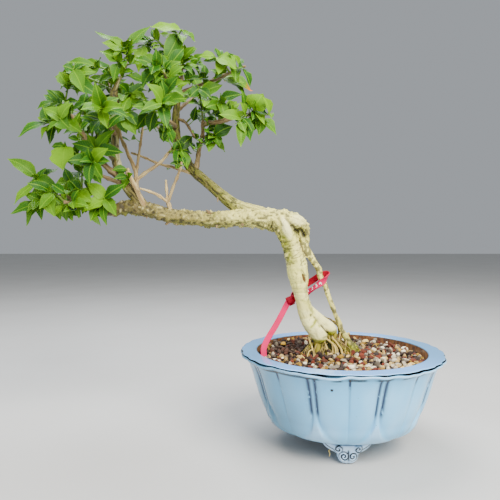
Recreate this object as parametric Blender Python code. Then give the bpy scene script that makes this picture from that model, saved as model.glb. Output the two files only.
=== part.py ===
"""Water jasmine bonsai in a glazed pot of nine petals, at real size, +Z up.

Sizes and places below are in millimetres, about the pot's axis with the table top at z = 0.
A tree point is given as (x, z, y): its place as seen from EYE in the upright plane through
the pot's axis, with x from TREE_X, and its depth y away from the eye. spread() moves it along
that line of sight.
"""

import math
import random

import bmesh
import bpy
from mathutils import Matrix, Vector
from mathutils.bvhtree import BVHTree
from mathutils.geometry import delaunay_2d_cdt

MM = 0.001
GAP = 0.3
EYE = Vector((-91.0, -539.0, 211.0))
TREE_X = 4.0

# Pot: each ring is (radius, height, share of the petal relief, share of the rim's lobes)
PETALS = 9
STEPS = 8
FRONT = math.radians(-96.1)
FOOT_TOP = 20.0
FLOOR_TOP = 27.0
RIM_TOP = 92.7
HOLE_RADIUS = 12.0
PETAL_RELIEF = 2.2
CREASE_SHARE = 0.45
RIM_LOBES = (-1.5, -0.2, 0.3, -0.9, 0.3)
POT_RINGS = (
    (HOLE_RADIUS, FOOT_TOP, 0, 0),
    (58.0, FOOT_TOP, 0, 0),
    (68.6, 24.5, 0.7, 0),
    (74.6, 35.0, 1, 0),
    (81.0, 52.0, 1, 0),
    (88.6, 76.0, 0.7, 0),
    (93.8, 85.6, 0.3, 0.3),
    (99.2, 88.0, 0, 1),
    (100.4, 89.6, 0, 1),
    (99.0, 91.2, 0, 1),
    (99.2, RIM_TOP, 0, 1),
    (83.8, RIM_TOP, 0, 0),
    (83.2, 88.5, 0, 0),
    (77.6, 60.0, 0, 0),
    (65.0, 35.0, 0, 0),
    (53.0, FLOOR_TOP, 0, 0),
    (HOLE_RADIUS, FLOOR_TOP, 0, 0),
)
INNER_WALL = POT_RINGS[12:16]

# Feet: each level is (height, half width along the pot, half depth out from it)
FEET = 3
FRONT_FOOT = math.radians(-92.3)
FOOT_RADIUS = 52.0
FOOT_SIDES = 8
FOOT_LEVELS = (
    (0.0, 5.5, 4.2),
    (2.0, 9.0, 6.6),
    (6.0, 10.4, 7.6),
    (10.8, 10.0, 7.6),
    (16.0, 21.0, 8.6),
    (22.0, 24.0, 8.0),
)
# Scrolls on a foot: (place along the pot, height, radius)
SCROLLS = ((-5.2, 6.2, 4.6), (5.2, 6.2, 4.6))
SCROLL_RELIEF = 1.2
SCROLL_SIDES = 6

# Drain screen
SCREEN_SIDE = 34.0
SCREEN_THICK = 1.0
SCREEN_HOLES = 2
SCREEN_BAR = 3.0

# Soil, with a plain hole for the root plug; gravel is a relief of many-sided grains
SOIL_TOP = 86.0
SOIL_BOTTOM = FLOOR_TOP + GAP + SCREEN_THICK + GAP
GRAIN_PITCH = 9.4
SOIL_SIDES = 36
GRAIN_RELIEF = (1.4, 3.4)
MOUND = 2.0
STONES = 16
STONE_SIZE = (4.0, 7.5)

# Root plug: its place, half width, half depth, and levels as (height, share of the outline)
PLUG_CENTRE = (-7.0, 5.0)
PLUG_HALF = (28.0, 19.0)
PLUG_SIDES = 14
PLUG_LEVELS = ((50.0, 0.68), (72.0, 0.9), (85.0, 1.0), (87.6, 0.97))
PLUG_CROWN = 2.5

# Wood: name, sides, then (x, z, y, radius) down each run
WOOD = (
    ("trunk", 9, (
        (-20, 86, 6, 12.0), (-22, 101, 5, 12.5), (-26.5, 113, 4, 11.8), (-33, 123.5, 3, 10.2),
        (-39, 133, 2, 8.7), (-43.2, 144, 1, 8.0), (-46, 157, 0, 9.4), (-47.6, 172, 0, 10.3),
        (-50.6, 186, 0, 10.0), (-53.4, 198, 0, 9.4), (-55, 210, 0, 9.2), (-56, 218, 0, 8.6))),
    ("elbow_and_lower_branch", 8, (
        (-36.8, 204.5, 1, 3.6), (-38.6, 209.5, 1, 7.2), (-43.5, 214.6, 0.5, 9.4),
        (-53, 217.7, 0, 10.4), (-68, 221.5, 0, 10.4), (-83, 224, 0, 10.4), (-97, 225, 0, 10.2),
        (-106, 224.5, -1, 8.8), (-115, 223.5, -2, 7.8), (-138, 223.3, -4, 7.2),
        (-161, 224.7, -6, 7.0), (-178, 227.5, -8, 6.8), (-195, 232, -10, 6.9),
        (-204, 233.5, -10, 7.2), (-217, 235, -11, 6.2), (-234, 232.5, -12, 5.2),
        (-253, 235, -10, 4.3), (-268, 239, -6, 4.6), (-277, 243.5, -3, 6.2),
        (-284, 243, -1, 4.4), (-291, 242, 0, 2.6))),
    ("heel", 8, (
        (-55, 196, 0, 8.5), (-60, 205, 0, 8.6), (-68, 214, 0, 8.6), (-80, 221, 0, 8.4))),
    ("upper_branch", 7, (
        (-84, 227, 0, 8.6), (-97, 230.5, 1, 8.2), (-110, 236.5, 4, 6.7), (-123.8, 247.2, 10, 5.8),
        (-132.5, 255, 14, 5.4), (-141.3, 262.5, 18, 5.3), (-150.8, 270.7, 22, 5.4),
        (-156.4, 278, 25, 5.0), (-162, 291, 27, 4.5), (-167.5, 305, 28, 4.3),
        (-168.4, 324, 28, 4.0), (-167, 336, 27, 3.5), (-165.6, 346, 26, 3.1),
        (-163, 358, 24, 2.4), (-162, 364, 23, 2.0))),
    ("left_stem", 7, (
        (-199, 231, -10, 6.4), (-207, 243, -11, 5.8), (-217.4, 255.5, -10, 5.3),
        (-224.5, 269, -8, 4.7), (-228.4, 284, -6, 4.2), (-228.5, 300, -4, 4.0),
        (-227.5, 315, -2, 3.8), (-228, 331, 0, 3.4), (-229.5, 345, 1, 4.3),
        (-227.5, 353, 1, 2.6), (-224, 360, 2, 1.7), (-217.4, 372, 3, 1.3), (-216, 381, 3, 1.1))),
    ("pale_stub", 4, (
        (-201, 237, -15, 2.8), (-210, 257, -17, 2.4), (-215.5, 268, -18, 2.2),
        (-216.5, 272, -18, 1.9))),
    ("second_riser", 4, (
        (-206, 240, -7, 2.6), (-207.5, 256, -1, 2.1), (-209, 270, 4, 2.0), (-215.5, 287, 8, 1.9),
        (-223, 305, 11, 1.6), (-226, 318, 13, 1.2))),
    ("third_riser", 4, (
        (-208.5, 264, 3, 1.5), (-206.3, 281, 6, 1.3), (-202.6, 303.3, 10, 1.1),
        (-201, 318, 14, 1.0))),
    ("cross_twig_low", 4, (
        (-207.5, 262, 2, 1.8), (-197, 270, 5, 1.7), (-184, 279.2, 9, 1.5), (-176, 288.5, 12, 1.3),
        (-171, 294, 14, 1.2))),
    ("cross_twig_high", 4, (
        (-153, 268.5, 22, 1.7), (-171, 274, 20, 1.5), (-186, 278.5, 18, 1.3),
        (-200, 284, 16, 1.2), (-212.4, 288.5, 15, 1.0))),
    ("fork", 4, ((-173, 227, -8, 2.2), (-176.5, 238, -9, 1.9), (-177.6, 244, -10, 1.6))),
    ("fork_left", 4, ((-177, 240, -10, 1.4), (-190, 248.5, -15, 1.3), (-204.4, 253.4, -21, 1.0))),
    ("fork_stub", 4, ((-177.2, 240, -9.5, 1.3), (-178, 252, -9, 1.3), (-178.5, 261, -8, 1.0))),
    ("fork_right", 4, (
        (-177, 239, -10, 1.5), (-171.2, 255.2, -12, 1.4), (-165, 271, -15, 1.2),
        (-163, 279, -16, 1.0))),
    ("left_branch", 4, (
        (-226.6, 266, -8, 3.0), (-230.3, 268, -10, 3.0), (-241.4, 279, -14, 2.6),
        (-252.5, 294, -18, 2.4), (-259, 302, -18, 2.5), (-265.5, 314, -14, 2.2),
        (-270, 323, -10, 1.6), (-279, 332, -6, 1.1))),
    ("low_left_twig", 4, (
        (-220, 257, -12, 2.2), (-232, 262, -16, 1.9), (-244, 267, -20, 1.5),
        (-254, 270, -22, 1.1))),
    ("side_riser", 4, (
        (-149, 270, 22, 3.0), (-146.5, 283, 20, 2.4), (-145, 295, 16, 2.1),
        (-142.5, 305, 12, 1.9), (-141.6, 320, 8, 1.7))),
    ("right_twig", 4, (
        (-142, 315, 10, 1.9), (-136, 318.5, 5, 2.1), (-130.5, 318.5, 1, 2.2),
        (-118, 321, -6, 2.1), (-106.4, 324.6, -12, 1.9), (-95, 326, -16, 1.6),
        (-82, 326.6, -19, 1.2), (-73, 327, -21, 1.0))),
    ("upper_right_twig", 4, (
        (-165, 347, 26, 2.2), (-149, 353.3, 20, 1.9), (-137.6, 358, 14, 1.7),
        (-127.3, 361.3, 8, 1.6), (-115, 367, 2, 1.4), (-108, 371, -2, 1.2),
        (-100, 373.4, -6, 1.0))),
    ("top_stub", 4, (
        (-164, 358, 24, 1.8), (-168.5, 368, 26, 1.4), (-172, 380, 28, 1.2), (-173, 386, 29, 1.0))),
    ("top_twig", 4, ((-162.5, 360, 23, 1.8), (-162.5, 372, 20, 1.5), (-165, 381, 17, 1.2))),
    ("middle_twig", 4, (
        (-167, 322, 27, 1.7), (-158.3, 318, 20, 1.3), (-150, 304, 13, 1.1))),
    ("right_front", 4, (
        (-168, 314, 28, 2.2), (-172, 318, 8, 1.9), (-177, 321, -14, 1.7), (-180, 326, -36, 1.4),
        (-181, 331, -52, 1.1))),
    ("right_back", 4, (
        (-168, 330, 28, 2.2), (-160, 336, 46, 1.8), (-152, 342, 64, 1.5), (-148, 347, 78, 1.1))),
    ("right_back_low", 4, (
        (-163, 294, 27, 2.2), (-172, 302, 44, 1.8), (-182, 309, 62, 1.4), (-188, 316, 74, 1.1))),
    ("left_front", 4, (
        (-228, 306, -3, 2.2), (-233, 314, -24, 1.8), (-238, 320, -42, 1.5),
        (-241, 326, -56, 1.1))),
    ("left_back", 4, (
        (-228, 322, -1, 2.2), (-222, 330, 20, 1.9), (-216, 336, 40, 1.5), (-212, 341, 56, 1.1))),
    ("left_back_low", 4, (
        (-227, 278, -6, 2.4), (-238, 290, 14, 2.0), (-250, 300, 34, 1.7), (-260, 308, 50, 1.2))),
    ("low_back", 4, (
        (-240, 233, -11, 2.4), (-252, 240, 8, 2.0), (-262, 247, 26, 1.6), (-270, 253, 40, 1.2))),
    ("low_front", 4, ((-262, 237, -8, 2.2), (-270, 238, -26, 1.8), (-279, 240, -42, 1.3))),
    ("top_back", 4, ((-229, 343, 1, 2.0), (-232, 350, 18, 1.6), (-234, 358, 34, 1.2))),
    ("top_front", 4, (
        (-166, 343, 26, 1.9), (-172, 352, 6, 1.6), (-177, 360, -14, 1.3), (-180, 367, -30, 1.0))),
    ("strand", 5, (
        (-46, 212, 0, 3.6), (-40.5, 201, 2, 3.4), (-35.4, 191.5, 4, 3.3), (-31.4, 184.6, 5, 3.3),
        (-24.6, 175, 6, 3.4), (-24.6, 165, 7, 3.2), (-19, 156.5, 7, 3.1), (-17, 146, 7, 2.9),
        (-13, 136, 7, 2.9), (-8, 125, 7, 3.1), (-4, 117, 7, 3.4), (-0.5, 109, 7, 4.4),
        (4, 100, 8, 6.0), (6, 90, 9, 6.6), (6, 80, 9, 5.5))),
    ("strand_tie", 4, ((-42, 194, 3, 1.8), (-38, 188, 4, 1.8), (-32, 180, 5, 1.8))),
    ("left_root_lobe", 8, (
        (-27, 112, 3, 9.0), (-23.5, 104, 2, 8.4), (-20.5, 99, 1, 6.0), (-19, 84, 1, 4.4))),
    ("right_root_lobe", 8, (
        (-22, 118, 5, 8.6), (-15, 111, 6, 8.0), (-11, 107, 7, 5.6), (-8, 84, 8, 3.8))),
)

# Fine roots: where each leaves the flare, and where it enters the plug, as (x, z, y)
FINE_ROOTS = (
    ((-27, 102, -4), (-33, 84, -2)), ((-24, 99, -6), (-27, 84, -8)),
    ((-18, 99, -5), (-18, 84, -10)), ((-12, 102, 2), (-5, 84, -7)), ((-9, 105, 6), (0, 84, -1)),
    ((-30, 104, 6), (-35, 84, 8)), ((-24, 100, 13), (-27, 84, 18)),
    ((-14, 101, 13), (-12, 84, 19)),
    ((3, 98, 3), (8, 84, 1)), ((8, 96, 8), (10.5, 84, 7)), ((6, 96, 13), (3, 84, 15)),
)
ROOT_RADIUS = (2.4, 1.5)

# Tag: middle lines of the strap's loop round the strand and of its tail, as (x, z, y)
STRAP_WIDTH = 6.0
STRAP_THICK = 1.4
STRAP_LOOP = (
    (-57, 145, 11), (-50, 147.5, 13), (-43, 151, 14), (-36, 154, 11.5), (-28, 160, 3.4),
    (-22, 165, 1.6), (-18.2, 168.4, 3.6), (-17, 170.2, 8), (-19, 171, 12.2), (-25, 169, 14.0),
    (-32, 164.5, 15.6), (-40, 160, 17.4), (-48, 155.5, 18.2), (-54, 150, 15.2), (-57, 146, 12.2),
)
STRAP_TAIL = (
    (-56, 144, 10), (-60, 134, 6.5), (-68.6, 115.6, 0), (-75, 105.3, -5), (-78.6, 97.8, -10),
    (-80.7, 91, -13), (-80.6, 86.6, -14),
)
TAG_HEAD = (-56.6, 145.0, 11.2)
HEAD_SIZE = (8.4, 6.6, 7.6)

# Runs of wood that carry no shoots
BARE_WOOD = ("trunk", "heel", "strand", "strand_tie", "left_root_lobe", "right_root_lobe")

# Leaves
BLADE_THICK = 0.7
BIG_LEAF = 11.5
SMALL_ROWS = ((0.32, 1.0), (0.68, 0.66))
BIG_ROWS = ((0.18, 0.72), (0.42, 1.0), (0.74, 0.62))
LEAF_CLEAR = 0.55
SHOOT_RADII = (1.05, 0.7)
SHOOT_SIDES = 3
LEAF_LENGTH = 24.0
LEAF_WIDTH = 0.4
TRIES = 24
SEED = 5

# Outline of the crown as seen, which leaves placed by rule stay inside, as (x, z)
CROWN_TOP = (
    (-340, 284), (-322, 312), (-300, 347), (-278, 381), (-248, 409), (-194, 415), (-150, 400),
    (-106, 383), (-84, 350), (-66, 318),
)
CROWN_BASE = (
    (-340, 236), (-318, 214), (-288, 222), (-240, 214), (-222, 244), (-200, 290), (-168, 268),
    (-150, 288), (-100, 290), (-66, 304),
)

# Sprays: tip (x, z, y), leaves in all, then leaves by their own tips as (x, z, y, width)
SPRAYS = (
    ((-216, 391, 3), 5, ((-248, 408, -4, 9), (-193, 413, 8, 9))),
    ((-162, 409, 14), 5, ((-194, 413, 6, 13), (-148, 397, 20, 9), (-180, 377, 8, 14))),
    ((-199, 394, 18), 5, ((-205, 367, 12, 10), (-186, 385, 26, 9))),
    ((-224, 378, -6), 5, ((-227, 391, -8, 7), (-230, 358, -14, 9))),
    ((-249, 374, -16), 4, ((-276, 378, -20, 8), (-262, 360, -12, 9))),
    ((-269, 371, -30), 5, ((-280, 374, -34, 8), (-259, 347, -38, 11), (-242, 343, -30, 11))),
    ((-271, 362, 22), 5, ((-288, 363, 24, 7), (-283, 351, 26, 8))),
    ((-287, 337, 24), 4, ((-299, 346, 28, 7),)),
    ((-295, 318, -22), 5, ((-325.6, 304, -28, 9), (-300, 335, -24, 9), (-302.5, 301.5, -30, 6))),
    ((-283, 322, -42), 5, ((-270, 338, -46, 9), (-274, 313, -50, 12))),
    ((-279, 296, -34), 4, ((-281, 271, -40, 19), (-292, 294.5, -28, 6), (-272, 276, -28, 12))),
    ((-307, 264, -4), 5, ((-336, 283, -8, 11), (-283, 252, -16, 13), (-331, 237, -10, 7))),
    ((-305, 239, -2), 5, ((-334, 228, -6, 9), (-318, 215.5, -4, 9))),
    ((-297, 250, -34), 5, ((-290, 225, -40, 11), (-310, 262, -36, 9))),
    ((-279, 236, 14), 5, ((-263, 225, 10, 11), (-293, 228, 18, 10))),
    ((-265, 250, -30), 5, ((-252, 240, -36, 10), (-275, 262, -34, 9))),
    ((-251, 280, -46), 5, ((-254, 256, -52, 9), (-240, 267, -50, 8))),
    ((-249, 292, -30), 5, ((-220, 289, -36, 10), (-272, 298, -34, 9), (-230, 310, -38, 10))),
    ((-240, 244, -26), 5, ((-219, 258, -34, 9), (-228, 226, -32, 9), (-238, 216, -28, 7))),
    ((-215, 328, -32), 5, ((-238, 314, -38, 12), (-207, 316, -40, 10))),
    ((-212, 346, -12), 5, ((-214, 329, -18, 10), (-197, 341, -14, 9))),
    ((-196, 328, -30), 5, ()),
    ((-176, 350, -44), 5, ((-183, 335, -50, 9), (-160, 345, -48, 9))),
    ((-179, 315, -16), 4, ((-182, 302, -20, 7), (-171, 296, -18, 8))),
    ((-163, 291, 4), 5, ((-157, 272, -2, 9), (-167, 302, 0, 7))),
    ((-131, 305, 2), 5, ((-112, 315, 4, 11), (-125, 295, -2, 9))),
    ((-106, 319, -30), 4, ((-104, 294, -36, 8), (-100, 307, -34, 7))),
    ((-87, 322, -12), 2, ((-68.5, 306, -16, 11),)),
    ((-91, 330, -24), 3, ((-82, 347, -28, 16), (-99, 345, -20, 8))),
    ((-118, 328, 8), 4, ()),
    ((-129, 382, -16), 5, ((-108, 371, -20, 15), (-145, 383, -18, 8))),
    ((-121, 361, 24), 4, ((-92, 349.5, 26, 13), (-98, 348, 14, 9))),
    ((-126, 341, -8), 5, ((-102, 346, -12, 10), (-120, 323, -14, 9))),
    ((-146, 352, -10), 5, ((-155, 343, -14, 8), (-133, 342, -14, 8))),
    ((-175, 374, 0), 5, ()),
    ((-150, 374, 44), 5, ()),
    ((-186, 364, 40), 5, ()),
    ((-146, 350, 84), 5, ()),
    ((-190, 322, 82), 5, ()),
    ((-211, 345, 66), 5, ()),
    ((-262, 312, 60), 5, ()),
    ((-272, 259, 52), 5, ()),
    ((-236, 364, 46), 5, ()),
    ((-241, 332, -68), 5, ()),
    ((-182, 337, -66), 5, ()),
    ((-190, 374, -40), 5, ()),
    ((-262, 275, 14), 4, ()),
    ((-236, 302, 30), 4, ()),
    ((-252, 332, 4), 5, ()),
    ((-140, 330, 40), 4, ()),
)

POT_BLUE = (0.42, 0.60, 0.76)
SCREEN_BLACK = (0.02, 0.02, 0.02)
SOIL_TAN = (0.42, 0.31, 0.20)
WOOD_CREAM = (0.60, 0.52, 0.33)
TAG_PINK = (0.85, 0.07, 0.17)
LEAF_GREENS = ((0.14, 0.40, 0.03), (0.24, 0.50, 0.04), (0.06, 0.27, 0.03))


def spread(x, z, y):
    """Moves a point seen in the upright plane at y = 0 along its line of sight to depth y."""
    seen = Vector((x + TREE_X, 0.0, z))
    return EYE + (seen - EYE) * ((y - EYE.y) / -EYE.y)


def finish(name, color, roughness):
    """A plain painted-on finish for one node."""
    material = bpy.data.materials.new(name)
    material.use_nodes = True
    shader = material.node_tree.nodes["Principled BSDF"]
    shader.inputs["Base Color"].default_value = (*color, 1.0)
    shader.inputs["Roughness"].default_value = roughness
    shader.inputs["Metallic"].default_value = 0.0
    return material


def add_object(name, verts, faces, collection=None):
    """Makes a mesh object from points in millimetres."""
    mesh = bpy.data.meshes.new(name)
    mesh.from_pydata([Vector(v) * MM for v in verts], [], faces)
    mesh.validate()
    obj = bpy.data.objects.new(name, mesh)
    (collection or bpy.context.scene.collection).objects.link(obj)
    return obj


def finish_node(obj, name, color, roughness, smooth=None):
    """Names a node, gives it its finish and shades it."""
    obj.name = name
    obj.data.name = name
    obj.data.materials.clear()
    obj.data.materials.append(finish(name, color, roughness))
    if smooth:
        obj.data.shade_smooth()
        obj.data.set_sharp_from_angle(angle=math.radians(smooth))
    return obj


def fuse(name, solids, solver="EXACT"):
    """Joins closed solids, given as (points, faces), in one Boolean union on a collection."""
    first = add_object(name, *solids[0])
    repeats = bpy.data.collections.new(name + "_repeats")
    for index, (verts, faces) in enumerate(solids[1:]):
        add_object(f"{name}_repeat_{index}", verts, faces, repeats)
    union = first.modifiers.new("union", "BOOLEAN")
    union.operation = "UNION"
    union.operand_type = "COLLECTION"
    union.collection = repeats
    union.solver = solver
    joined = evaluated(first)
    first.modifiers.clear()
    first.data = joined
    for obj in list(repeats.objects):
        bpy.data.objects.remove(obj)
    bpy.data.collections.remove(repeats)
    drop_scraps(first)
    return first


def evaluated(obj):
    """The object's mesh with its modifiers applied."""
    graph = bpy.context.evaluated_depsgraph_get()
    graph.update()
    return bpy.data.meshes.new_from_object(obj.evaluated_get(graph))


def islands(bm):
    """The groups of faces that hang together."""
    left = set(bm.faces)
    groups = []
    while left:
        group = set()
        stack = [left.pop()]
        while stack:
            face = stack.pop()
            group.add(face)
            for edge in face.edges:
                for other in edge.link_faces:
                    if other in left:
                        left.discard(other)
                        stack.append(other)
        groups.append(group)
    return groups


def drop_scraps(obj):
    """Keeps the outer skin of the largest body, without loose scraps or sealed hollows."""
    bm = bmesh.new()
    bm.from_mesh(obj.data)
    groups = sorted(islands(bm), key=lambda group: -sum(face.calc_area() for face in group))
    scraps = [face for group in groups[1:] for face in group]
    bmesh.ops.delete(bm, geom=scraps, context="FACES")
    bmesh.ops.triangulate(bm, faces=bm.faces)
    bmesh.ops.dissolve_degenerate(bm, dist=1e-8, edges=bm.edges)
    bmesh.ops.triangulate(bm, faces=bm.faces)
    bm.to_mesh(obj.data)
    bm.free()


def ring_faces(rings, sides):
    """Quads between rings of equal size."""
    faces = []
    for row in range(rings - 1):
        here = row * sides
        there = here + sides
        for k in range(sides):
            after = (k + 1) % sides
            faces.append((here + k, here + after, there + after, there + k))
    return faces


def smooth_run(points, steps):
    """Points and radii along a smooth curve through (point, radius) pairs."""
    padded = [points[0], *points, points[-1]]
    run = []
    for i in range(1, len(padded) - 2):
        for k in range(steps):
            run.append(spline(padded[i - 1:i + 3], k / steps))
    run.append(points[-1])
    return run


def spline(four, t):
    """Catmull-Rom between the middle two of four (point, radius) pairs."""
    weights = (
        -0.5 * t + t * t - 0.5 * t ** 3,
        1 - 2.5 * t * t + 1.5 * t ** 3,
        0.5 * t + 2 * t * t - 1.5 * t ** 3,
        -0.5 * t * t + 0.5 * t ** 3,
    )
    place = sum((w * p for w, (p, _) in zip(weights, four)), Vector())
    radius = sum(w * r for w, (_, r) in zip(weights, four))
    return place, radius


def tube(run, sides):
    """A closed tube along (point, radius) pairs, with a frame carried along it."""
    places = [place for place, _ in run]
    along = [(b - a).normalized() for a, b in zip(places, places[1:])]
    along.append(along[-1])
    across = along[0].orthogonal().normalized()
    verts = []
    for i, (place, radius) in enumerate(run):
        ahead = (along[max(i - 1, 0)] + along[i]).normalized()
        across = (across - ahead * across.dot(ahead)).normalized()
        side = ahead.cross(across)
        for k in range(sides):
            angle = 2 * math.pi * k / sides
            verts.append(place + radius * (across * math.cos(angle) + side * math.sin(angle)))
    faces = ring_faces(len(run), sides)
    faces.append(tuple(reversed(range(sides))))
    faces.append(tuple(range(len(verts) - sides, len(verts))))
    return verts, faces


def ribbon(places, wides, width, thick):
    """A closed flat strap along places, with its width along the given directions."""
    verts = []
    for i, place in enumerate(places):
        ahead = (places[min(i + 1, len(places) - 1)] - places[max(i - 1, 0)]).normalized()
        wide = (wides[i] - ahead * wides[i].dot(ahead)).normalized() * width / 2
        deep = ahead.cross(wide).normalized() * thick / 2
        verts += [place - wide - deep, place + wide - deep, place + wide + deep, place - wide + deep]
    faces = ring_faces(len(places), 4)
    faces.append((3, 2, 1, 0))
    faces.append(tuple(range(len(verts) - 4, len(verts))))
    return verts, faces


def box(centre, size):
    """An upright block."""
    half = [s / 2 for s in size]
    corners = ((-1, -1), (1, -1), (1, 1), (-1, 1))
    verts = [
        (centre[0] + sx * half[0], centre[1] + sy * half[1], centre[2] + sz * half[2])
        for sz in (-1, 1)
        for sx, sy in corners
    ]
    faces = ring_faces(2, 4) + [(3, 2, 1, 0), (4, 5, 6, 7)]
    return verts, faces


def petal_share(turn):
    """Relief of one petal: 0 at its borders, partly sunk at its middle crease."""
    bulge = math.sin(math.pi * turn)
    return bulge if turn > 0.5 else CREASE_SHARE + (1 - CREASE_SHARE) * bulge


def pot_ring(radius, height, relief, lobes):
    """One ring round the pot, with its petals or the lobes of its rim; plain rings are coarser."""
    stride = 1 if relief or lobes else 2
    ring = []
    for k in range(0, PETALS * STEPS, stride):
        step = k % STEPS
        turn = min(step, STEPS - step)
        bulge = relief * PETAL_RELIEF * petal_share(turn / (STEPS / 2))
        reach = radius + bulge + lobes * RIM_LOBES[turn]
        angle = FRONT + 2 * math.pi * k / (PETALS * STEPS)
        ring.append((reach * math.cos(angle), reach * math.sin(angle), height))
    return ring


def bridge(below, above):
    """Faces between two rings of point numbers, of which one may have twice as many."""
    count = max(len(below), len(above))
    low = count // len(below)
    high = count // len(above)
    faces = []
    for k in range(count):
        after = (k + 1) % count
        corners = [below[k // low], below[after // low], above[after // high], above[k // high]]
        faces.append(tuple(dict.fromkeys(corners)))
    return faces


def foot_solids(angle):
    """One scroll foot: its waisted body and the discs of its scrolls."""
    turn = Matrix.Rotation(angle + math.pi / 2, 4, "Z")
    centre = Vector((FOOT_RADIUS * math.cos(angle), FOOT_RADIUS * math.sin(angle), 0))
    verts = []
    for height, half_width, half_depth in FOOT_LEVELS:
        for k in range(FOOT_SIDES):
            around = 2 * math.pi * k / FOOT_SIDES
            local = Vector((half_width * math.cos(around), half_depth * math.sin(around), height))
            verts.append(centre + turn @ local)
    faces = ring_faces(len(FOOT_LEVELS), FOOT_SIDES)
    faces.append(tuple(reversed(range(FOOT_SIDES))))
    faces.append(tuple(range(len(verts) - FOOT_SIDES, len(verts))))
    solids = [(verts, faces)]
    for place, height, radius in SCROLLS:
        back = centre + turn @ Vector((place, 0, height))
        depth = 7.4 * math.sqrt(1 - (place / 14) ** 2) + SCROLL_RELIEF
        front = centre + turn @ Vector((place, -depth, height))
        solids.append(tube([(back, radius), (front, radius * 0.8)], SCROLL_SIDES))
    return solids


def make_pot():
    """The fired pot: a lathe-like wall with petals, its rim, drain hole and feet."""
    verts = []
    rings = []
    for size in POT_RINGS:
        ring = pot_ring(*size)
        rings.append(range(len(verts), len(verts) + len(ring)))
        verts += ring
    faces = []
    for below, above in zip(rings, rings[1:] + rings[:1]):
        faces += bridge(below, above)
    solids = [(verts, faces)]
    for k in range(FEET):
        solids += foot_solids(FRONT_FOOT + 2 * math.pi * k / FEET)
    pot = fuse("pot", solids)
    return finish_node(pot, "pot", POT_BLUE, 0.15, smooth=35)


def make_screen():
    """The plastic mesh over the drain hole: a square plate with a grid of square holes."""
    bm = bmesh.new()
    opening = (SCREEN_SIDE - SCREEN_BAR * (SCREEN_HOLES + 1)) / SCREEN_HOLES
    marks = [-SCREEN_SIDE / 2]
    for _ in range(SCREEN_HOLES):
        marks.append(marks[-1] + SCREEN_BAR)
        marks.append(marks[-1] + opening)
    marks.append(marks[-1] + SCREEN_BAR)
    low = FLOOR_TOP + GAP
    grid = [[bm.verts.new((x * MM, y * MM, low * MM)) for y in marks] for x in marks]
    for i in range(len(marks) - 1):
        for j in range(len(marks) - 1):
            if i % 2 and j % 2:
                continue
            bm.faces.new((grid[i][j], grid[i][j + 1], grid[i + 1][j + 1], grid[i + 1][j]))
    grown = bmesh.ops.extrude_face_region(bm, geom=list(bm.faces))
    lifted = [g for g in grown["geom"] if isinstance(g, bmesh.types.BMVert)]
    bmesh.ops.translate(bm, verts=lifted, vec=(0, 0, SCREEN_THICK * MM))
    bmesh.ops.recalc_face_normals(bm, faces=bm.faces)
    mesh = bpy.data.meshes.new("drain_screen")
    bm.to_mesh(mesh)
    bm.free()
    screen = bpy.data.objects.new("drain_screen", mesh)
    bpy.context.scene.collection.objects.link(screen)
    return finish_node(screen, "drain_screen", SCREEN_BLACK, 0.6)


def inner_radius(height):
    """Radius of the pot's inside wall at a height."""
    wall = [(ring[1], ring[0]) for ring in INNER_WALL]
    for (high, wide), (low, narrow) in zip(wall, wall[1:]):
        if height >= low:
            return narrow + (wide - narrow) * (height - low) / (high - low)
    return wall[-1][1]


def plug_ring(share, extra=0.0):
    """Outline of the root plug at a share of its width, widened by extra."""
    ring = []
    for k in range(PLUG_SIDES):
        angle = 2 * math.pi * k / PLUG_SIDES
        ring.append(Vector((
            PLUG_CENTRE[0] + (PLUG_HALF[0] * share + extra) * math.cos(angle),
            PLUG_CENTRE[1] + (PLUG_HALF[1] * share + extra) * math.sin(angle),
        )))
    return ring


def plug_reach(place):
    """Distance of a place from the plug's middle, 1 on its outline."""
    return math.hypot(
        (place[0] - PLUG_CENTRE[0]) / PLUG_HALF[0],
        (place[1] - PLUG_CENTRE[1]) / PLUG_HALF[1],
    )


def soil_surface(rng):
    """Places on the soil's top: a shaken lattice whose every third point is a raised grain."""
    edge = inner_radius(SOIL_TOP) - GAP
    rows = int(2 * edge / (GRAIN_PITCH * 0.866)) + 1
    tops = []
    for row in range(rows):
        for col in range(int(2 * edge / GRAIN_PITCH) + 2):
            x = (col + 0.5 * (row % 2)) * GRAIN_PITCH - edge
            y = row * GRAIN_PITCH * 0.866 - edge
            raised = (col - row // 2 + 2 * (row % 2)) % 3 == 0
            x += rng.uniform(-1, 1) * GRAIN_PITCH * 0.16
            y += rng.uniform(-1, 1) * GRAIN_PITCH * 0.16
            lift = rng.uniform(*GRAIN_RELIEF) if raised else rng.uniform(-0.5, 0.5)
            if math.hypot(x, y) > edge - 3.0 or plug_reach((x, y)) < 1.14:
                continue
            swell = MOUND * max(0.0, 1 - math.dist((x, y), PLUG_CENTRE) / 60)
            tops.append((x, y, SOIL_TOP + swell + lift))
    return tops


def stone(rng, centre, size):
    """One larger grain: an uneven eight-cornered pebble."""
    ball = bmesh.new()
    bmesh.ops.create_icosphere(ball, subdivisions=1, radius=1.0)
    squash = Vector((rng.uniform(0.8, 1.2), rng.uniform(0.7, 1.0), rng.uniform(0.45, 0.7)))
    turn = Matrix.Rotation(rng.uniform(0, 2 * math.pi), 3, "Z")
    turn = turn @ Matrix.Rotation(rng.uniform(-0.5, 0.5), 3, "X")
    verts = []
    for vert in ball.verts:
        jagged = vert.co * rng.uniform(0.8, 1.1)
        verts.append(centre + turn @ Vector([c * s * size for c, s in zip(jagged, squash)]))
    faces = [tuple(v.index for v in face.verts) for face in ball.faces]
    ball.free()
    return verts, faces


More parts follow.
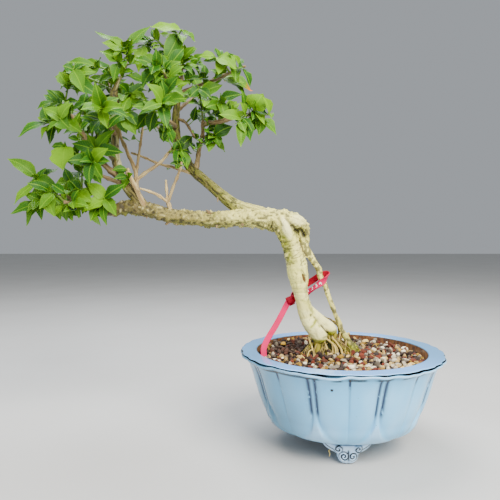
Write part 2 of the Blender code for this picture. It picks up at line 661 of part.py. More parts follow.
def soil_bed(rng):
    """The bed: its grained top, its wall along the pot and the plain hole for the root plug."""
    sides = SOIL_SIDES
    edge = inner_radius(SOIL_TOP) - GAP
    outer = []
    for k in range(sides):
        angle = FRONT + 2 * math.pi * k / sides
        outer.append((edge * math.cos(angle), edge * math.sin(angle), SOIL_TOP))
    lip = plug_ring(1.0, GAP + 0.1)
    hole = [(p.x, p.y, SOIL_TOP + 0.6) for p in lip]
    tops = soil_surface(rng)
    points = outer + hole + tops
    borders = [(k, (k + 1) % sides) for k in range(sides)]
    borders += [(sides + k, sides + (k + 1) % PLUG_SIDES) for k in range(PLUG_SIDES)]
    flat = [Vector(p[:2]) for p in points]
    _, _, triangles, _, _, _ = delaunay_2d_cdt(flat, borders, [], 0, 1e-6)
    verts = list(points)
    faces = []
    for tri in triangles:
        middle = sum((flat[k] for k in tri), Vector((0, 0))) / 3
        if all(sides <= k < sides + PLUG_SIDES for k in tri) and plug_reach(middle) < 1.0:
            continue
        a, b, c = (flat[k] for k in tri)
        ccw = (b - a).cross(c - a) > 0
        faces.append(tuple(tri) if ccw else tuple(reversed(tri)))
    wall = [ring for ring in INNER_WALL if SOIL_BOTTOM < ring[1] < SOIL_TOP]
    levels = [(ring[0] - GAP, ring[1]) for ring in wall]
    levels.append((inner_radius(SOIL_BOTTOM) - GAP - 0.6, SOIL_BOTTOM))
    above = list(range(sides))
    for radius, height in levels:
        below = list(range(len(verts), len(verts) + sides))
        for k in range(sides):
            angle = FRONT + 2 * math.pi * k / sides
            verts.append((radius * math.cos(angle), radius * math.sin(angle), height))
        for k in range(sides):
            after = (k + 1) % sides
            faces.append((above[after], above[k], below[k], below[after]))
        above = below
    faces.append(tuple(reversed(above)))
    above = list(range(sides, sides + PLUG_SIDES))
    for height, share in reversed(PLUG_LEVELS[:3]):
        low = height if height > PLUG_LEVELS[0][0] else height - GAP
        below = list(range(len(verts), len(verts) + PLUG_SIDES))
        verts += [(p.x, p.y, low) for p in plug_ring(share, GAP + 0.1)]
        for k in range(PLUG_SIDES):
            after = (k + 1) % PLUG_SIDES
            faces.append((above[k], above[after], below[after], below[k]))
        above = below
    faces.append(tuple(above))
    return verts, faces


def make_soil():
    """The bed of mix with its larger stones fused into the top."""
    rng = random.Random(SEED)
    solids = [soil_bed(rng)]
    edge = inner_radius(SOIL_TOP)
    placed = 0
    while placed < STONES:
        place = Vector((rng.uniform(-edge, edge), rng.uniform(-edge, edge), 0))
        size = rng.uniform(*STONE_SIZE)
        if place.length > edge - size * 1.3 - 1 or plug_reach(place) < 1.12 + size * 1.3 / 19:
            continue
        place.z = SOIL_TOP + 1.2
        solids.append(stone(rng, place, size))
        placed += 1
    soil = fuse("soil", solids)
    return finish_node(soil, "soil", SOIL_TAN, 0.9)


def wood_tubes():
    """The tree's runs of wood, each a closed tube, with the smooth run it follows."""
    tubes = []
    for name, sides, points in WOOD:
        places = [(spread(x, z, y), r) for x, z, y, r in points]
        run = smooth_run(places, 1)
        tubes.append((name, run, tube(run, sides)))
    return tubes


def root_solids():
    """The fine roots from the flare down to the plug, and the plug itself."""
    solids = []
    for top, foot in FINE_ROOTS:
        start = spread(*top)
        end = spread(*foot)
        knee = (start + end) / 2 + Vector((0, 0, 1.5)) + (end - start).normalized() * 2
        run = [(start, ROOT_RADIUS[0]), (knee, sum(ROOT_RADIUS) / 2), (end, ROOT_RADIUS[1])]
        solids.append(tube(run, 4))
    verts = []
    for height, share in PLUG_LEVELS:
        verts += [(p.x, p.y, height) for p in plug_ring(share)]
    faces = ring_faces(len(PLUG_LEVELS), PLUG_SIDES)
    faces.append(tuple(reversed(range(PLUG_SIDES))))
    top = len(verts)
    verts.append((*PLUG_CENTRE, PLUG_LEVELS[-1][0] + PLUG_CROWN))
    last = top - PLUG_SIDES
    for k in range(PLUG_SIDES):
        faces.append((last + k, last + (k + 1) % PLUG_SIDES, top))
    solids.append((verts, faces))
    return solids


def make_tree(tubes):
    """Trunk, branches, strand and roots, fused."""
    tree = fuse("tree", [solid for _, _, solid in tubes] + root_solids())
    return finish_node(tree, "tree", WOOD_CREAM, 0.85, smooth=50)


def make_tag():
    """The plastic strap tag: loop, head and tail, fused."""
    loop = [spread(*p) for p in STRAP_LOOP]
    up = [Vector((0.45, 0.0, 0.9))] * len(loop)
    tail = [spread(*p) for p in STRAP_TAIL]
    flat = [Vector((0.9, 0.25, 0.35))] * len(tail)
    head = box(spread(*TAG_HEAD), HEAD_SIZE)
    solids = [
        head,
        ribbon(loop, up, STRAP_WIDTH, STRAP_THICK),
        ribbon(tail, flat, STRAP_WIDTH * 0.9, STRAP_THICK),
    ]
    # The exact solver leaves open edges where thin blades and straps cross
    tag = fuse("tag", solids, solver="MANIFOLD")
    return finish_node(tag, "tag", TAG_PINK, 0.35)


def blade(base, tip, facing, width, arch, fold, wave, grow=0.0):
    """One leaf: a closed thin blade with pointed ends, a folded midrib and waved edges."""
    along = tip - base
    length = along.length
    along.normalize()
    side = along.cross(facing).normalized()
    face = side.cross(along)
    rows = BIG_ROWS if width >= BIG_LEAF else SMALL_ROWS
    thick = (BLADE_THICK / 2 + grow) * face
    middles = []
    for index, (share, part) in enumerate(rows):
        middle = base + along * length * share + face * arch * 4 * share * (1 - share)
        half = side * (width / 2 * part + grow)
        ripple = face * wave * (1 if index % 2 else -1)
        lift = face * fold * part
        middles += [middle - half + lift + ripple, middle, middle + half + lift - ripple]
    middles.append(tip + along * grow)
    count = len(middles)
    verts = [base] + [p - thick for p in middles] + [p + thick for p in middles]
    return verts, blade_faces(len(rows), count)


def blade_faces(rows, count):
    """Triangles of a blade: both faces split alike, and the thin rim between them."""
    top = [(0, 2, 1), (0, 3, 2)]
    for row in range(rows - 1):
        a = 1 + 3 * row
        top += [(a, a + 1, a + 4), (a, a + 4, a + 3), (a + 1, a + 2, a + 5), (a + 1, a + 5, a + 4)]
    last = count - 3
    top += [(last, last + 1, count), (last + 1, last + 2, count)]
    faces = [tuple(count + k if k else 0 for k in tri) for tri in top]
    faces += [tuple(reversed(tri)) for tri in top]
    left = [1 + 3 * row for row in range(rows)] + [count]
    right = [3 + 3 * row for row in range(rows)] + [count]
    faces.append((0, count + left[0], left[0]))
    faces.append((0, right[0], count + right[0]))
    for a, b in zip(left, left[1:]):
        faces += [(a, count + a, count + b), (a, count + b, b)]
    for a, b in zip(right, right[1:]):
        faces += [(a, b, count + b), (a, count + b, count + a)]
    return faces


def tree_of(solid):
    """A search tree of a solid's triangles."""
    verts, faces = solid
    return BVHTree.FromPolygons([Vector(v) for v in verts], faces)


def sphere_of(verts):
    """A ball round a few points, for a quick test of nearness."""
    middle = sum((Vector(v) for v in verts), Vector()) / len(verts)
    return middle, max((Vector(v) - middle).length for v in verts)


class Clearance:
    """What is already placed, so that each new leaf or shoot keeps clear of it."""

    def __init__(self, wood):
        self.wood = [(tree_of(solid), *sphere_of(solid[0])) for solid in wood]
        self.leafy = []

    def free(self, solid, skip_wood=False):
        """True where a solid touches nothing that was placed before."""
        own = tree_of(solid)
        middle, reach = sphere_of(solid[0])
        others = self.leafy if skip_wood else self.leafy + self.wood
        for other, centre, radius in others:
            if (centre - middle).length < reach + radius and own.overlap(other):
                return False
        return True

    def add(self, solid):
        """Keeps a placed solid."""
        self.leafy.append((tree_of(solid), *sphere_of(solid[0])))

    def wood_distance(self, place):
        """Distance outside the wood, negative inside it."""
        nearest = 1e9
        for tree, centre, radius in self.wood:
            if (centre - place).length > radius + 12:
                continue
            spot, normal, _, distance = tree.find_nearest(place)
            nearest = min(nearest, distance if (place - spot).dot(normal) > 0 else -distance)
        return nearest


def nearest_wood(tip, runs):
    """Places on the wood that a shoot to this tip could grow from, the likeliest first."""
    places = []
    for name, run in runs:
        if name in BARE_WOOD:
            continue
        for place, radius in run[1:]:
            offset = tip - place
            cost = offset.length + 1.6 * max(0.0, 6.0 - offset.z) + 2.0 * radius
            if offset.length > 5:
                places.append((cost, place))
    places.sort(key=lambda pair: pair[0])
    return [place for _, place in places]


def seat(path, clearance):
    """The first step of a path whose whole end stands the usual gap clear of the wood."""
    for start in range(len(path) - 12):
        ahead = (path[start + 1] - path[start]).normalized()
        across = ahead.orthogonal().normalized() * SHOOT_RADII[0]
        around = [
            path[start] + Matrix.Rotation(k * math.pi / 3, 3, ahead) @ across for k in range(6)
        ]
        if all(clearance.wood_distance(p) >= GAP for p in around + [path[start]]):
            return start
    return len(path) // 2


def shoot_run(roots, tip, rng, clearance):
    """A green shoot from just clear of the wood to its tip, as (point, radius) pairs."""
    for attempt in range(TRIES):
        root = roots[attempt // 4]
        reach = (tip - root).length
        stray = Vector([rng.uniform(-0.04, 0.04) * attempt * reach for _ in range(3)])
        bend = root.lerp(tip, 0.5) + Vector((0, 0, 0.12 * reach)) + stray
        path = [place for place, _ in smooth_run([(root, 0.0), (bend, 0.0), (tip, 0.0)], 60)]
        start = seat(path, clearance)
        rest = len(path) - 1 - start
        places = [path[start + round(rest * share)] for share in (0, 0.5, 1)]
        run = list(zip(places, (SHOOT_RADII[0], sum(SHOOT_RADII) / 2, SHOOT_RADII[1])))
        wide = tube([(place, radius + LEAF_CLEAR) for place, radius in run], SHOOT_SIDES)
        off_wood = tube([(p, r + LEAF_CLEAR) for p, r in run[1:]], SHOOT_SIDES)
        if clearance.free(wide, skip_wood=True) and clearance.free(off_wood):
            return run
    return None


def at_share(run, share):
    """Place and direction at a share of the way along a shoot."""
    spot = min(share, 0.999) * (len(run) - 1)
    first = int(spot)
    a, b = run[first][0], run[first + 1][0]
    return a.lerp(b, spot - first), (b - a).normalized()


def leaf_facing(middle, rng):
    """The way a leaf's upper face looks: up, out of the crown and towards the light in front."""
    out = middle - Vector((TREE_X - 205, 10, 300))
    out.z *= 0.5
    facing = out.normalized() * 0.55 + Vector((0, -0.55, 0.75))
    return facing + Vector([rng.uniform(-0.35, 0.35) for _ in range(3)])


def bound_at(outline, x):
    """Height of an outline at x."""
    for (left, low), (right, high) in zip(outline, outline[1:]):
        if left <= x <= right:
            return low + (high - low) * (x - left) / (right - left)
    return None


def in_crown(place):
    """True where a place is seen inside the outline of the crown."""
    seen = EYE + (place - EYE) * (-EYE.y / (place.y - EYE.y))
    low = bound_at(CROWN_BASE, seen.x - TREE_X)
    return low is not None and low < seen.z < bound_at(CROWN_TOP, seen.x - TREE_X)


def free_leaf(base, tip, width, rng, clearance, own, bounded):
    """A leaf from base towards tip, moved a little where it would touch another; or None."""
    length = (tip - base).length
    for attempt in range(TRIES):
        stray = 0.09 * attempt * length
        goal = tip + Vector([rng.uniform(-1, 1) * stray * f for f in (0.4, 1.0, 0.4)])
        goal = base + (goal - base).normalized() * length
        if bounded and not in_crown(goal):
            continue
        facing = leaf_facing(goal, rng)
        form = (width, 0.09 * length, 0.11 * width, rng.uniform(0.3, 0.7))
        tested = blade(base + (goal - base) * 0.1, goal, facing, *form, grow=LEAF_CLEAR)
        if clearance.free(tested) and own.free(tested, skip_wood=True):
            return blade(base, goal, facing, *form)
    return None


def leaf_bases(count):
    """Shares along the shoot where its leaves stand, in opposite pairs from the tip down."""
    return [(0.97, 0.74, 0.52, 0.34)[k // 2] for k in range(count)]


def leaf_goal(base, along, turn, pair, rng):
    """Where a leaf placed by rule points: out from the shoot, a pair at right angles to the last."""
    across = along.orthogonal().normalized()
    out = Matrix.Rotation(turn, 3, along) @ across
    lean = 0.95 if pair == 0 else 0.5
    heading = along * lean + out + Vector((0, 0, -0.3))
    return base + heading.normalized() * LEAF_LENGTH * rng.uniform(0.78, 1.08)


def spray_solids(tip, count, named, runs, clearance, rng):
    """One leafy shoot: the shoot and the leaves that find room on it."""
    goal = spread(*tip)
    run = shoot_run(nearest_wood(goal, runs), goal, rng, clearance)
    shoot = tube(run, SHOOT_SIDES)
    solids = [shoot]
    own = Clearance([])
    first_turn = rng.uniform(0, 2 * math.pi)
    for k, share in enumerate(leaf_bases(count)):
        base, along = at_share(run, share - 0.012 * (k % 2))
        if k < len(named):
            aim = spread(*named[k][:3])
            width = named[k][3]
        else:
            turn = first_turn + math.pi * (k % 2) + math.pi / 2 * (k // 2) + rng.uniform(-0.3, 0.3)
            aim = leaf_goal(base, along, turn, k // 2, rng)
            width = LEAF_WIDTH * (aim - base).length * rng.uniform(0.85, 1.15)
        leaf = free_leaf(base, aim, width, rng, clearance, own, bounded=k >= len(named))
        if leaf:
            own.add(leaf)
            solids.append(leaf)
    for solid in solids:
        clearance.add(solid)
    return solids


def make_sprays(tubes):
    """All the leafy shoots, each a node of its own."""
    rng = random.Random(SEED)
    runs = [(name, run) for name, run, _ in tubes]
    clearance = Clearance([solid for _, _, solid in tubes])
    for index, (tip, count, named) in enumerate(SPRAYS):
        solids = spray_solids(tip, count, named, runs, clearance, rng)
        name = f"leaf_spray_{index + 1:02d}"
        spray = fuse(name, solids, solver="MANIFOLD")
        finish_node(spray, name, LEAF_GREENS[index % len(LEAF_GREENS)], 0.45)


def recentre():
    """Moves everything so that the origin is the middle of the whole at the table's height."""
    objects = list(bpy.context.scene.objects)
    corners = [vert.co for obj in objects for vert in obj.data.vertices]
    middle = [(max(c[k] for c in corners) + min(c[k] for c in corners)) / 2 for k in (0, 1)]
    shift = Matrix.Translation((-middle[0], -middle[1], 0))
    for obj in objects:
        obj.data.transform(shift)


def main():
    for obj in list(bpy.data.objects):
        bpy.data.objects.remove(obj)
    make_pot()
    make_screen()
    make_soil()
    tubes = wood_tubes()
    make_tree(tubes)
    make_tag()
    make_sprays(tubes)
    recentre()


main()
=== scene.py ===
"""Looks of a water jasmine bonsai in a glazed stoneware pot of nine petals.

Sizes and places in the tables are millimetres about the pot's axis, with the table top at
z = 0. A tree point is (x, z, y): its place as seen from EYE in the upright plane through the
pot's axis, and its depth y away from the eye. Its x counts from TREE_X. spread() moves it along
that line of sight.
"""

import itertools
import logging
import math
import random
from dataclasses import dataclass, field
from enum import Enum
from typing import Any, Iterable, Optional, Sequence

import bmesh
import bpy
import numpy as np
from mathutils import Matrix, Vector
from mathutils.bvhtree import BVHTree


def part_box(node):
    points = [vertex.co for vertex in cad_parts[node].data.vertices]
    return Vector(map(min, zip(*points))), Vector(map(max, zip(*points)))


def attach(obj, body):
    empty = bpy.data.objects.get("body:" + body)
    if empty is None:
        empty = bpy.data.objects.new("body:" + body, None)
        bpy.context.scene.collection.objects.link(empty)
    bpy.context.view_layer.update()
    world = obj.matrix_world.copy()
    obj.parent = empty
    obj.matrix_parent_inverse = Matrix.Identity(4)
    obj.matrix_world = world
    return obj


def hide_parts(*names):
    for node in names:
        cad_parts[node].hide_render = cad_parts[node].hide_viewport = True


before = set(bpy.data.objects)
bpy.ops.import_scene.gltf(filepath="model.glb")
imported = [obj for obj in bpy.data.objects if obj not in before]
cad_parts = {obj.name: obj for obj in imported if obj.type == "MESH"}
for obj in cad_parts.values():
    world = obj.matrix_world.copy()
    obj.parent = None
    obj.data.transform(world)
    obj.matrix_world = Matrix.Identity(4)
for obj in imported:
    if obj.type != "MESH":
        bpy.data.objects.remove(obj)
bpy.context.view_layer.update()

log = logging.getLogger("bonsai")

MM = 0.001
EYE = Vector((-91.0, -539.0, 211.0))
# Where the tree's own tables count x from
TREE_X = 4.0
# The gap that the CAD's solids keep from each other, and the seed of its draws
CLEARANCE = 0.3
SEED = 5
# How many points are compared at once with all rows
NEAREST_AT_ONCE = 3000
# Widest turn of a random draw
FULL_TURN = 6.28

Point = tuple[float, float, float]
Solid = tuple[list, list]
RunPath = list[tuple[Vector, float]]


class Slot(Enum):
    """Material slots of the record."""

    GLAZE = "blue_glaze"
    MIX = "soil_mix"
    WOOD = "living_wood"
    TAG = "tag_plastic"
    MID_LEAF = "leaf_mid_green"
    LIME_LEAF = "leaf_lime_green"
    DEEP_LEAF = "leaf_deep_green"


def pot_axis() -> Vector:
    """The pot's axis in the frame, found at the middle of the drain screen."""
    low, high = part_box("drain_screen")
    return Vector(((low.x + high.x) / 2, (low.y + high.y) / 2, 0.0))


AXIS = pot_axis()


def spread(x: float, z: float, y: float) -> Vector:
    """Moves a point seen in the upright plane at y = 0 along its line of sight to depth y.

    Args:
        x: Place to the right of TREE_X, as seen.
        z: Height above the table, as seen.
        y: Depth behind the upright plane.

    Returns:
        The point itself.
    """
    seen = Vector((x + TREE_X, 0.0, z))
    return EYE + (seen - EYE) * ((y - EYE.y) / -EYE.y)


def seen_from_eye(points: np.ndarray) -> np.ndarray:
    """Where points are seen in the upright plane at y = 0.

    Args:
        points: Rows of x, y, z in millimetres.

    Returns:
        Rows of x, counted from TREE_X, and z in that plane.
    """
    eye = np.array(EYE)
    share = -eye[1] / (points[:, 1] - eye[1])
    return np.column_stack([
        eye[0] + (points[:, 0] - eye[0]) * share - TREE_X,
        eye[2] + (points[:, 2] - eye[2]) * share,
    ])


def random_vector(rng: random.Random, reach: float) -> Vector:
    """Draws a vector with each part from -reach to reach."""
    return Vector([rng.uniform(-reach, reach) for _ in range(3)])


def smooth_step(low: float, high: float, values: Any) -> Any:
    """A soft ramp from 0 at low to 1 at high, also downwards where low is above high."""
    share = np.clip((np.asarray(values, float) - low) / (high - low), 0, 1)
    return share * share * (3 - 2 * share)


def lattice_noise(points: np.ndarray, seed: int = 0) -> np.ndarray:
    """Smooth noise whose features are about one unit wide.

    Args:
        points: Rows of three coordinates, in features.
        seed: Picks another pattern.

    Returns:
        A value from -1 to 1 for each row.
    """
    cell = np.floor(points).astype(np.int64)
    part = points - cell
    part = part * part * (3 - 2 * part)
    total = np.zeros(len(points))
    for corner in itertools.product((0, 1), repeat=3):
        spot = cell + corner
        mixed = spot[:, 0] * 374761393 + spot[:, 1] * 668265263 + spot[:, 2] * 1442695041
        mixed = (mixed + seed * 974711) & 0xFFFFFFFF
        mixed = ((mixed ^ (mixed >> 13)) * 1274126177) & 0xFFFFFFFF
        value = ((mixed ^ (mixed >> 16)) & 0xFFFF) / 32767.5 - 1
        total += value * np.prod(np.where(corner, part, 1 - part), axis=1)
    return total


def layered_noise(points: np.ndarray, period: float, layers: int, seed: int = 0) -> np.ndarray:
    """Noise of several sizes laid over each other.

    Args:
        points: Rows of three coordinates in millimetres.
        period: Width of the largest features in millimetres.
        layers: How many sizes, each half as wide and high as the last.
        seed: Picks another pattern.

    Returns:
        A value of about -1 to 1 for each row.
    """
    total = np.zeros(len(points))
    weight = 0.0
    for layer in range(layers):
        share = 0.5 ** layer
        total += share * lattice_noise(points / (period * share) + 31.7 * layer, seed + layer)
        weight += share
    return total / weight


def spline(four: Sequence[tuple[Vector, float]], t: float) -> tuple[Vector, float]:
    """Catmull-Rom between the middle two of four (point, radius) pairs.

    Args:
        four: The pairs.
        t: Share of the way from the second to the third.

    Returns:
        The point and radius there.
    """
    weights = (
        -0.5 * t + t * t - 0.5 * t ** 3,
        1 - 2.5 * t * t + 1.5 * t ** 3,
        0.5 * t + 2 * t * t - 1.5 * t ** 3,
        -0.5 * t * t + 0.5 * t ** 3,
    )
    place = sum((w * p for w, (p, _) in zip(weights, four)), Vector())
    radius = sum(w * r for w, (_, r) in zip(weights, four))
    return place, radius


def smooth_run(points: Sequence[tuple[Vector, float]], steps: int) -> RunPath:
    """Points and radii along a smooth curve.

    Args:
        points: The (point, radius) pairs that the curve passes through.
        steps: How many pairs it gets from each of those to the next.

    Returns:
        The finer pairs.
    """
    padded = [points[0], *points, points[-1]]
    run = []
    for i in range(1, len(padded) - 2):
        for k in range(steps):
            run.append(spline(padded[i - 1:i + 3], k / steps))
    run.append(points[-1])
    return run


def ring_faces(rings: int, sides: int) -> list:
    """Quads between rings of equal size.

    Args:
        rings: How many rings there are.
        sides: How many points each has.

    Returns:
        The quads.
    """
    faces = []
    for here, k in itertools.product(range(0, (rings - 1) * sides, sides), range(sides)):
        after = here + (k + 1) % sides
        faces.append((here + k, after, after + sides, here + k + sides))
    return faces


def closed_faces(rings: int, sides: int) -> list:
    """Quads between rings of equal size, with a cap on the first and on the last.

    Args:
        rings: How many rings there are.
        sides: How many points each has.

    Returns:
        The quads and the caps.
    """
    last = (rings - 1) * sides
    caps = [tuple(reversed(range(sides))), tuple(range(last, last + sides))]
    return ring_faces(rings, sides) + caps


def tube(run: RunPath, sides: int) -> Solid:
    """A closed tube with a frame carried along it.

    Args:
        run: (point, radius) pairs down its middle.
        sides: How many sides it has.

    Returns:
        Its points and faces.
    """
    places = [place for place, _ in run]
    along = [(b - a).normalized() for a, b in zip(places, places[1:])]
    along.append(along[-1])
    across = along[0].orthogonal().normalized()
    verts = []
    for i, (place, radius) in enumerate(run):
        ahead = (along[max(i - 1, 0)] + along[i]).normalized()
        across = (across - ahead * across.dot(ahead)).normalized()
        side = ahead.cross(across)
        for k in range(sides):
            angle = 2 * math.pi * k / sides
            verts.append(place + radius * (across * math.cos(angle) + side * math.sin(angle)))
    return verts, closed_faces(len(run), sides)


@dataclass
class MeshParts:
    """Points, faces and point values of a mesh that is put together from many solids."""

    verts: list = field(default_factory=list)
    faces: list = field(default_factory=list)
    values: dict = field(default_factory=dict)
    face_values: dict = field(default_factory=dict)

    def add(self, verts: Iterable, faces: Iterable, values: Optional[dict] = None,
            face_values: Optional[dict] = None) -> None:
        """Adds one solid.

        Args:
            verts: Its points in millimetres.
            faces: Its faces, numbered from 0.
            values: Name to one number, or one a point.
            face_values: Name to one number a face.
        """
        start = len(self.verts)
        self.verts.extend(tuple(v) for v in verts)
        count = len(self.verts) - start
        faces = [tuple(start + k for k in face) for face in faces]
        self.faces.extend(faces)
        for name, value in (values or {}).items():
            rows = value if hasattr(value, "__len__") and len(value) == count else [value] * count
            self.values.setdefault(name, []).extend(rows)
        for name, value in (face_values or {}).items():
            rows = value if hasattr(value, "__len__") else [value] * len(faces)
            self.face_values.setdefault(name, []).extend(rows)


def write_values(mesh: bpy.types.Mesh, name: str, rows: Any, domain: str = "POINT") -> None:
    """Writes numbers, or rows of three, as an attribute that materials read.

    Args:
        mesh: The mesh that gets it.
        name: The attribute's name.
        rows: One number, or one row of three, for each point or face.
        domain: POINT or FACE.
    """
    rows = np.asarray(rows, np.float32)
    if rows.ndim == 2:
        attribute = mesh.attributes.new(name, "FLOAT_VECTOR", domain)
        attribute.data.foreach_set("vector", rows.ravel())
    else:
        attribute = mesh.attributes.new(name, "FLOAT", domain)
        attribute.data.foreach_set("value", rows)


def raw_points(mesh: bpy.types.Mesh) -> np.ndarray:
    """A mesh's points as rows in metres.

    Args:
        mesh: The mesh.

    Returns:
        Rows of x, y, z.
    """
    flat = np.empty(len(mesh.vertices) * 3)
    mesh.vertices.foreach_get("co", flat)
    return flat.reshape(-1, 3)


def points_of(mesh: bpy.types.Mesh) -> np.ndarray:
    """A mesh's points as rows, in millimetres about the pot's axis."""
    return (raw_points(mesh) - np.array(AXIS)) / MM


def place_points(mesh: bpy.types.Mesh, points: np.ndarray) -> None:
    """Sets a mesh's points from rows in millimetres about the pot's axis."""
    mesh.vertices.foreach_set("co", (points * MM + np.array(AXIS)).ravel())
    mesh.update()


def normals_of(mesh: bpy.types.Mesh) -> np.ndarray:
    """A mesh's point normals.

    Args:
        mesh: The mesh.

    Returns:
        Rows of x, y, z.
    """
    flat = np.empty(len(mesh.vertices) * 3, np.float32)
    mesh.vertex_normals.foreach_get("vector", flat)
    return flat.reshape(-1, 3).astype(float)


def mesh_object(name: str, parts: MeshParts) -> bpy.types.Object:
    """Makes an object at the origin from parts in millimetres, with their values on it.

    Args:
        name: The piece's name.
        parts: Its points, faces and values.

    Returns:
        The new object.
    """
    mesh = bpy.data.meshes.new(name)
    mesh.from_pydata([Vector(v) * MM + AXIS for v in parts.verts], [], parts.faces)
    for label, rows in parts.values.items():
        write_values(mesh, label, rows)
    for label, rows in parts.face_values.items():
        write_values(mesh, label, rows, "FACE")
    obj = bpy.data.objects.new(name, mesh)
    bpy.context.scene.collection.objects.link(obj)
    return obj


def dress(obj: bpy.types.Object, material: bpy.types.Material, slot: Slot,
          replaced: Sequence[str] = (), smooth: Optional[float] = 40.0) -> bpy.types.Object:
    """Finishes a piece: its material, shading, body and the node it stands for.

    Args:
        obj: The piece, in place.
        material: Its finish.
        slot: The record's slot of that finish; not used.
        replaced: CAD nodes that it stands for.
        smooth: Sharpest angle in degrees that is still shaded smooth, or None for flat faces.

    Returns:
        The piece.
    """
    obj.data.materials.clear()
    obj.data.materials.append(material)
    if smooth is not None:
        obj.data.shade_smooth()
        obj.data.set_sharp_from_angle(angle=math.radians(smooth))
    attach(obj, "root")
    if replaced:
        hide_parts(*replaced)
    log.info("%s: %d points, %d faces", obj.name, len(obj.data.vertices), len(obj.data.polygons))
    return obj


def only(obj: bpy.types.Object) -> bpy.types.Object:
    """Selects one object alone and makes it active.

    Args:
        obj: The object to select.

    Returns:
        The same object.
    """
    bpy.ops.object.select_all(action="DESELECT")
    obj.select_set(True)
    bpy.context.view_layer.objects.active = obj
    return obj


def apply_modifier(obj: bpy.types.Object, kind: str, **settings: Any) -> None:
    """Adds a modifier with its settings and applies it.

    Args:
        obj: The object that gets it.
        kind: Blender's name for the modifier.
        settings: Its properties.
    """
    only(obj)
    modifier = obj.modifiers.new(kind.lower(), kind)
    for name, value in settings.items():
        setattr(modifier, name, value)
    bpy.ops.object.modifier_apply(modifier=modifier.name)


def linear(code: str) -> tuple[float, float, float, float]:
    """Turns an sRGB hex colour such as #6FAE2A into the linear colour that a shader takes.

    Args:
        code: The colour, as # and six hex digits.

    Returns:
        Linear red, green, blue and 1.
    """
    shares = [int(code[k:k + 2], 16) / 255 for k in (1, 3, 5)]
    flat = [s / 12.92 if s <= 0.04045 else ((s + 0.055) / 1.055) ** 2.4 for s in shares]
    return (*flat, 1.0)


# What each kind of node is given, in order, and the output that it is used for
NODE_PORTS = {
    "TexCoord": ((), "Object"), "Attribute": ((), "Fac"), "SeparateXYZ": ((0,), 0),
    "Mapping": (("Vector", "Scale"), 0), "TexNoise": (("Vector", "Scale", "Detail"), 0),
    "TexVoronoi": (("Vector", "Scale"), "Distance"), "VectorMath": ((0, 1), "Value"),
    "Math": ((0, 1, 2), 0), "ValToRGB": (("Fac",), "Color"), "Mix": ((0, 6, 7), 2),
    "MapRange": (("Value", "From Min", "From Max", "To Min", "To Max"), "Result"),
    "Bump": (("Height", "Distance", "Strength"), 0),
}


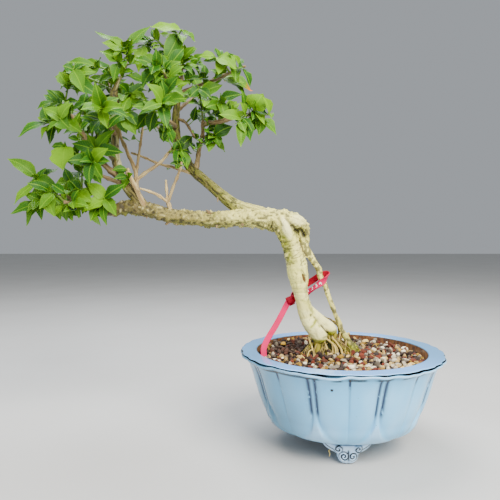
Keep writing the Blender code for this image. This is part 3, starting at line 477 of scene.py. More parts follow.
class Paint:
    """A material while it is built, with the colours laid on so far."""

    def __init__(self, name: str, roughness: float, colour: Any = None, place: str = "",
                 **sockets: Any) -> None:
        """Starts a material from its Principled shader.

        Args:
            name: The real material and how its surface was made.
            roughness: The shader's roughness.
            colour: The first colour, as a hex code.
            place: Attribute with the patterns' coordinates, or the place on the piece if empty.
            sockets: Other inputs of the shader, with _ for a space.
        """
        self.material = bpy.data.materials.new(name)
        self.material.use_nodes = True
        self.tree = self.material.node_tree
        self.shader = self.tree.nodes["Principled BSDF"]
        for label, value in {"Roughness": roughness, **sockets}.items():
            self.shader.inputs[label.replace("_", " ")].default_value = value
        self.colour = colour
        self.place = self.add_node("TexCoord") if not place else self.add_node(
            "Attribute", output="Vector", attribute_name=place)

    def add_node(self, kind: str, *inputs: Any, output: Any = None,
                 stops: Sequence[tuple[float, str]] = (), **settings: Any) -> Any:
        """Adds one node with its settings and links.

        Args:
            kind: Blender's name for the node, without its ShaderNode prefix.
            inputs: For each input in NODE_PORTS a number, a hex colour, the name of an attribute
                or the output of another node.
            output: The output that is wanted, where not the one in NODE_PORTS.
            stops: Places and hex colours of a colour ramp.
            settings: The node's own properties.

        Returns:
            The node's output.
        """
        node = self.tree.nodes.new("ShaderNode" + kind)
        for name, value in settings.items():
            setattr(node, name, value)
        ports, used = NODE_PORTS[kind]
        for port, value in zip(ports, inputs):
            if isinstance(value, str):
                value = linear(value) if value.startswith("#") else self.add_node(
                    "Attribute", attribute_name=value)
            if isinstance(value, bpy.types.NodeSocket):
                self.tree.links.new(value, node.inputs[port])
            else:
                node.inputs[port].default_value = value
        if stops:
            ramp = node.color_ramp
            while len(ramp.elements) < len(stops):
                ramp.elements.new(1.0)
            for element, (place, code) in zip(ramp.elements, stops):
                element.position, element.color = place, linear(code)
        return node.outputs[used if output is None else output]

    def pattern(self, period: float, detail: float = 2.0, stretch: Point = (1, 1, 1)) -> Any:
        """A cloudy pattern whose features have a real size.

        Args:
            period: Width of its features in millimetres.
            detail: How many finer layers it has.
            stretch: How much longer the features are along each axis.

        Returns:
            The pattern's output, from 0 to 1.
        """
        scale = tuple(1 / (period * MM * s) for s in stretch)
        return self.add_node("TexNoise", self.add_node("Mapping", self.place, scale), 1.0, detail)

    def blend(self, first: Any, second: Any, mask: Any, low: float = 0.0,
              high: float = 1.0) -> Any:
        """A colour between two, each a hex code or an output.

        Args:
            first: The colour where the mask is low.
            second: The colour where it is high.
            mask: An attribute's name, an output or a number.
            low: The mask's value that gives the first colour alone.
            high: The value that gives the second alone.

        Returns:
            The blended colour's output.
        """
        if (low, high) != (0.0, 1.0):
            mask = self.add_node("MapRange", mask, low, high)
        return self.add_node("Mix", mask, first, second, data_type="RGBA")

    def lay(self, colour: Any, mask: Any, low: float = 0.0, high: float = 1.0) -> None:
        """Lays a colour over those so far, where a mask says; all as in blend()."""
        self.colour = self.blend(self.colour, colour, mask, low, high)

    def finish(self, height: Any = None, depth: float = 0.0,
               strength: float = 1.0) -> bpy.types.Material:
        """Gives the shader its colour and its fine relief.

        Args:
            height: Output of the relief's pattern, if it has any.
            depth: How deep the pattern is in millimetres.
            strength: Share of it that shows.

        Returns:
            The material.
        """
        self.tree.links.new(self.colour, self.shader.inputs["Base Color"])
        if height is not None:
            relief = self.add_node("Bump", height, depth * MM, strength)
            self.tree.links.new(relief, self.shader.inputs["Normal"])
        return self.material


# Pot

# How many petals there are, and the turn of one and of half a one in degrees
PETALS = 9
PETAL_TURN = 360 // PETALS
HALF_PETAL = PETAL_TURN // 2
# How far a petal bulges from the turned wall, and the share of it left in its middle crease
PETAL_RELIEF = 2.2
CREASE_SHARE = 0.45
# How far the rim reaches out at even angles from a petal's middle to its edge
RIM_LOBES = (-1.5, -0.2, 0.3, -0.9, 0.3)
# The cut line that frames a petal: its angle from the petal's middle and its half width, both
# in degrees
LINE_ANGLE = 18.2
LINE_WIDTH = 0.75
# Even angles from a petal's middle, and where their points go
GATHERED = ((0, 20 * 5 / 28, 20 * 14 / 28, 20), (0, 1.5, 16.6, 20))
# Angles from the front petal's middle, and how far the lines there have drifted, in degrees
PETAL_DRIFT = ((-60, -40, -20, 0, 20, 40, 60), (0, 0, 1.1, 1.5, -0.5, 1.8, 0))
# Heights between which the petals' cuts run
WALL_LOW, WALL_HIGH = 24.5, 87.0

# Outer wall as (radius, height, share of the petal relief, share of the rim's lobes)
OUTER_WALL = (
    (60.5, 20, 0, 0), (65, 21.2, 0.35, 0), (69.2, 24, 0.7, 0), (71.9, 28, 0.9, 0),
    (73.7, 32, 1, 0), (75.5, 37, 1, 0), (78.2, 43, 1, 0), (80.8, 50, 1, 0),
    (83.4, 58, 1, 0), (85.9, 66, 0.9, 0), (88.5, 74, 0.7, 0), (91.8, 82, 0.45, 0.1),
    (94.3, 86, 0.2, 0.3),
)
# The slab of the rim with the bead under it, in the same way
RIM = (
    (96.4, 86.9, 0.2, 0.5), (97.3, 87.5, 0, 0.8), (98.6, 87.9, 0, 1), (99.8, 88.4, 0, 1),
    (100.4, 89.1, 0, 1), (100.5, 89.8, 0, 1), (100.2, 90.4, 0, 1), (99.3, 90.8, 0, 1),
    (97.8, 91, 0, 1), (96.9, 91.25, 0, 1), (97.5, 91.5, 0, 1), (98.8, 91.7, 0, 1),
    (99.2, 92, 0, 1), (99.2, 92.3, 0, 1), (98.9, 92.55, 0, 1), (98.2, 92.7, 0, 0.9),
    (95.8, 92.7, 0, 0.5), (92.5, 92.7, 0, 0.2), (89, 92.7, 0, 0), (86, 92.7, 0, 0),
    (84.6, 92.6, 0, 0), (84, 92.2, 0, 0), (83.8, 91.4, 0, 0),
)
# Inside, as (radius, height)
INNER_WALL = ((83.4, 88.5), (82.4, 83), (80.8, 74), (77.6, 60), (65, 35), (53, 27))
DRAIN_HOLE = ((12.0, 27.0), (12.0, 20.0))
# A pinhole that the glaze pulled back from
PINHOLE = Vector((-22.2, -89.0, 76.6))

# Foot sections as (height, half width along the pot, half depth out from it)
FOOT_LEVELS = (
    (0, 3.4, 2.8), (0.5, 5, 4.4), (1.5, 6.8, 5.8), (3.5, 8.5, 7), (6, 9.5, 7.6),
    (8.6, 10.3, 7.7), (10.2, 12.6, 7.5), (11.8, 16.6, 7.3), (13.6, 19.8, 7.6), (16, 22.2, 8.2),
    (19.2, 24, 8.4), (22.4, 24.8, 8),
)
# Scrolls on a foot as (place along the pot, height, radius, way it turns)
SCROLLS = ((-3.9, 8.3, 4.2, 1), (3.9, 8.3, 4.2, -1), (-9.0, 14.7, 3.7, -1), (9.0, 14.7, 3.7, 1))
# How far a scroll stands out, and from one of its turns to the next
SCROLL_RELIEF = 1.4
SCROLL_PITCH = 2.6
# Lower edge of a foot's wings as (place along the pot, height)
WING_EDGE = ((10.0, 8.6), (12.6, 10.2), (16.6, 11.8), (19.8, 13.6), (22.2, 16.0), (24.0, 19.2))


@dataclass(frozen=True)
class GlazedStoneware:
    """Finish of stoneware dipped in pale blue glaze that pools dark in its cuts, with painted
    shade.
    """

    glaze: str = "#70C4F6"
    thin_glaze_and_shade: str = "#4C829E"
    thick_glaze: str = "#8ED2FC"
    rim: str = "#76B0F6"
    ink: str = "#021E46"
    pinhole_and_shade_black: str = "#04070E"
    clay: str = "#3E200A"
    pale_clay: str = "#7C4F22"
    white: str = "#BFDDFA"

    def material(self) -> bpy.types.Material:
        """Builds the node material.

        Returns:
            The material.
        """
        paint = Paint("glazed_stoneware_pale_blue_dipped", 0.16, self.glaze, Coat_Weight=0.25,
                      Coat_Roughness=0.08)
        # Glaze runs and gathers, so its blue drifts in soft clouds a few centimetres wide
        paint.lay(self.thick_glaze, paint.pattern(34, 2, (1, 1, 1.9)), 0.36, 0.66)
        # Painted highlight (white) on the rim's edges and raised corners; the feet are pale
        # Painted shade (green) on the left side, the rim's ends and the lower wall
        for label, colour in (("white", self.white), ("rim", self.rim), ("green", self.thin_glaze_and_shade)):
            paint.lay(colour, label)
        # Fine iron specks that burnt through the glaze, about 10 mm apart
        specks = paint.add_node("TexVoronoi", paint.place, 95.0)
        paint.lay(self.thin_glaze_and_shade, specks, 0.045, 0.02)
        # Blue pools in the cut lines in broken dashes, thick at the top and faint lower down
        dashes = paint.add_node("MapRange", paint.pattern(3.0, 2, (1, 1, 2.4)), 0.25, 0.38)
        paint.lay(self.ink, paint.add_node("Math", "ink", dashes, operation="MULTIPLY"))
        # Painted shade, near black, in the grooves, under the bead and over each foot
        paint.lay(self.pinhole_and_shade_black, "crevice_shade")
        # The glaze pulled back from one pinhole and left it dark
        gap = paint.add_node("VectorMath", paint.place, AXIS + PINHOLE * MM, operation="DISTANCE")
        paint.lay(self.pinhole_and_shade_black, gap, 1.9 * MM, 1.2 * MM)
        # Inside, the bare clay is sandy and orange-brown
        grit = paint.pattern(3.2, 4, (1, 1, 2))
        paint.lay(paint.blend(self.clay, self.pale_clay, grit, 0.35, 0.65), "bare")
        rough = paint.add_node("MapRange", "bare", 0.0, 1.0, 0.16, 0.85)
        paint.tree.links.new(rough, paint.shader.inputs["Roughness"])
        # Orange-peel waviness of the melted glaze, far softer than the clay's grain
        return paint.finish(paint.pattern(7), 0.12, 0.35)


def petal_relief(offset: np.ndarray, depth: np.ndarray) -> tuple[np.ndarray, np.ndarray]:
    """Height of a petal's surface over the turned wall, and the ink that its cuts hold.

    Args:
        offset: Angle from the petal's middle in degrees, 0 to 20.
        depth: Share of the wall from its top, 0, to its bottom, 1.

    Returns:
        Heights in millimetres for a full share of relief, and ink from 0 to 1.
    """
    turn = offset / HALF_PETAL
    bulge = np.sin(math.pi * turn)
    share = np.where(turn > 0.5, bulge, CREASE_SHARE + (1 - CREASE_SHARE) * bulge)
    narrow = np.clip((depth - 0.585) / 0.44, 0, 1)
    border = LINE_ANGLE * np.sqrt(1 - narrow ** 2)
    outside = offset - border
    width = LINE_WIDTH * (1 + 1.6 * smooth_step(0.58, 0.8, depth))
    cut = np.exp(-(outside / width) ** 2)
    rib = np.exp(-((offset - HALF_PETAL) / 0.8) ** 2)
    lower = smooth_step(0.56, 0.8, depth)
    room = np.maximum(0.62 * (HALF_PETAL - border), 0.5)
    filled = smooth_step(0, 1, outside / room) * (outside > 0)
    height = PETAL_RELIEF * share * (1 - filled * lower)
    height += -0.85 * cut * (1 - 0.5 * lower) + 0.45 * rib * (1 - lower) + 3.4 * filled * lower
    crease = np.exp(-(offset / 0.7) ** 2)
    height -= 0.45 * crease * smooth_step(1.0, 0.5, depth)
    lines = np.exp(-(outside / 1.15) ** 2) * smooth_step(0.66, 0.52, depth)
    lines = np.maximum(lines, 0.35 * np.exp(-(outside / 0.8) ** 2) * smooth_step(0.75, 0.6, depth))
    middle = crease * (smooth_step(0.2, 0.05, depth) + 0.3 * smooth_step(0.85, 0.2, depth))
    return height, np.clip(np.maximum(lines, middle), 0, 1)


def rim_lobes(offset: np.ndarray) -> np.ndarray:
    """How far the rim's lobes reach out.

    Args:
        offset: Angle from the petal's middle in degrees.

    Returns:
        Millimetres over the turned rim.
    """
    step = HALF_PETAL / (len(RIM_LOBES) - 1)
    first = np.clip((offset / step).astype(int), 0, len(RIM_LOBES) - 2)
    share = smooth_step(0, 1, offset / step - first)
    lobes = np.array(RIM_LOBES)
    return lobes[first] + (lobes[first + 1] - lobes[first]) * share


@dataclass
class Pot:
    """The fired pot: a turned wall pressed into petals, its rim and its scroll feet."""

    finish: GlazedStoneware
    # Where the front petal's middle and the front foot stand round the axis
    front: float = math.radians(-96.1)
    front_foot: float = math.radians(-92.3)
    feet: int = 3
    foot_radius: float = 52.0
    # How finely a petal, the inner wall between its places and a foot are divided
    petal_steps: int = 56
    inner_steps: int = 3
    foot_sides: int = 144

    def __post_init__(self) -> None:
        """Builds the glaze once for all pieces."""
        self.material = self.finish.material()

    def profile(self) -> np.ndarray:
        """Draws the turned section, down its outside and up to the drain hole inside.

        Returns:
            Rows of radius, height, petal share and lobe share.
        """
        rows = []
        inside = [(r, z, 0, 0) for r, z in INNER_WALL]
        for table, steps in ((OUTER_WALL, 7), (RIM, 2), (inside, self.inner_steps)):
            run = smooth_run([(Vector(row[:3]), row[3]) for row in table], steps)
            rows += [(*place, lobes) for place, lobes in run]
        return np.array(rows + [(r, z, 0, 0) for r, z in DRAIN_HOLE])

    def body(self) -> bpy.types.Object:
        """Spins the section, presses the petals and marks where the ink pools.

        Returns:
            The pot's body.
        """
        rows = self.profile()
        mesh = bpy.data.meshes.new("pot_body")
        count = len(rows)
        mesh.from_pydata([(r * MM, 0, z * MM) for r, z, _, _ in rows],
                         [(k, (k + 1) % count) for k in range(count)], [])
        obj = bpy.data.objects.new("pot_body", mesh)
        bpy.context.scene.collection.objects.link(obj)
        steps = PETALS * self.petal_steps
        apply_modifier(obj, "SCREW", steps=steps, render_steps=steps, use_merge_vertices=True,
                       merge_threshold=1e-6, use_normal_calculate=True)
        self.press(obj.data, rows)
        fix_normals(obj)
        return dress(obj, self.material, Slot.GLAZE, ["pot"], 38)

    def press(self, mesh: bpy.types.Mesh, rows: np.ndarray) -> None:
        """Moves the spun points to the petals' relief and writes the finish's values.

        Args:
            mesh: The spun wall about the world's axis.
            rows: The section that it was spun from.
        """
        points = raw_points(mesh) / MM
        radius = np.hypot(points[:, 0], points[:, 1])
        height = points[:, 2]
        index = nearest_rows(np.column_stack([radius, height]), rows[:, :2])
        turn = np.degrees(np.arctan2(points[:, 1], points[:, 0])) % PETAL_TURN
        offset = np.minimum(turn, PETAL_TURN - turn)
        side = np.where(turn < HALF_PETAL, 1, -1)
        # The spun points gather where a petal's cuts need them
        warped = np.interp(offset, *GATHERED)
        angle = np.arctan2(points[:, 1], points[:, 0]) + np.radians((warped - offset) * side)
        # The petals were pressed by hand, so their lines stand a degree or two off
        turned = (np.degrees(angle) + 180) % 360 - 180
        angle += np.radians(np.interp(turned, *PETAL_DRIFT)) + self.front
        depth = (WALL_HIGH - height) / (WALL_HIGH - WALL_LOW)
        outer = index < len(rows) - len(INNER_WALL) * self.inner_steps
        relief, ink = petal_relief(warped, np.clip(depth, 0, 1.2))
        reach = radius + rows[index, 2] * relief + rows[index, 3] * rim_lobes(warped)
        around = np.column_stack([90 * np.cos(angle), 90 * np.sin(angle), np.zeros(len(angle))])
        moved = np.column_stack([reach * np.cos(angle), reach * np.sin(angle), height])
        wobble = 0.25 * layered_noise(moved, 46, 2, 3)
        moved[:, 0] += wobble * np.cos(angle)
        moved[:, 1] += wobble * np.sin(angle)
        # The bead under the rim's slab was laid by hand, so it wanders up and down
        bead = smooth_step(82, 88, height) * smooth_step(92.4, 90.6, height) * outer
        lift = 1.0 * layered_noise(around, 24, 1, 8) + 0.5 * layered_noise(around, 9, 1, 9)
        moved[:, 2] += lift * bead
        place_points(mesh, moved)
        wall = (height < 87.2) & (height > 20.5) & outer & (radius > 60)
        noise = layered_noise(around, 13, 2, 5)
        # Painted shade under the bead, in the groove under the slab and at the soil's edge
        junction = smooth_step(1.8, 1.1, np.abs(height - 86.6)) * (radius > 92) * (radius < 99.2)
        junction *= 0.15 + 0.85 * smooth_step(-0.16, 0.02, noise)
        groove = smooth_step(0.95, 0.6, np.abs(height - 91.25)) * (radius > 96.5)
        groove *= 0.8 + 0.2 * smooth_step(-0.5, 0.0, layered_noise(around, 10, 1, 12))
        inner_edge = 0.6 * np.exp(-((radius - 84.1) / 0.3) ** 2) * (height > 91.6)
        inside = ~outer | ((radius < 84.3) & (height > 84))
        # Painted highlight on the bead's crest and slab edge, where the glaze also thins pale
        crest = 0.55 * np.exp(-((height - 89.6) / 0.9) ** 2) * (radius > 99)
        edge = 0.6 * np.exp(-((height - 92.1) / 0.4) ** 2) * (radius > 98.3)
        write_values(mesh, "ink", np.clip(ink * wall, 0, 1))
        write_values(mesh, "crevice_shade", np.maximum(np.maximum(groove, inner_edge), 0.9 * junction))
        write_values(mesh, "bare", (inside & (height < 92.0)).astype(float))
        write_values(mesh, "rim", smooth_step(92.1, 92.6, height) * (radius > 84.4) * 0.9)
        # Painted highlight on the petals' raised lower corners
        corner = smooth_step(1.6, 3.2, relief) * smooth_step(0.6, 0.8, depth) * wall
        write_values(mesh, "white", np.clip(crest + edge + 0.45 * corner, 0, 1))
        # Painted shade on the side away from the light, the rim's two ends and the low wall
        seen = np.arctan2(moved[:, 1], moved[:, 0])
        left = smooth_step(-0.1, 0.85, -np.cos(seen + 0.25)) * smooth_step(91.8, 90.8, height)
        ends = smooth_step(0.55, 1.0, np.abs(np.cos(seen))) * smooth_step(91.8, 92.4, height)
        low = 0.75 + 0.25 * smooth_step(70, 40, height)
        below = 0.3 * smooth_step(40, 26, height) * wall
        write_values(mesh, "green", np.clip(np.maximum(left * low, below) + 0.6 * ends, 0, 1))

    def foot(self, index: int) -> bpy.types.Object:
        """One scroll foot, carved in relief.

        Args:
            index: Which of the feet.

        Returns:
            The foot's piece.
        """
        turn = self.front_foot + 2 * math.pi * index / self.feet
        sections = [(Vector(row), 0.0) for row in FOOT_LEVELS]
        levels = [place for place, _ in smooth_run(sections, 6)]
        verts, values = [], {"ink": [], "crevice_shade": [], "bare": []}
        spin = Matrix.Rotation(turn + math.pi / 2, 3, "Z")
        middle = Vector((self.foot_radius * math.cos(turn), self.foot_radius * math.sin(turn), 0))
        for height, half_width, half_depth in levels:
            for k in range(self.foot_sides):
                around = 2 * math.pi * k / self.foot_sides
                along = half_width * math.copysign(abs(math.cos(around)) ** 0.9, math.cos(around))
                out = half_depth * math.copysign(abs(math.sin(around)) ** 0.7, math.sin(around))
                raised, ink, crevice_shade = foot_relief(along, height) if out < 0 else (0.0, 0.0, 0.0)
                front = float(smooth_step(0.0, 0.6, -math.sin(around)))
                # The wings bend back with the wall
                out += along ** 2 / 120 - raised * front
                verts.append(middle + spin @ Vector((along, out, height)))
                values["ink"].append(ink * front)
                values["crevice_shade"].append(crevice_shade * front)
                values["bare"].append(float(smooth_step(0.9, 0.3, height)))
        parts = MeshParts()
        parts.add(verts, closed_faces(len(levels), self.foot_sides),
                  {**values, "white": 0.9, "rim": 0.0, "green": 0.0})
        name = f"pot_foot_{index + 1}"
        return dress(mesh_object(name, parts), self.material, Slot.GLAZE, ["pot"], 45)

    def build(self) -> None:
        """Makes the wall and the three feet."""
        self.body()
        for index in range(self.feet):
            self.foot(index)


def foot_relief(along: float, height: float) -> tuple[float, float, float]:
    """Relief, ink and painted shade at a place on a foot's front.

    Args:
        along: Place along the pot from the foot's middle.
        height: Height above the table.

    Returns:
        Millimetres that it stands out, and ink and painted shade from 0 to 1.
    """
    # Painted shade fills the scrolls' grooves, the split and the groove under each wing
    raised, crevice_shade = 0.0, 0.0
    for place, level, radius, way in SCROLLS:
        out = math.hypot(along - place, height - level)
        if out < radius + 0.9:
            turn = math.atan2(height - level, along - place)
            wave = 0.5 + 0.5 * math.cos(2 * math.pi * out / SCROLL_PITCH - way * turn + 0.6)
            edge = float(smooth_step(radius + 0.9, radius - 0.2, out))
            raised = max(raised, SCROLL_RELIEF * (0.25 + wave) * edge)
            crevice_shade = max(crevice_shade, edge * float(smooth_step(0.66, 0.36, wave)))
    split = math.exp(-(along / 0.75) ** 2) * float(smooth_step(15.0, 12.0, height))
    raised -= 0.9 * split
    crevice_shade = max(crevice_shade, split * float(smooth_step(2.5, 5.0, height)))
    # A groove follows each wing's lower edge
    if abs(along) > 10.5:
        low = float(np.interp(abs(along), *zip(*WING_EDGE)))
        ease = float(smooth_step(10.5, 13, abs(along)))
        cut = math.exp(-((height - low - 3.2) / 0.6) ** 2) * ease
        raised -= 0.6 * cut
        crevice_shade = max(crevice_shade, cut)
    # The foot's top is set back under the wall, with painted shade in that gap
    top_recess = float(smooth_step(17.6, 18.8, height)) * float(smooth_step(17, 12, abs(along)))
    return raised - 1.2 * top_recess, 0.35 * crevice_shade, max(crevice_shade, top_recess)


def nearest_rows(points: np.ndarray, rows: np.ndarray, radii: Any = 0.0) -> np.ndarray:
    """Finds the row that lies nearest to each point.

    Args:
        points: Rows of coordinates.
        rows: Rows of coordinates of the same length.
        radii: Reach of each row, taken off its distance.

    Returns:
        The number of the nearest row for each point.
    """
    found = np.empty(len(points), int)
    for start in range(0, len(points), NEAREST_AT_ONCE):
        part = slice(start, start + NEAREST_AT_ONCE)
        gap = np.linalg.norm(points[part][:, None, :] - rows[None, :, :], axis=2)
        found[part] = (gap - radii).argmin(axis=1)
    return found


def fix_normals(obj: bpy.types.Object) -> None:
    """Turns all of a closed piece's faces outwards.

    Args:
        obj: The closed piece.
    """
    only(obj)
    bpy.ops.object.mode_set(mode="EDIT")
    bpy.ops.mesh.select_all(action="SELECT")
    bpy.ops.mesh.normals_make_consistent(inside=False)
    bpy.ops.object.mode_set(mode="OBJECT")


@dataclass(frozen=True)
class MouldedMesh:
    """Finish of black moulded polypropylene mesh with soil dust on it."""

    plastic: str = "#15171A"
    dust: str = "#4A3A2A"

    def material(self) -> bpy.types.Material:
        """Builds the node material.

        Returns:
            The material.
        """
        paint = Paint("polypropylene_mesh_moulded", 0.55, self.plastic)
        # Soil dust settles in soft patches on the moulded bars
        paint.lay(self.dust, paint.pattern(6, 3), 0.5, 0.72)
        return paint.finish(paint.pattern(0.6), 0.05, 0.4)


# Soil

# Height of the bed at its edge, and its side as (radius, height)
BED_TOP = 84.4
BED_WALL = ((82.4, 85.9), (80.8, 74.0), (77.6, 60.0), (65.0, 35.0), (54.5, 28.8))
# Middle (x, y) of the mound round the roots
ROOT_MIDDLE = (-7.0, 5.0)
DUST_BROWN = "#3E2612"
# Least half width of a grain, and how much the biggest exceed it
GRAIN_SIZES = (0.95, 2.8)
# Middle (x, y) of the corner behind the trunk where grains are painted dark as shadow
SHADOW_CORNER = (-48.0, 24.0)
# How much more of each kind of grain lies in that corner, as shares: dark lava paints shadow
CORNER_MORE = (-0.85, -0.7, 0, -0.3, 5, 1.4)
# The clod under the flare: its middle (x, y) and half widths
BALL = (-14.0, 11.0, 23.0, 13.0)


@dataclass(frozen=True)
class Grain:
    """Finish of one kind of grain in the mix."""

    name: str
    light: str
    dark: str
    pores: float
    roughness: float
    share: float

    def material(self) -> bpy.types.Material:
        """Builds the node material.

        Returns:
            The material.
        """
        paint = Paint(self.name, self.roughness, self.dark)
        # Each grain has a shade of its own, and weathering mottles it
        paint.lay(self.light, paint.pattern(2.4, 3), 0.3, 0.7)
        paint.lay(self.light, "tone")
        # Pores are dark pits about half a millimetre wide
        pits = paint.add_node("TexVoronoi", paint.place, 1 / (self.pores * MM))
        depth = paint.add_node("MapRange", pits, 0.1, 0.34)
        paint.colour = paint.blend(self.dark, paint.colour, depth)
        # Each grain is darker brown towards its bottom, and brown dust lies on some
        paint.lay(DUST_BROWN, "stain")
        return paint.finish(depth, 0.3, 0.8)


class GrainKind(Enum):
    """The six kinds of grain in the mix."""

    PUMICE = Grain("pumice_white_crushed", "#F2E8CC", "#94825C", 0.8, 0.85, 0.13)
    CREAM = Grain("akadama_cream_fired_clay", "#DABC72", "#85602A", 1.1, 0.88, 0.18)
    YELLOW = Grain("kanuma_yellow_pumice", "#B48C28", "#5E420A", 0.9, 0.88, 0.1)
    GREY = Grain("pumice_grey_crushed", "#7C7262", "#362C20", 0.8, 0.82, 0.18)
    BLACK = Grain("lava_black_crushed", "#32221A", "#0C0604", 0.9, 0.78, 0.2)
    RED = Grain("lava_red_crushed", "#7A2C08", "#300E04", 0.9, 0.8, 0.21)


# Stones that stand out in the photograph as (x, y, half sizes, kind)
NOTED_STONES = (
    (-13.3, -49.4, (8.6, 3.6, 1.7), GrainKind.GREY),
    (1.3, -53.7, (4.1, 3.8, 2.9), GrainKind.PUMICE),
    (20.8, -53.7, (3.4, 2.4, 1.8), GrainKind.PUMICE), (47.1, -51.9, (5, 1.9, 1.5), GrainKind.CREAM),
    (59.1, -38.1, (5, 2.4, 1.7), GrainKind.CREAM), (39.7, -18.5, (4.1, 3.3, 2.3), GrainKind.CREAM),
    (57.8, -1.7, (2.5, 2.5, 2), GrainKind.PUMICE), (66, 10.7, (2.8, 2.8, 2.3), GrainKind.PUMICE),
    (72.4, 32.1, (4.8, 2.3, 1.4), GrainKind.PUMICE), (33.1, -40.7, (2.3, 2.3, 1.9), GrainKind.RED),
    (19.8, -8.5, (4, 2.8, 1.9), GrainKind.RED), (-51.5, -28.5, (2.4, 2.4, 1.9), GrainKind.RED),
    (-55, 31.1, (4.4, 3.6, 3), GrainKind.YELLOW), (-66.9, -18.9, (2.1, 1.5, 1.2), GrainKind.PUMICE),
    (-59.9, -14.7, (2.8, 1.6, 1.2), GrainKind.PUMICE),
    (-39.2, -36.9, (2.5, 2.5, 2), GrainKind.PUMICE), (-32.9, -43.4, (2, 2, 1.6), GrainKind.PUMICE),
    (38, 58.2, (6.1, 4, 2.4), GrainKind.CREAM), (50.2, 64.6, (3.4, 3.4, 2.5), GrainKind.GREY),
    (62.7, 58.5, (3.1, 3.1, 2), GrainKind.PUMICE), (50.3, 32.9, (2.9, 2.9, 1.8), GrainKind.PUMICE),
    (41.4, 14.2, (2.2, 2.2, 1.8), GrainKind.GREY), (27.8, -24.4, (2.3, 2.3, 1.8), GrainKind.GREY),
    (21.1, -20.5, (2.3, 2.1, 1.5), GrainKind.GREY), (10.8, -44.5, (4, 2, 1.5), GrainKind.CREAM),
    (25.4, -57.3, (1.9, 1.4, 1.2), GrainKind.RED), (64.8, -16, (1.7, 1.7, 1.3), GrainKind.GREY),
    (73.8, -4.4, (2.7, 1.8, 1.2), GrainKind.GREY), (-3.9, -35.9, (3.9, 1.4, 1.2), GrainKind.RED),
    (4.4, -16.8, (3.9, 2.2, 1.6), GrainKind.CREAM), (29.6, 18.9, (4.2, 2.6, 1.7), GrainKind.RED),
    (43.2, -27, (2.4, 2.4, 1.9), GrainKind.GREY), (-48.3, 55.8, (2.8, 2.8, 2.2), GrainKind.CREAM),
)


@dataclass(frozen=True)
class SoilCrumbs:
    """Finish of the dark crumbs and dust between the grains."""

    peat: str = "#080402"
    dust: str = "#24150A"
    moss: str = "#3F4806"

    def material(self) -> bpy.types.Material:
        """Builds the node material.

        Returns:
            The material.
        """
        paint = Paint("peat_and_fines_loose", 0.95, self.peat)
        # Dark damp peat with lighter dry dust and short green moss at the roots
        crumbs = paint.pattern(1.6, 4)
        paint.lay(self.dust, crumbs, 0.4, 0.7)
        green = paint.add_node("Math", "moss", crumbs, operation="MULTIPLY")
        paint.lay(self.moss, green, 0.2, 0.5)
        return paint.finish(crumbs, 0.8, 0.9)


def mound(x: Any, y: Any) -> Any:
    """Height of the bed over its edge, higher round the roots.

    Args:
        x: Place to the right, a number or an array.
        y: Place to the back.

    Returns:
        Millimetres above the bed's edge.
    """
    out = np.hypot(np.asarray(x) - ROOT_MIDDLE[0], (np.asarray(y) - ROOT_MIDDLE[1]) * 1.3)
    back = 0.86 * np.asarray(y) - 0.5 * np.asarray(x)
    return 3.4 * smooth_step(52, 12, out) + 13.0 * root_ball(x, y) + 3.0 * smooth_step(10, 72, back)


def root_ball(x: Any, y: Any) -> Any:
    """1 on the clod of peat that the roots hold under the flare, 0 beside it."""
    out = np.hypot((np.asarray(x) - BALL[0]) / BALL[2], (np.asarray(y) - BALL[1]) / BALL[3])
    return smooth_step(1.0, 0.5, out)


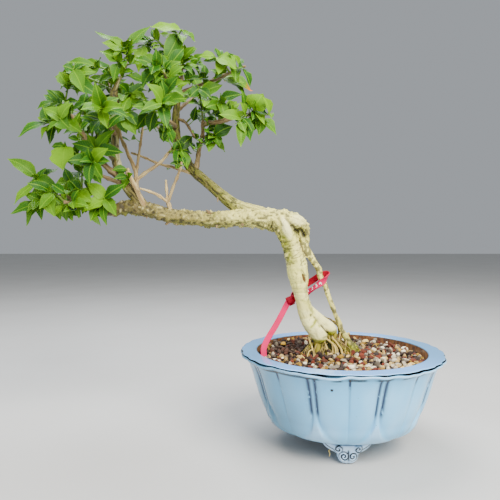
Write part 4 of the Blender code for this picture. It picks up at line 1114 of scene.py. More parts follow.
@dataclass
class Soil:
    """The bed of loose mix: crumbs below, grains of six kinds on top."""

    wood: "WoodFinder"
    grain_count: int = 2900
    # How many shapes the grains are copied from, and how many chips shape each of them
    grain_shapes: int = 7
    chips: int = 8
    # How often a place is sought for a grain
    grain_tries: int = 40
    # Share of two grains' sizes that has to lie between their middles
    packing: float = 0.79
    # How far the corner's painted shadow fades out, as twice its spread squared
    corner_fade: float = 1300
    # In front of this y more white pumice lies on top
    front_strip: float = -25
    # How finely the bed's top is divided, round it and out from its middle
    bed_sides: int = 144
    bed_rings: int = 60

    def __post_init__(self) -> None:
        """Makes the masters that the grains are copied from."""
        self.rng = random.Random(11)
        self.masters = [self.master(index) for index in range(self.grain_shapes)]

    def master(self, index: int) -> tuple[np.ndarray, list]:
        """Chips an icosphere into one angular grain shape.

        Args:
            index: Picks the shape.

        Returns:
            Its points and faces.
        """
        bpy.ops.mesh.primitive_ico_sphere_add(subdivisions=2, radius=1.0)
        ball = bpy.context.object
        points = raw_points(ball.data)
        chips = random.Random(300 + index)
        for _ in range(self.chips):
            normal = np.array(random_vector(chips, 1).normalized())
            over = points @ normal - chips.uniform(0.42, 0.8)
            points = points - np.outer(np.maximum(over, 0), normal)
        points *= 1 + 0.1 * layered_noise(points, 0.6, 2, index)[:, None]
        faces = [tuple(face.vertices) for face in ball.data.polygons]
        bpy.data.objects.remove(ball)
        return points, faces

    def bed(self) -> bpy.types.Object:
        """Makes the crumb bed: a closed plug of the pot's inside with an uneven top.

        Returns:
            The bed's piece.
        """
        sides = self.bed_sides
        turns = [2 * math.pi * k / sides for k in range(sides)]
        circle = [(math.cos(turn), math.sin(turn)) for turn in turns]
        reaches = [BED_WALL[0][0] * ring / self.bed_rings for ring in range(1, self.bed_rings + 1)]
        around = [(r * c, r * s, 0.0) for r in reaches for c, s in circle]
        top = np.array([(0.0, 0.0, 0.0)] + around)
        rough = 0.9 * layered_noise(top, 5, 3, 2)
        top[:, 2] = BED_TOP + mound(top[:, 0], top[:, 1]) + rough
        verts = list(map(tuple, top))
        faces = [(0, 1 + k, 1 + (k + 1) % sides) for k in range(sides)]
        quads = ring_faces(self.bed_rings, sides)
        faces += [tuple(1 + v for v in reversed(quad)) for quad in quads]
        above = len(verts) - sides
        for radius, height in BED_WALL[1:]:
            below = len(verts)
            verts += [(radius * c * 0.995, radius * s * 0.995, height) for c, s in circle]
            faces += [(above + (k + 1) % sides, above + k, below + k, below + (k + 1) % sides)
                      for k in range(sides)]
            above = below
        faces.append(tuple(reversed(range(above, above + sides))))
        x, y, _ = np.array(verts).T
        parts = MeshParts()
        out = np.hypot(x - ROOT_MIDDLE[0], y - ROOT_MIDDLE[1])
        parts.add(verts, faces, {"moss": 0.6 * smooth_step(30, 14, out)})
        obj = mesh_object("soil_bed", parts)
        fix_normals(obj)
        return dress(obj, SoilCrumbs().material(), Slot.MIX, ["soil"], 60)

    def corner_shadow(self, x: float, y: float) -> float:
        """1 in the painted shadow of the corner behind the trunk, 0 far from it."""
        return math.exp(-((x - SHADOW_CORNER[0]) ** 2 + (y - SHADOW_CORNER[1]) ** 2) / self.corner_fade)

    def kind_at(self, x: float, y: float) -> GrainKind:
        """Picks a grain's kind, with more dark lava in the corner behind the trunk as painted
        shadow.

        Args:
            x: Its place to the right of the pot's axis.
            y: Its place behind it.

        Returns:
            The kind.
        """
        dark = self.corner_shadow(x, y)
        kinds = list(GrainKind)
        weights = [kind.value.share * (1 + more * dark) for kind, more in zip(kinds, CORNER_MORE)]
        if y < self.front_strip:
            weights[0] *= 1.9
        return self.rng.choices(kinds, weights)[0]

    def add_grain(self, parts: MeshParts, place: Sequence[float], half: Sequence[float],
                  tilt: float, tone: float, dust: float) -> None:
        """Adds one grain to the parts of its kind.

        Args:
            parts: Where the grain goes.
            place: Its middle.
            half: Its half sizes.
            tilt: How far it may lean, in radians.
            tone: How pale it is for its kind.
            dust: How much brown dust lies on it, with more as painted shadow in the corner.
        """
        points, faces = self.rng.choice(self.masters)
        turn = Matrix.Rotation(self.rng.uniform(-tilt, tilt), 3, "X")
        turn = Matrix.Rotation(self.rng.uniform(-tilt, tilt), 3, "Y") @ turn
        turn = turn @ Matrix.Rotation(self.rng.uniform(0, 2 * math.pi) * min(tilt, 1), 3, "Z")
        moved = (points * np.array(half)) @ np.array(turn).T + np.array(place)
        low = moved[:, 2].min()
        # Darker brown towards the grain's bottom
        stain = 0.8 * smooth_step(0.55, 0.05, (moved[:, 2] - low) / (2 * half[2]))
        parts.add(moved, faces, {"stain": np.maximum(stain, dust), "tone": tone})

    def grains(self) -> None:
        """Scatters the grains and makes one piece of each kind."""
        heaps = {kind: MeshParts() for kind in GrainKind}
        taken = np.zeros((self.grain_count, 3))
        count = 0
        for x, y, half, kind in NOTED_STONES:
            high = BED_TOP + float(mound(x, y)) + half[2] * 0.9 + 1.3
            self.add_grain(heaps[kind], (x, y, high), half, 0.12, 0.9, 0.0)
            taken[count] = (x, y, math.sqrt(half[0] * half[1]))
            count += 1
        # Big grains find their room first, and small ones fill the gaps
        for share in range(self.grain_count - count):
            size = GRAIN_SIZES[1] * (1 - share / self.grain_count) ** 2.2 + GRAIN_SIZES[0]
            for _ in range(self.grain_tries):
                out = (82.0 - size) * math.sqrt(self.rng.random())
                angle = self.rng.uniform(0, 2 * math.pi)
                x, y = out * math.cos(angle), out * math.sin(angle)
                near = np.hypot(taken[:count, 0] - x, taken[:count, 1] - y)
                if (near < (size + taken[:count, 2]) * self.packing).any():
                    continue
                if root_ball(x, y) > 0.25 and y < 15:
                    continue
                high = BED_TOP + float(mound(x, y)) + self.rng.uniform(0.3, 0.8) * size
                if self.wood.distance(Vector((x, y, high))) < size * 0.55:
                    continue
                half = [size * self.rng.uniform(0.85, 1.3), size * self.rng.uniform(0.65, 1.0),
                        size * self.rng.uniform(0.5, 0.85)]
                # Painted shadow in the corner behind the trunk: no pale tone and more brown dust
                dark = self.corner_shadow(x, y)
                self.add_grain(heaps[self.kind_at(x, y)], (x, y, high), half, 1.4,
                               self.rng.uniform(0, 0.6) * (1 - dark),
                               self.rng.uniform(0, 0.5) + 0.45 * dark)
                taken[count] = (x, y, size)
                count += 1
                break
        for kind, parts in heaps.items():
            name = "grains_" + kind.name.lower()
            dress(mesh_object(name, parts), kind.value.material(), Slot.MIX, ["soil"], 32)
        log.info("%d grains", count)

    def build(self) -> None:
        """Makes the bed and its grains."""
        self.bed()
        self.grains()


# Tree: name, sides in the CAD, then (x, z, y, radius) down each run
WOOD = (
    ("trunk", 9, (
        (-20, 86, 6, 12), (-22, 101, 5, 12.5), (-26.5, 113, 4, 11.8), (-33, 123.5, 3, 10.2),
        (-39, 133, 2, 8.7), (-43.2, 144, 1, 8), (-46, 157, 0, 9.4), (-47.6, 172, 0, 10.3),
        (-50.6, 186, 0, 10), (-53.4, 198, 0, 9.4), (-55, 210, 0, 9.2), (-56, 218, 0, 8.6))),
    ("elbow_and_lower_branch", 8, (
        (-36.8, 204.5, 1, 3.6), (-38.6, 209.5, 1, 7.2), (-43.5, 214.6, 0.5, 9.4),
        (-53, 217.7, 0, 10.4), (-68, 221.5, 0, 10.4), (-83, 224, 0, 10.4), (-97, 225, 0, 10.2),
        (-106, 224.5, -1, 8.8), (-115, 223.5, -2, 7.8), (-138, 223.3, -4, 7.2),
        (-161, 224.7, -6, 7), (-178, 227.5, -8, 6.8), (-195, 232, -10, 6.9),
        (-204, 233.5, -10, 7.2), (-217, 235, -11, 6.2), (-234, 232.5, -12, 5.2),
        (-253, 235, -10, 4.3), (-268, 239, -6, 4.6), (-277, 243.5, -3, 6.2),
        (-284, 243, -1, 4.4), (-291, 242, 0, 2.6))),
    ("heel", 8, (
        (-55, 196, 0, 8.5), (-60, 205, 0, 8.6), (-68, 214, 0, 8.6), (-80, 221, 0, 8.4))),
    ("upper_branch", 7, (
        (-84, 227, 0, 8.6), (-97, 230.5, 1, 8.2), (-110, 236.5, 4, 6.7), (-123.8, 247.2, 10, 5.8),
        (-132.5, 255, 14, 5.4), (-141.3, 262.5, 18, 5.3), (-150.8, 270.7, 22, 5.4),
        (-156.4, 278, 25, 5), (-162, 291, 27, 4.5), (-167.5, 305, 28, 4.3),
        (-168.4, 324, 28, 4), (-167, 336, 27, 3.5), (-165.6, 346, 26, 3.1),
        (-163, 358, 24, 2.4), (-162, 364, 23, 2))),
    ("left_stem", 7, (
        (-199, 231, -10, 6.4), (-207, 243, -11, 5.8), (-217.4, 255.5, -10, 5.3),
        (-224.5, 269, -8, 4.7), (-228.4, 284, -6, 4.2), (-228.5, 300, -4, 4),
        (-227.5, 315, -2, 3.8), (-228, 331, 0, 3.4), (-229.5, 345, 1, 4.3),
        (-227.5, 353, 1, 2.6), (-224, 360, 2, 1.7), (-217.4, 372, 3, 1.3), (-216, 381, 3, 1.1))),
    ("pale_stub", 4, (
        (-201, 237, -15, 2.8), (-210, 257, -17, 2.4), (-215.5, 268, -18, 2.2),
        (-216.5, 272, -18, 1.9))),
    ("second_riser", 4, (
        (-206, 240, -7, 2.6), (-207.5, 256, -1, 2.1), (-209, 270, 4, 2), (-215.5, 287, 8, 1.9),
        (-223, 305, 11, 1.6), (-226, 318, 13, 1.2))),
    ("third_riser", 4, (
        (-208.5, 264, 3, 1.5), (-206.3, 281, 6, 1.3), (-202.6, 303.3, 10, 1.1),
        (-201, 318, 14, 1))),
    ("cross_twig_low", 4, (
        (-207.5, 262, 2, 1.8), (-197, 270, 5, 1.7), (-184, 279.2, 9, 1.5), (-176, 288.5, 12, 1.3),
        (-171, 294, 14, 1.2))),
    ("cross_twig_high", 4, (
        (-153, 268.5, 22, 1.7), (-171, 274, 20, 1.5), (-186, 278.5, 18, 1.3),
        (-200, 284, 16, 1.2), (-212.4, 288.5, 15, 1))),
    ("fork", 4, ((-173, 227, -8, 2.2), (-176.5, 238, -9, 1.9), (-177.6, 244, -10, 1.6))),
    ("fork_left", 4, ((-177, 240, -10, 1.4), (-190, 248.5, -15, 1.3), (-204.4, 253.4, -21, 1))),
    ("fork_stub", 4, ((-177.2, 240, -9.5, 1.3), (-178, 252, -9, 1.3), (-178.5, 261, -8, 1))),
    ("fork_right", 4, (
        (-177, 239, -10, 1.5), (-171.2, 255.2, -12, 1.4), (-165, 271, -15, 1.2),
        (-163, 279, -16, 1))),
    ("left_branch", 4, (
        (-226.6, 266, -8, 3), (-230.3, 268, -10, 3), (-241.4, 279, -14, 2.6),
        (-252.5, 294, -18, 2.4), (-259, 302, -18, 2.5), (-265.5, 314, -14, 2.2),
        (-270, 323, -10, 1.6), (-279, 332, -6, 1.1))),
    ("low_left_twig", 4, (
        (-220, 257, -12, 2.2), (-232, 262, -16, 1.9), (-244, 267, -20, 1.5),
        (-254, 270, -22, 1.1))),
    ("side_riser", 4, (
        (-149, 270, 22, 3), (-146.5, 283, 20, 2.4), (-145, 295, 16, 2.1),
        (-142.5, 305, 12, 1.9), (-141.6, 320, 8, 1.7))),
    ("right_twig", 4, (
        (-142, 315, 10, 1.9), (-136, 318.5, 5, 2.1), (-130.5, 318.5, 1, 2.2),
        (-118, 321, -6, 2.1), (-106.4, 324.6, -12, 1.9), (-95, 326, -16, 1.6),
        (-82, 326.6, -19, 1.2), (-73, 327, -21, 1))),
    ("upper_right_twig", 4, (
        (-165, 347, 26, 2.2), (-149, 353.3, 20, 1.9), (-137.6, 358, 14, 1.7),
        (-127.3, 361.3, 8, 1.6), (-115, 367, 2, 1.4), (-108, 371, -2, 1.2),
        (-100, 373.4, -6, 1))),
    ("top_stub", 4, (
        (-164, 358, 24, 1.8), (-168.5, 368, 26, 1.4), (-172, 380, 28, 1.2), (-173, 386, 29, 1))),
    ("top_twig", 4, ((-162.5, 360, 23, 1.8), (-162.5, 372, 20, 1.5), (-165, 381, 17, 1.2))),
    ("middle_twig", 4, (
        (-167, 322, 27, 1.7), (-158.3, 318, 20, 1.3), (-150, 304, 13, 1.1))),
    ("right_front", 4, (
        (-168, 314, 28, 2.2), (-172, 318, 8, 1.9), (-177, 321, -14, 1.7), (-180, 326, -36, 1.4),
        (-181, 331, -52, 1.1))),
    ("right_back", 4, (
        (-168, 330, 28, 2.2), (-160, 336, 46, 1.8), (-152, 342, 64, 1.5), (-148, 347, 78, 1.1))),
    ("right_back_low", 4, (
        (-163, 294, 27, 2.2), (-172, 302, 44, 1.8), (-182, 309, 62, 1.4), (-188, 316, 74, 1.1))),
    ("left_front", 4, (
        (-228, 306, -3, 2.2), (-233, 314, -24, 1.8), (-238, 320, -42, 1.5),
        (-241, 326, -56, 1.1))),
    ("left_back", 4, (
        (-228, 322, -1, 2.2), (-222, 330, 20, 1.9), (-216, 336, 40, 1.5), (-212, 341, 56, 1.1))),
    ("left_back_low", 4, (
        (-227, 278, -6, 2.4), (-238, 290, 14, 2), (-250, 300, 34, 1.7), (-260, 308, 50, 1.2))),
    ("low_back", 4, (
        (-240, 233, -11, 2.4), (-252, 240, 8, 2), (-262, 247, 26, 1.6), (-270, 253, 40, 1.2))),
    ("low_front", 4, ((-262, 237, -8, 2.2), (-270, 238, -26, 1.8), (-279, 240, -42, 1.3))),
    ("top_back", 4, ((-229, 343, 1, 2), (-232, 350, 18, 1.6), (-234, 358, 34, 1.2))),
    ("top_front", 4, (
        (-166, 343, 26, 1.9), (-172, 352, 6, 1.6), (-177, 360, -14, 1.3), (-180, 367, -30, 1))),
    ("strand", 5, (
        (-46, 212, 0, 3.6), (-40.5, 201, 2, 3.4), (-35.4, 191.5, 4, 3.3), (-31.4, 184.6, 5, 3.3),
        (-24.6, 175, 6, 3.4), (-24.6, 165, 7, 3.2), (-19, 156.5, 7, 3.1), (-17, 146, 7, 2.9),
        (-13, 136, 7, 2.9), (-8, 125, 7, 3.1), (-4, 117, 7, 3.4), (-0.5, 109, 7, 4.4),
        (4, 100, 8, 6), (6, 90, 9, 6.6), (6, 80, 9, 5.5))),
    ("strand_tie", 4, ((-42, 194, 3, 1.8), (-38, 188, 4, 1.8), (-32, 180, 5, 1.8))),
    ("left_root_lobe", 8, (
        (-27, 112, 3, 9), (-23.5, 104, 2, 8.4), (-20.5, 99, 1, 6), (-19, 84, 1, 4.4))),
    ("right_root_lobe", 8, (
        (-22, 118, 5, 8.6), (-15, 111, 6, 8), (-11, 107, 7, 5.6), (-8, 84, 8, 3.8))),
)
# Finer rows for the bends of the bare wood: rows of WOOD kept at the run's end, then the rows
# that take the place of the others
FINER = {
    "trunk": (0, (
        (-34, 119, 4.5, 7.6), (-37, 125, 3.5, 8.3), (-39, 130.5, 3, 8.1), (-40.6, 136, 2, 7.5),
        (-42.9, 144, 1, 6.9), (-44.7, 151, 0.5, 7.1), (-45.8, 157, 0, 8.2), (-46.3, 163, 0, 9.3),
        (-47.4, 170, 0, 10.1), (-48.8, 180, 0, 10.6),
        (-51.6, 187, 0, 9.7), (-53.5, 193, 0, 8.8), (-54.6, 199, -0.5, 8.3),
        (-56.3, 206, -2, 7.9), (-58.6, 212.5, -4.5, 7), (-62, 220, -7, 4.8))),
    "elbow_and_lower_branch": (16, (
        (-38.3, 197, 3, 1.6), (-38.6, 203, 2, 2.6), (-40.2, 209, 1.5, 4.2), (-43.6, 215.6, 1, 7),
        (-50, 219, 0.3, 9), (-58, 221, 0, 10), (-68, 221.8, 0, 10.3))),
    "heel": (0, (
        (-55, 194, 0, 7.2), (-58, 203, 0, 7), (-64.5, 213, 0, 6.6), (-74, 220, 0, 7))),
    "strand": (0, (
        (-46, 212, 0, 2.6), (-42.2, 201, 2, 3), (-38.5, 194.2, 3, 3.2), (-34.5, 187.5, 4, 2.9),
        (-31, 180.2, 5, 3.1), (-26.5, 173.3, 6, 3.2), (-24.6, 165, 7, 3.1), (-19.6, 156, 7, 2.9),
        (-16.6, 146.5, 7, 2.7), (-12, 134.6, 7, 2.7), (-9.4, 127, 7, 2.6), (-6.7, 121.9, 7, 2.9),
        (-4.6, 116.8, 7, 2.8), (-3.4, 111.8, 7, 2.7), (0.3, 106.7, 7, 3.5), (3, 101.6, 7.5, 3.5),
        (5.8, 96.5, 8, 4.4), (8.2, 92.3, 8.5, 5.9), (8.6, 85, 9, 6.2), (8, 80, 9, 5.5))),
    "strand_tie": (0, (
        (-44.5, 198, 1, 1.5), (-41.2, 191.5, 1.5, 1.7), (-36.5, 185, 3, 1.7),
        (-32, 179, 4.5, 1.7))),
    "gusset": (0, ((-45.5, 195, 5, 3.2), (-47.5, 203, 5, 4.4), (-46, 211, 5, 4.2))),
    "left_root_lobe": (0, (
        (-39, 127.5, 3, 6.8), (-36.6, 122, 2.5, 7.6), (-32.9, 116.4, 2, 8.4),
        (-28.4, 110.8, 1.5, 9), (-25.7, 106.2, 1, 8.3))),
    "right_root_lobe": (0, (
        (-36.5, 134.5, 3.5, 4.6), (-29, 125.6, 4.5, 5.9), (-22.2, 119.4, 5, 6),
        (-16, 114.4, 5.5, 6.4), (-13.6, 112.2, 5.5, 5.8))),
    "lobe_web": (0, (
        (-28, 119, 9, 5.6), (-21.5, 110, 9, 6.4), (-16.5, 104, 8.5, 5.2), (-14, 96, 8, 4.2))),
}
# Exposed roots: radius, how pale, then (x, z, y) down to the ground
EXPOSED_ROOTS = (
    (0.95, 0.95, ((-35.9, 105.7, 1), (-34.4, 99, -1), (-32.3, 93.9, -4), (-28.8, 87.3, -9),
                  (-24.7, 82.3, -16), (-21.7, 80.1, -20))),
    (3.4, 0.1, ((-27.6, 101.5, 1), (-27.2, 96, 0), (-26.2, 89.5, -2.5), (-25, 83.6, -6.5))),
    (0.95, 0.8, ((-22.2, 103.5, 0), (-20.6, 99.5, -1), (-17.6, 92.5, -4), (-15.6, 84.8, -9),
                 (-15.3, 81.6, -11))),
    (0.95, 0.9, ((-21.7, 105, 1), (-18.7, 102.6, -1.5), (-14.8, 100, -2), (-11.5, 97, -2),
                 (-9.3, 92.5, -3), (-8.9, 86.5, -7))),
    (0.8, 1, ((-19.3, 93.5, -3), (-17.1, 90.5, -5), (-13.8, 88.9, -6.5), (-11, 86.8, -8),
                (-9.3, 83.6, -11))),
    (1, 0.8, ((-12.3, 104.5, 3), (-11, 101.5, 1.5), (-8, 98.5, 0), (-4.8, 94.5, -2),
                (-2.8, 90.9, -5), (-0.3, 84.3, -11), (1.7, 80.6, -15))),
    (0.65, 0.95, ((-4.1, 109.5, 5), (-4.7, 106.5, 4.4), (-6, 102.5, 3.6), (-6.9, 99, 2.6),
                  (-7.7, 94.5, 1), (-8.1, 88.5, -4))),
    (0.85, 0.6, ((-9.8, 97.5, 1), (-8.5, 93.9, -1), (-7.1, 90, -4), (-6.4, 86.4, -7),
                 (-6.3, 82.6, -10))),
    (1.1, 0.55, ((1.9, 101.5, 5), (0.7, 97.5, 3.5), (-0.1, 92.5, 1), (-0.3, 87.3, -4),
                 (-0.3, 83.6, -8))),
    (0.6, 0.85, ((-37.4, 84.4, -12), (-37.3, 87.3, -9), (-35.4, 90.1, -7), (-32.3, 91.1, -6),
                 (-30.3, 89.1, -7), (-30.6, 84.6, -11))),
    (0.8, 1, ((-43.7, 86.1, -10), (-42, 84.8, -11), (-38.4, 82.4, -14.5), (-34.9, 79.7, -18))),
    (0.85, 0.25, ((-21.2, 125.4, 13), (-17.8, 123.7, 14), (-13.6, 122.1, 14), (-10.1, 119, 13.5),
                  (-7.4, 115.9, 12), (-6.7, 111.5, 10), (-6.9, 106.5, 9), (-8.3, 100.5, 8),
                  (-7.8, 93.5, 6))),
    (0.8, 0.8, ((-12.3, 121.4, 14), (-10.1, 120.1, 15), (-7, 116.5, 15), (-5.3, 111.5, 14),
                (-4.3, 104.5, 12), (-3.3, 96.5, 9))),
    (1.9, 0.1, ((-10, 112, 7), (-9.3, 108.5, 6), (-10.1, 105, 5), (-11.5, 101, 4),
                (-11.8, 96.5, 2.5))),
    (1.4, 0.7, ((-2, 105, 7), (0.5, 106.2, 7.6), (2.4, 107.4, 8.4), (4.2, 108.4, 9.2))),
    (0.8, 0.45, ((-16, 106, 2), (-15.1, 101.5, 1), (-12.8, 97.5, 0), (-12, 92.5, -3),
                 (-12.3, 85.6, -8))),
    (0.75, 0.9, ((-32.7, 105.5, 6), (-33.7, 101.5, 7), (-35.7, 97.5, 8), (-38.2, 92.5, 7),
                 (-41.7, 86, 2))),
    (1.2, 0.2, ((-24.2, 101.5, 2), (-23.7, 96.5, 1), (-21.7, 91.5, -1.5), (-21.4, 85.6, -6),
                (-21.7, 81.6, -10))),
)
# Grooves and stains on the bare wood as seen: x and z where they start, x and z where they end,
# half width, depth, how dark, how rusty and how green
MARKS = (
    (-59.5, 224, -55.6, 219.3, 0.9, 1, 0.7, 0, 0), (-55.6, 219.3, -47.5, 210, 1.3, 1.6, 0.9, 0, 0),
    (-49.3, 211.8, -47.6, 209.6, 1.7, 1.8, 1, 0, 0), (-43.6, 211.4, -41.2, 206, 1.7, 2.2, 1, 0, 0),
    (-47.5, 211.5, -42.5, 211.8, 1.2, 1.4, 0.8, 0, 0), (-73, 220.5, -73.4, 215, 0.9, 1.2, 1, 0, 0),
    (-73.4, 215, -70.4, 208.2, 0.8, 0.9, 0.6, 0, 0), (-67, 224, -63.4, 216, 1.2, 1, 0.6, 0, 0),
    (-29.8, 124, -23.5, 116.8, 0.8, 0.8, 0.55, 0, 0), (-23.5, 116.8, -17, 108.6, 1, 1.3, 1, 0, 0),
    (-34.8, 134, -29.8, 124, 0.8, 0.4, 0.12, 0, 0),
    (-33.9, 127.4, -33.7, 126.2, 1, 0.9, 0.7, 0.3, 0.5),
    (-28.8, 121.3, -30.4, 118.4, 1.7, -0.4, 0.2, 0, 1),
    (-30.4, 118.4, -33.3, 114.8, 1.3, -0.2, 0, 0, 1),
    (-50.6, 169.8, -48.1, 167.6, 0.5, 0.7, 0.6, 0, 0),
    (-43.4, 172, -38.9, 166.2, 0.55, 0.8, 0.6, 0.4, 0),
    (-52.5, 171.5, -43.5, 172.3, 2.2, 0.3, 0, 0, 0.28),
    (-44.4, 171.5, -42.6, 167, 0.5, 0.5, 0.4, 0, 0),
    (-44.4, 141.1, -40.6, 140.8, 0.5, 0.4, 0.35, 0, 0),
    (-31.2, 135.9, -31, 135.2, 1.1, -1.3, 0, 0, 0.2),
    (-30.4, 125.1, -26.5, 119.8, 0.55, 0.6, 0.55, 0, 0.2),
    (-41, 142, -36.5, 137, 2, -0.2, 0, 0, 0.45), (-37.5, 138, -31.5, 129.5, 2.2, 0, 0, 0, 0.4),
    (-26, 116.3, -25.4, 115, 0.8, 0, 0, 0, 0.9),
    (-44.6, 198.5, -41.6, 191.2, 0.7, 0.5, 0.5, 0.9, 0),
    (-41.6, 191.2, -38.2, 186, 0.7, 0.6, 0.6, 0.8, 0),
    (-35.7, 122.2, -35.7, 121.4, 0.6, 0.3, 0.4, 0, 0),
    (-21.6, 103.5, -18, 105.5, 0.9, 0.6, 0.5, 0, 0.3),
)
# Outline of the crown as seen, which leaves placed by rule stay inside, as (x, z)
CROWN_TOP = (
    (-340, 284), (-322, 312), (-300, 347), (-278, 381), (-248, 409), (-194, 415), (-150, 400),
    (-106, 383), (-84, 350), (-66, 318),
)
CROWN_BASE = (
    (-340, 236), (-318, 214), (-288, 222), (-240, 214), (-222, 244), (-200, 290), (-168, 268),
    (-150, 288), (-100, 290), (-66, 304),
)
# Sprays: tip (x, z, y), leaves in all, then leaves by their own tips as (x, z, y, width)
SPRAYS = (
    ((-216, 391, 3), 5, ((-248, 408, -4, 9), (-193, 413, 8, 9))),
    ((-162, 409, 14), 5, ((-194, 413, 6, 13), (-148, 397, 20, 9), (-180, 377, 8, 14))),
    ((-199, 394, 18), 5, ((-205, 367, 12, 10), (-186, 385, 26, 9))),
    ((-224, 378, -6), 5, ((-227, 391, -8, 7), (-230, 358, -14, 9))),
    ((-249, 374, -16), 4, ((-276, 378, -20, 8), (-262, 360, -12, 9))),
    ((-269, 371, -30), 5, ((-280, 374, -34, 8), (-259, 347, -38, 11), (-242, 343, -30, 11))),
    ((-271, 362, 22), 5, ((-288, 363, 24, 7), (-283, 351, 26, 8))),
    ((-287, 337, 24), 4, ((-299, 346, 28, 7),)),
    ((-295, 318, -22), 5, ((-325.6, 304, -28, 9), (-300, 335, -24, 9), (-302.5, 301.5, -30, 6))),
    ((-283, 322, -42), 5, ((-270, 338, -46, 9), (-274, 313, -50, 12))),
    ((-279, 296, -34), 4, ((-281, 271, -40, 19), (-292, 294.5, -28, 6), (-272, 276, -28, 12))),
    ((-307, 264, -4), 5, ((-336, 283, -8, 11), (-283, 252, -16, 13), (-331, 237, -10, 7))),
    ((-305, 239, -2), 5, ((-334, 228, -6, 9), (-318, 215.5, -4, 9))),
    ((-297, 250, -34), 5, ((-290, 225, -40, 11), (-310, 262, -36, 9))),
    ((-279, 236, 14), 5, ((-263, 225, 10, 11), (-293, 228, 18, 10))),
    ((-265, 250, -30), 5, ((-252, 240, -36, 10), (-275, 262, -34, 9))),
    ((-251, 280, -46), 5, ((-254, 256, -52, 9), (-240, 267, -50, 8))),
    ((-249, 292, -30), 5, ((-220, 289, -36, 10), (-272, 298, -34, 9), (-230, 310, -38, 10))),
    ((-240, 244, -26), 5, ((-219, 258, -34, 9), (-228, 226, -32, 9), (-238, 216, -28, 7))),
    ((-215, 328, -32), 5, ((-238, 314, -38, 12), (-207, 316, -40, 10))),
    ((-212, 346, -12), 5, ((-214, 329, -18, 10), (-197, 341, -14, 9))), ((-196, 328, -30), 5, ()),
    ((-176, 350, -44), 5, ((-183, 335, -50, 9), (-160, 345, -48, 9))),
    ((-179, 315, -16), 4, ((-182, 302, -20, 7), (-171, 296, -18, 8))),
    ((-163, 291, 4), 5, ((-157, 272, -2, 9), (-167, 302, 0, 7))),
    ((-131, 305, 2), 5, ((-112, 315, 4, 11), (-125, 295, -2, 9))),
    ((-106, 319, -30), 4, ((-104, 294, -36, 8), (-100, 307, -34, 7))),
    ((-87, 322, -12), 2, ((-68.5, 306, -16, 11),)),
    ((-91, 330, -24), 3, ((-82, 347, -28, 16), (-99, 345, -20, 8))), ((-118, 328, 8), 4, ()),
    ((-129, 382, -16), 5, ((-108, 371, -20, 15), (-145, 383, -18, 8))),
    ((-121, 361, 24), 4, ((-92, 349.5, 26, 13), (-98, 348, 14, 9))),
    ((-126, 341, -8), 5, ((-102, 346, -12, 10), (-120, 323, -14, 9))),
    ((-146, 352, -10), 5, ((-155, 343, -14, 8), (-133, 342, -14, 8))), ((-175, 374, 0), 5, ()),
    ((-150, 374, 44), 5, ()), ((-186, 364, 40), 5, ()), ((-146, 350, 84), 5, ()),
    ((-190, 322, 82), 5, ()), ((-211, 345, 66), 5, ()), ((-262, 312, 60), 5, ()),
    ((-272, 259, 52), 5, ()), ((-236, 364, 46), 5, ()), ((-241, 332, -68), 5, ()),
    ((-182, 337, -66), 5, ()), ((-190, 374, -40), 5, ()), ((-262, 275, 14), 4, ()),
    ((-236, 302, 30), 4, ()), ((-252, 332, 4), 5, ()), ((-140, 330, 40), 4, ()),
)


# Slanting ovals on the bare wood as seen: middle (x, z), slant, half width and half height
HEALED_OVAL = (-58.6, 214, 0.31, 4.6, 11.5)
CUT_SCAR = (-40.6, 164, 0.28, 1.7, 4.4)
# The healed knob and the elbow as seen: middle (x, z), half width and half height
HEALED_KNOB = (-45.9, 222.5, 9.5, 6)
ELBOW = (-50, 212, 24, 16)


class BarkKind(Enum):
    """How the surface of a run of wood looks."""

    WRINKLED = "smooth pale trunk with mossy wrinkles"
    KNOBBLY = "tan branch with pores and lumps"
    FISSURED = "branch with long dark cracks"
    ROOT = "smooth root"


BARKS = {
    "trunk": BarkKind.WRINKLED, "heel": BarkKind.KNOBBLY,
    "elbow_and_lower_branch": BarkKind.KNOBBLY, "upper_branch": BarkKind.FISSURED,
    "left_stem": BarkKind.FISSURED, "strand": BarkKind.ROOT, "strand_tie": BarkKind.ROOT,
    "gusset": BarkKind.KNOBBLY, "lobe_web": BarkKind.ROOT,
    "left_root_lobe": BarkKind.WRINKLED, "right_root_lobe": BarkKind.WRINKLED,
}
# How far these twigs are bleached
BLEACH = {
    "fork": 0.75, "fork_left": 0.85, "fork_stub": 0.95, "fork_right": 0.6, "second_riser": 0.6,
    "cross_twig_low": 0.65, "cross_twig_high": 0.55, "pale_stub": 0.7, "third_riser": 0.5,
    "side_riser": 0.4,
}
# Small dead spurs as (x, z, y) where they start and end, and their radius
SPURS = (
    ((-135.5, 229, -8), (-139.5, 232.8, -11), 1.5), ((-127, 241.5, 6), (-127.2, 236.6, 4), 0.9),
    ((-176, 220.5, -9), (-179.5, 216.9, -11), 2.4), ((-128, 217.5, -6), (-128.4, 214, -8), 1.1),
    ((-167.5, 219.5, -8), (-168.5, 216.6, -10), 1.6), ((-197.5, 226, -12), (-198, 223.2, -14), 1.2),
    ((-103, 216.5, -7), (-103.5, 214, -9), 1.3),
)


def outside(tree: BVHTree, place: Vector) -> float:
    """How far a place is outside a solid.

    Args:
        tree: The solid's faces.
        place: The place.

    Returns:
        Millimetres, negative inside the solid.
    """
    spot, normal, _, distance = tree.find_nearest(place)
    return distance if (place - spot).dot(normal) > 0 else -distance


class WoodFinder:
    """Answers how far a place is from the thick wood."""

    def __init__(self, solids: Sequence[Solid]) -> None:
        """Keeps a search tree for each tube.

        Args:
            solids: The tubes of the thick wood.
        """
        self.trees = [tree_of(solid) for solid in solids]

    def distance(self, place: Vector) -> float:
        """Distance outside the wood in millimetres, negative inside it."""
        return min(outside(tree, place) for tree in self.trees)


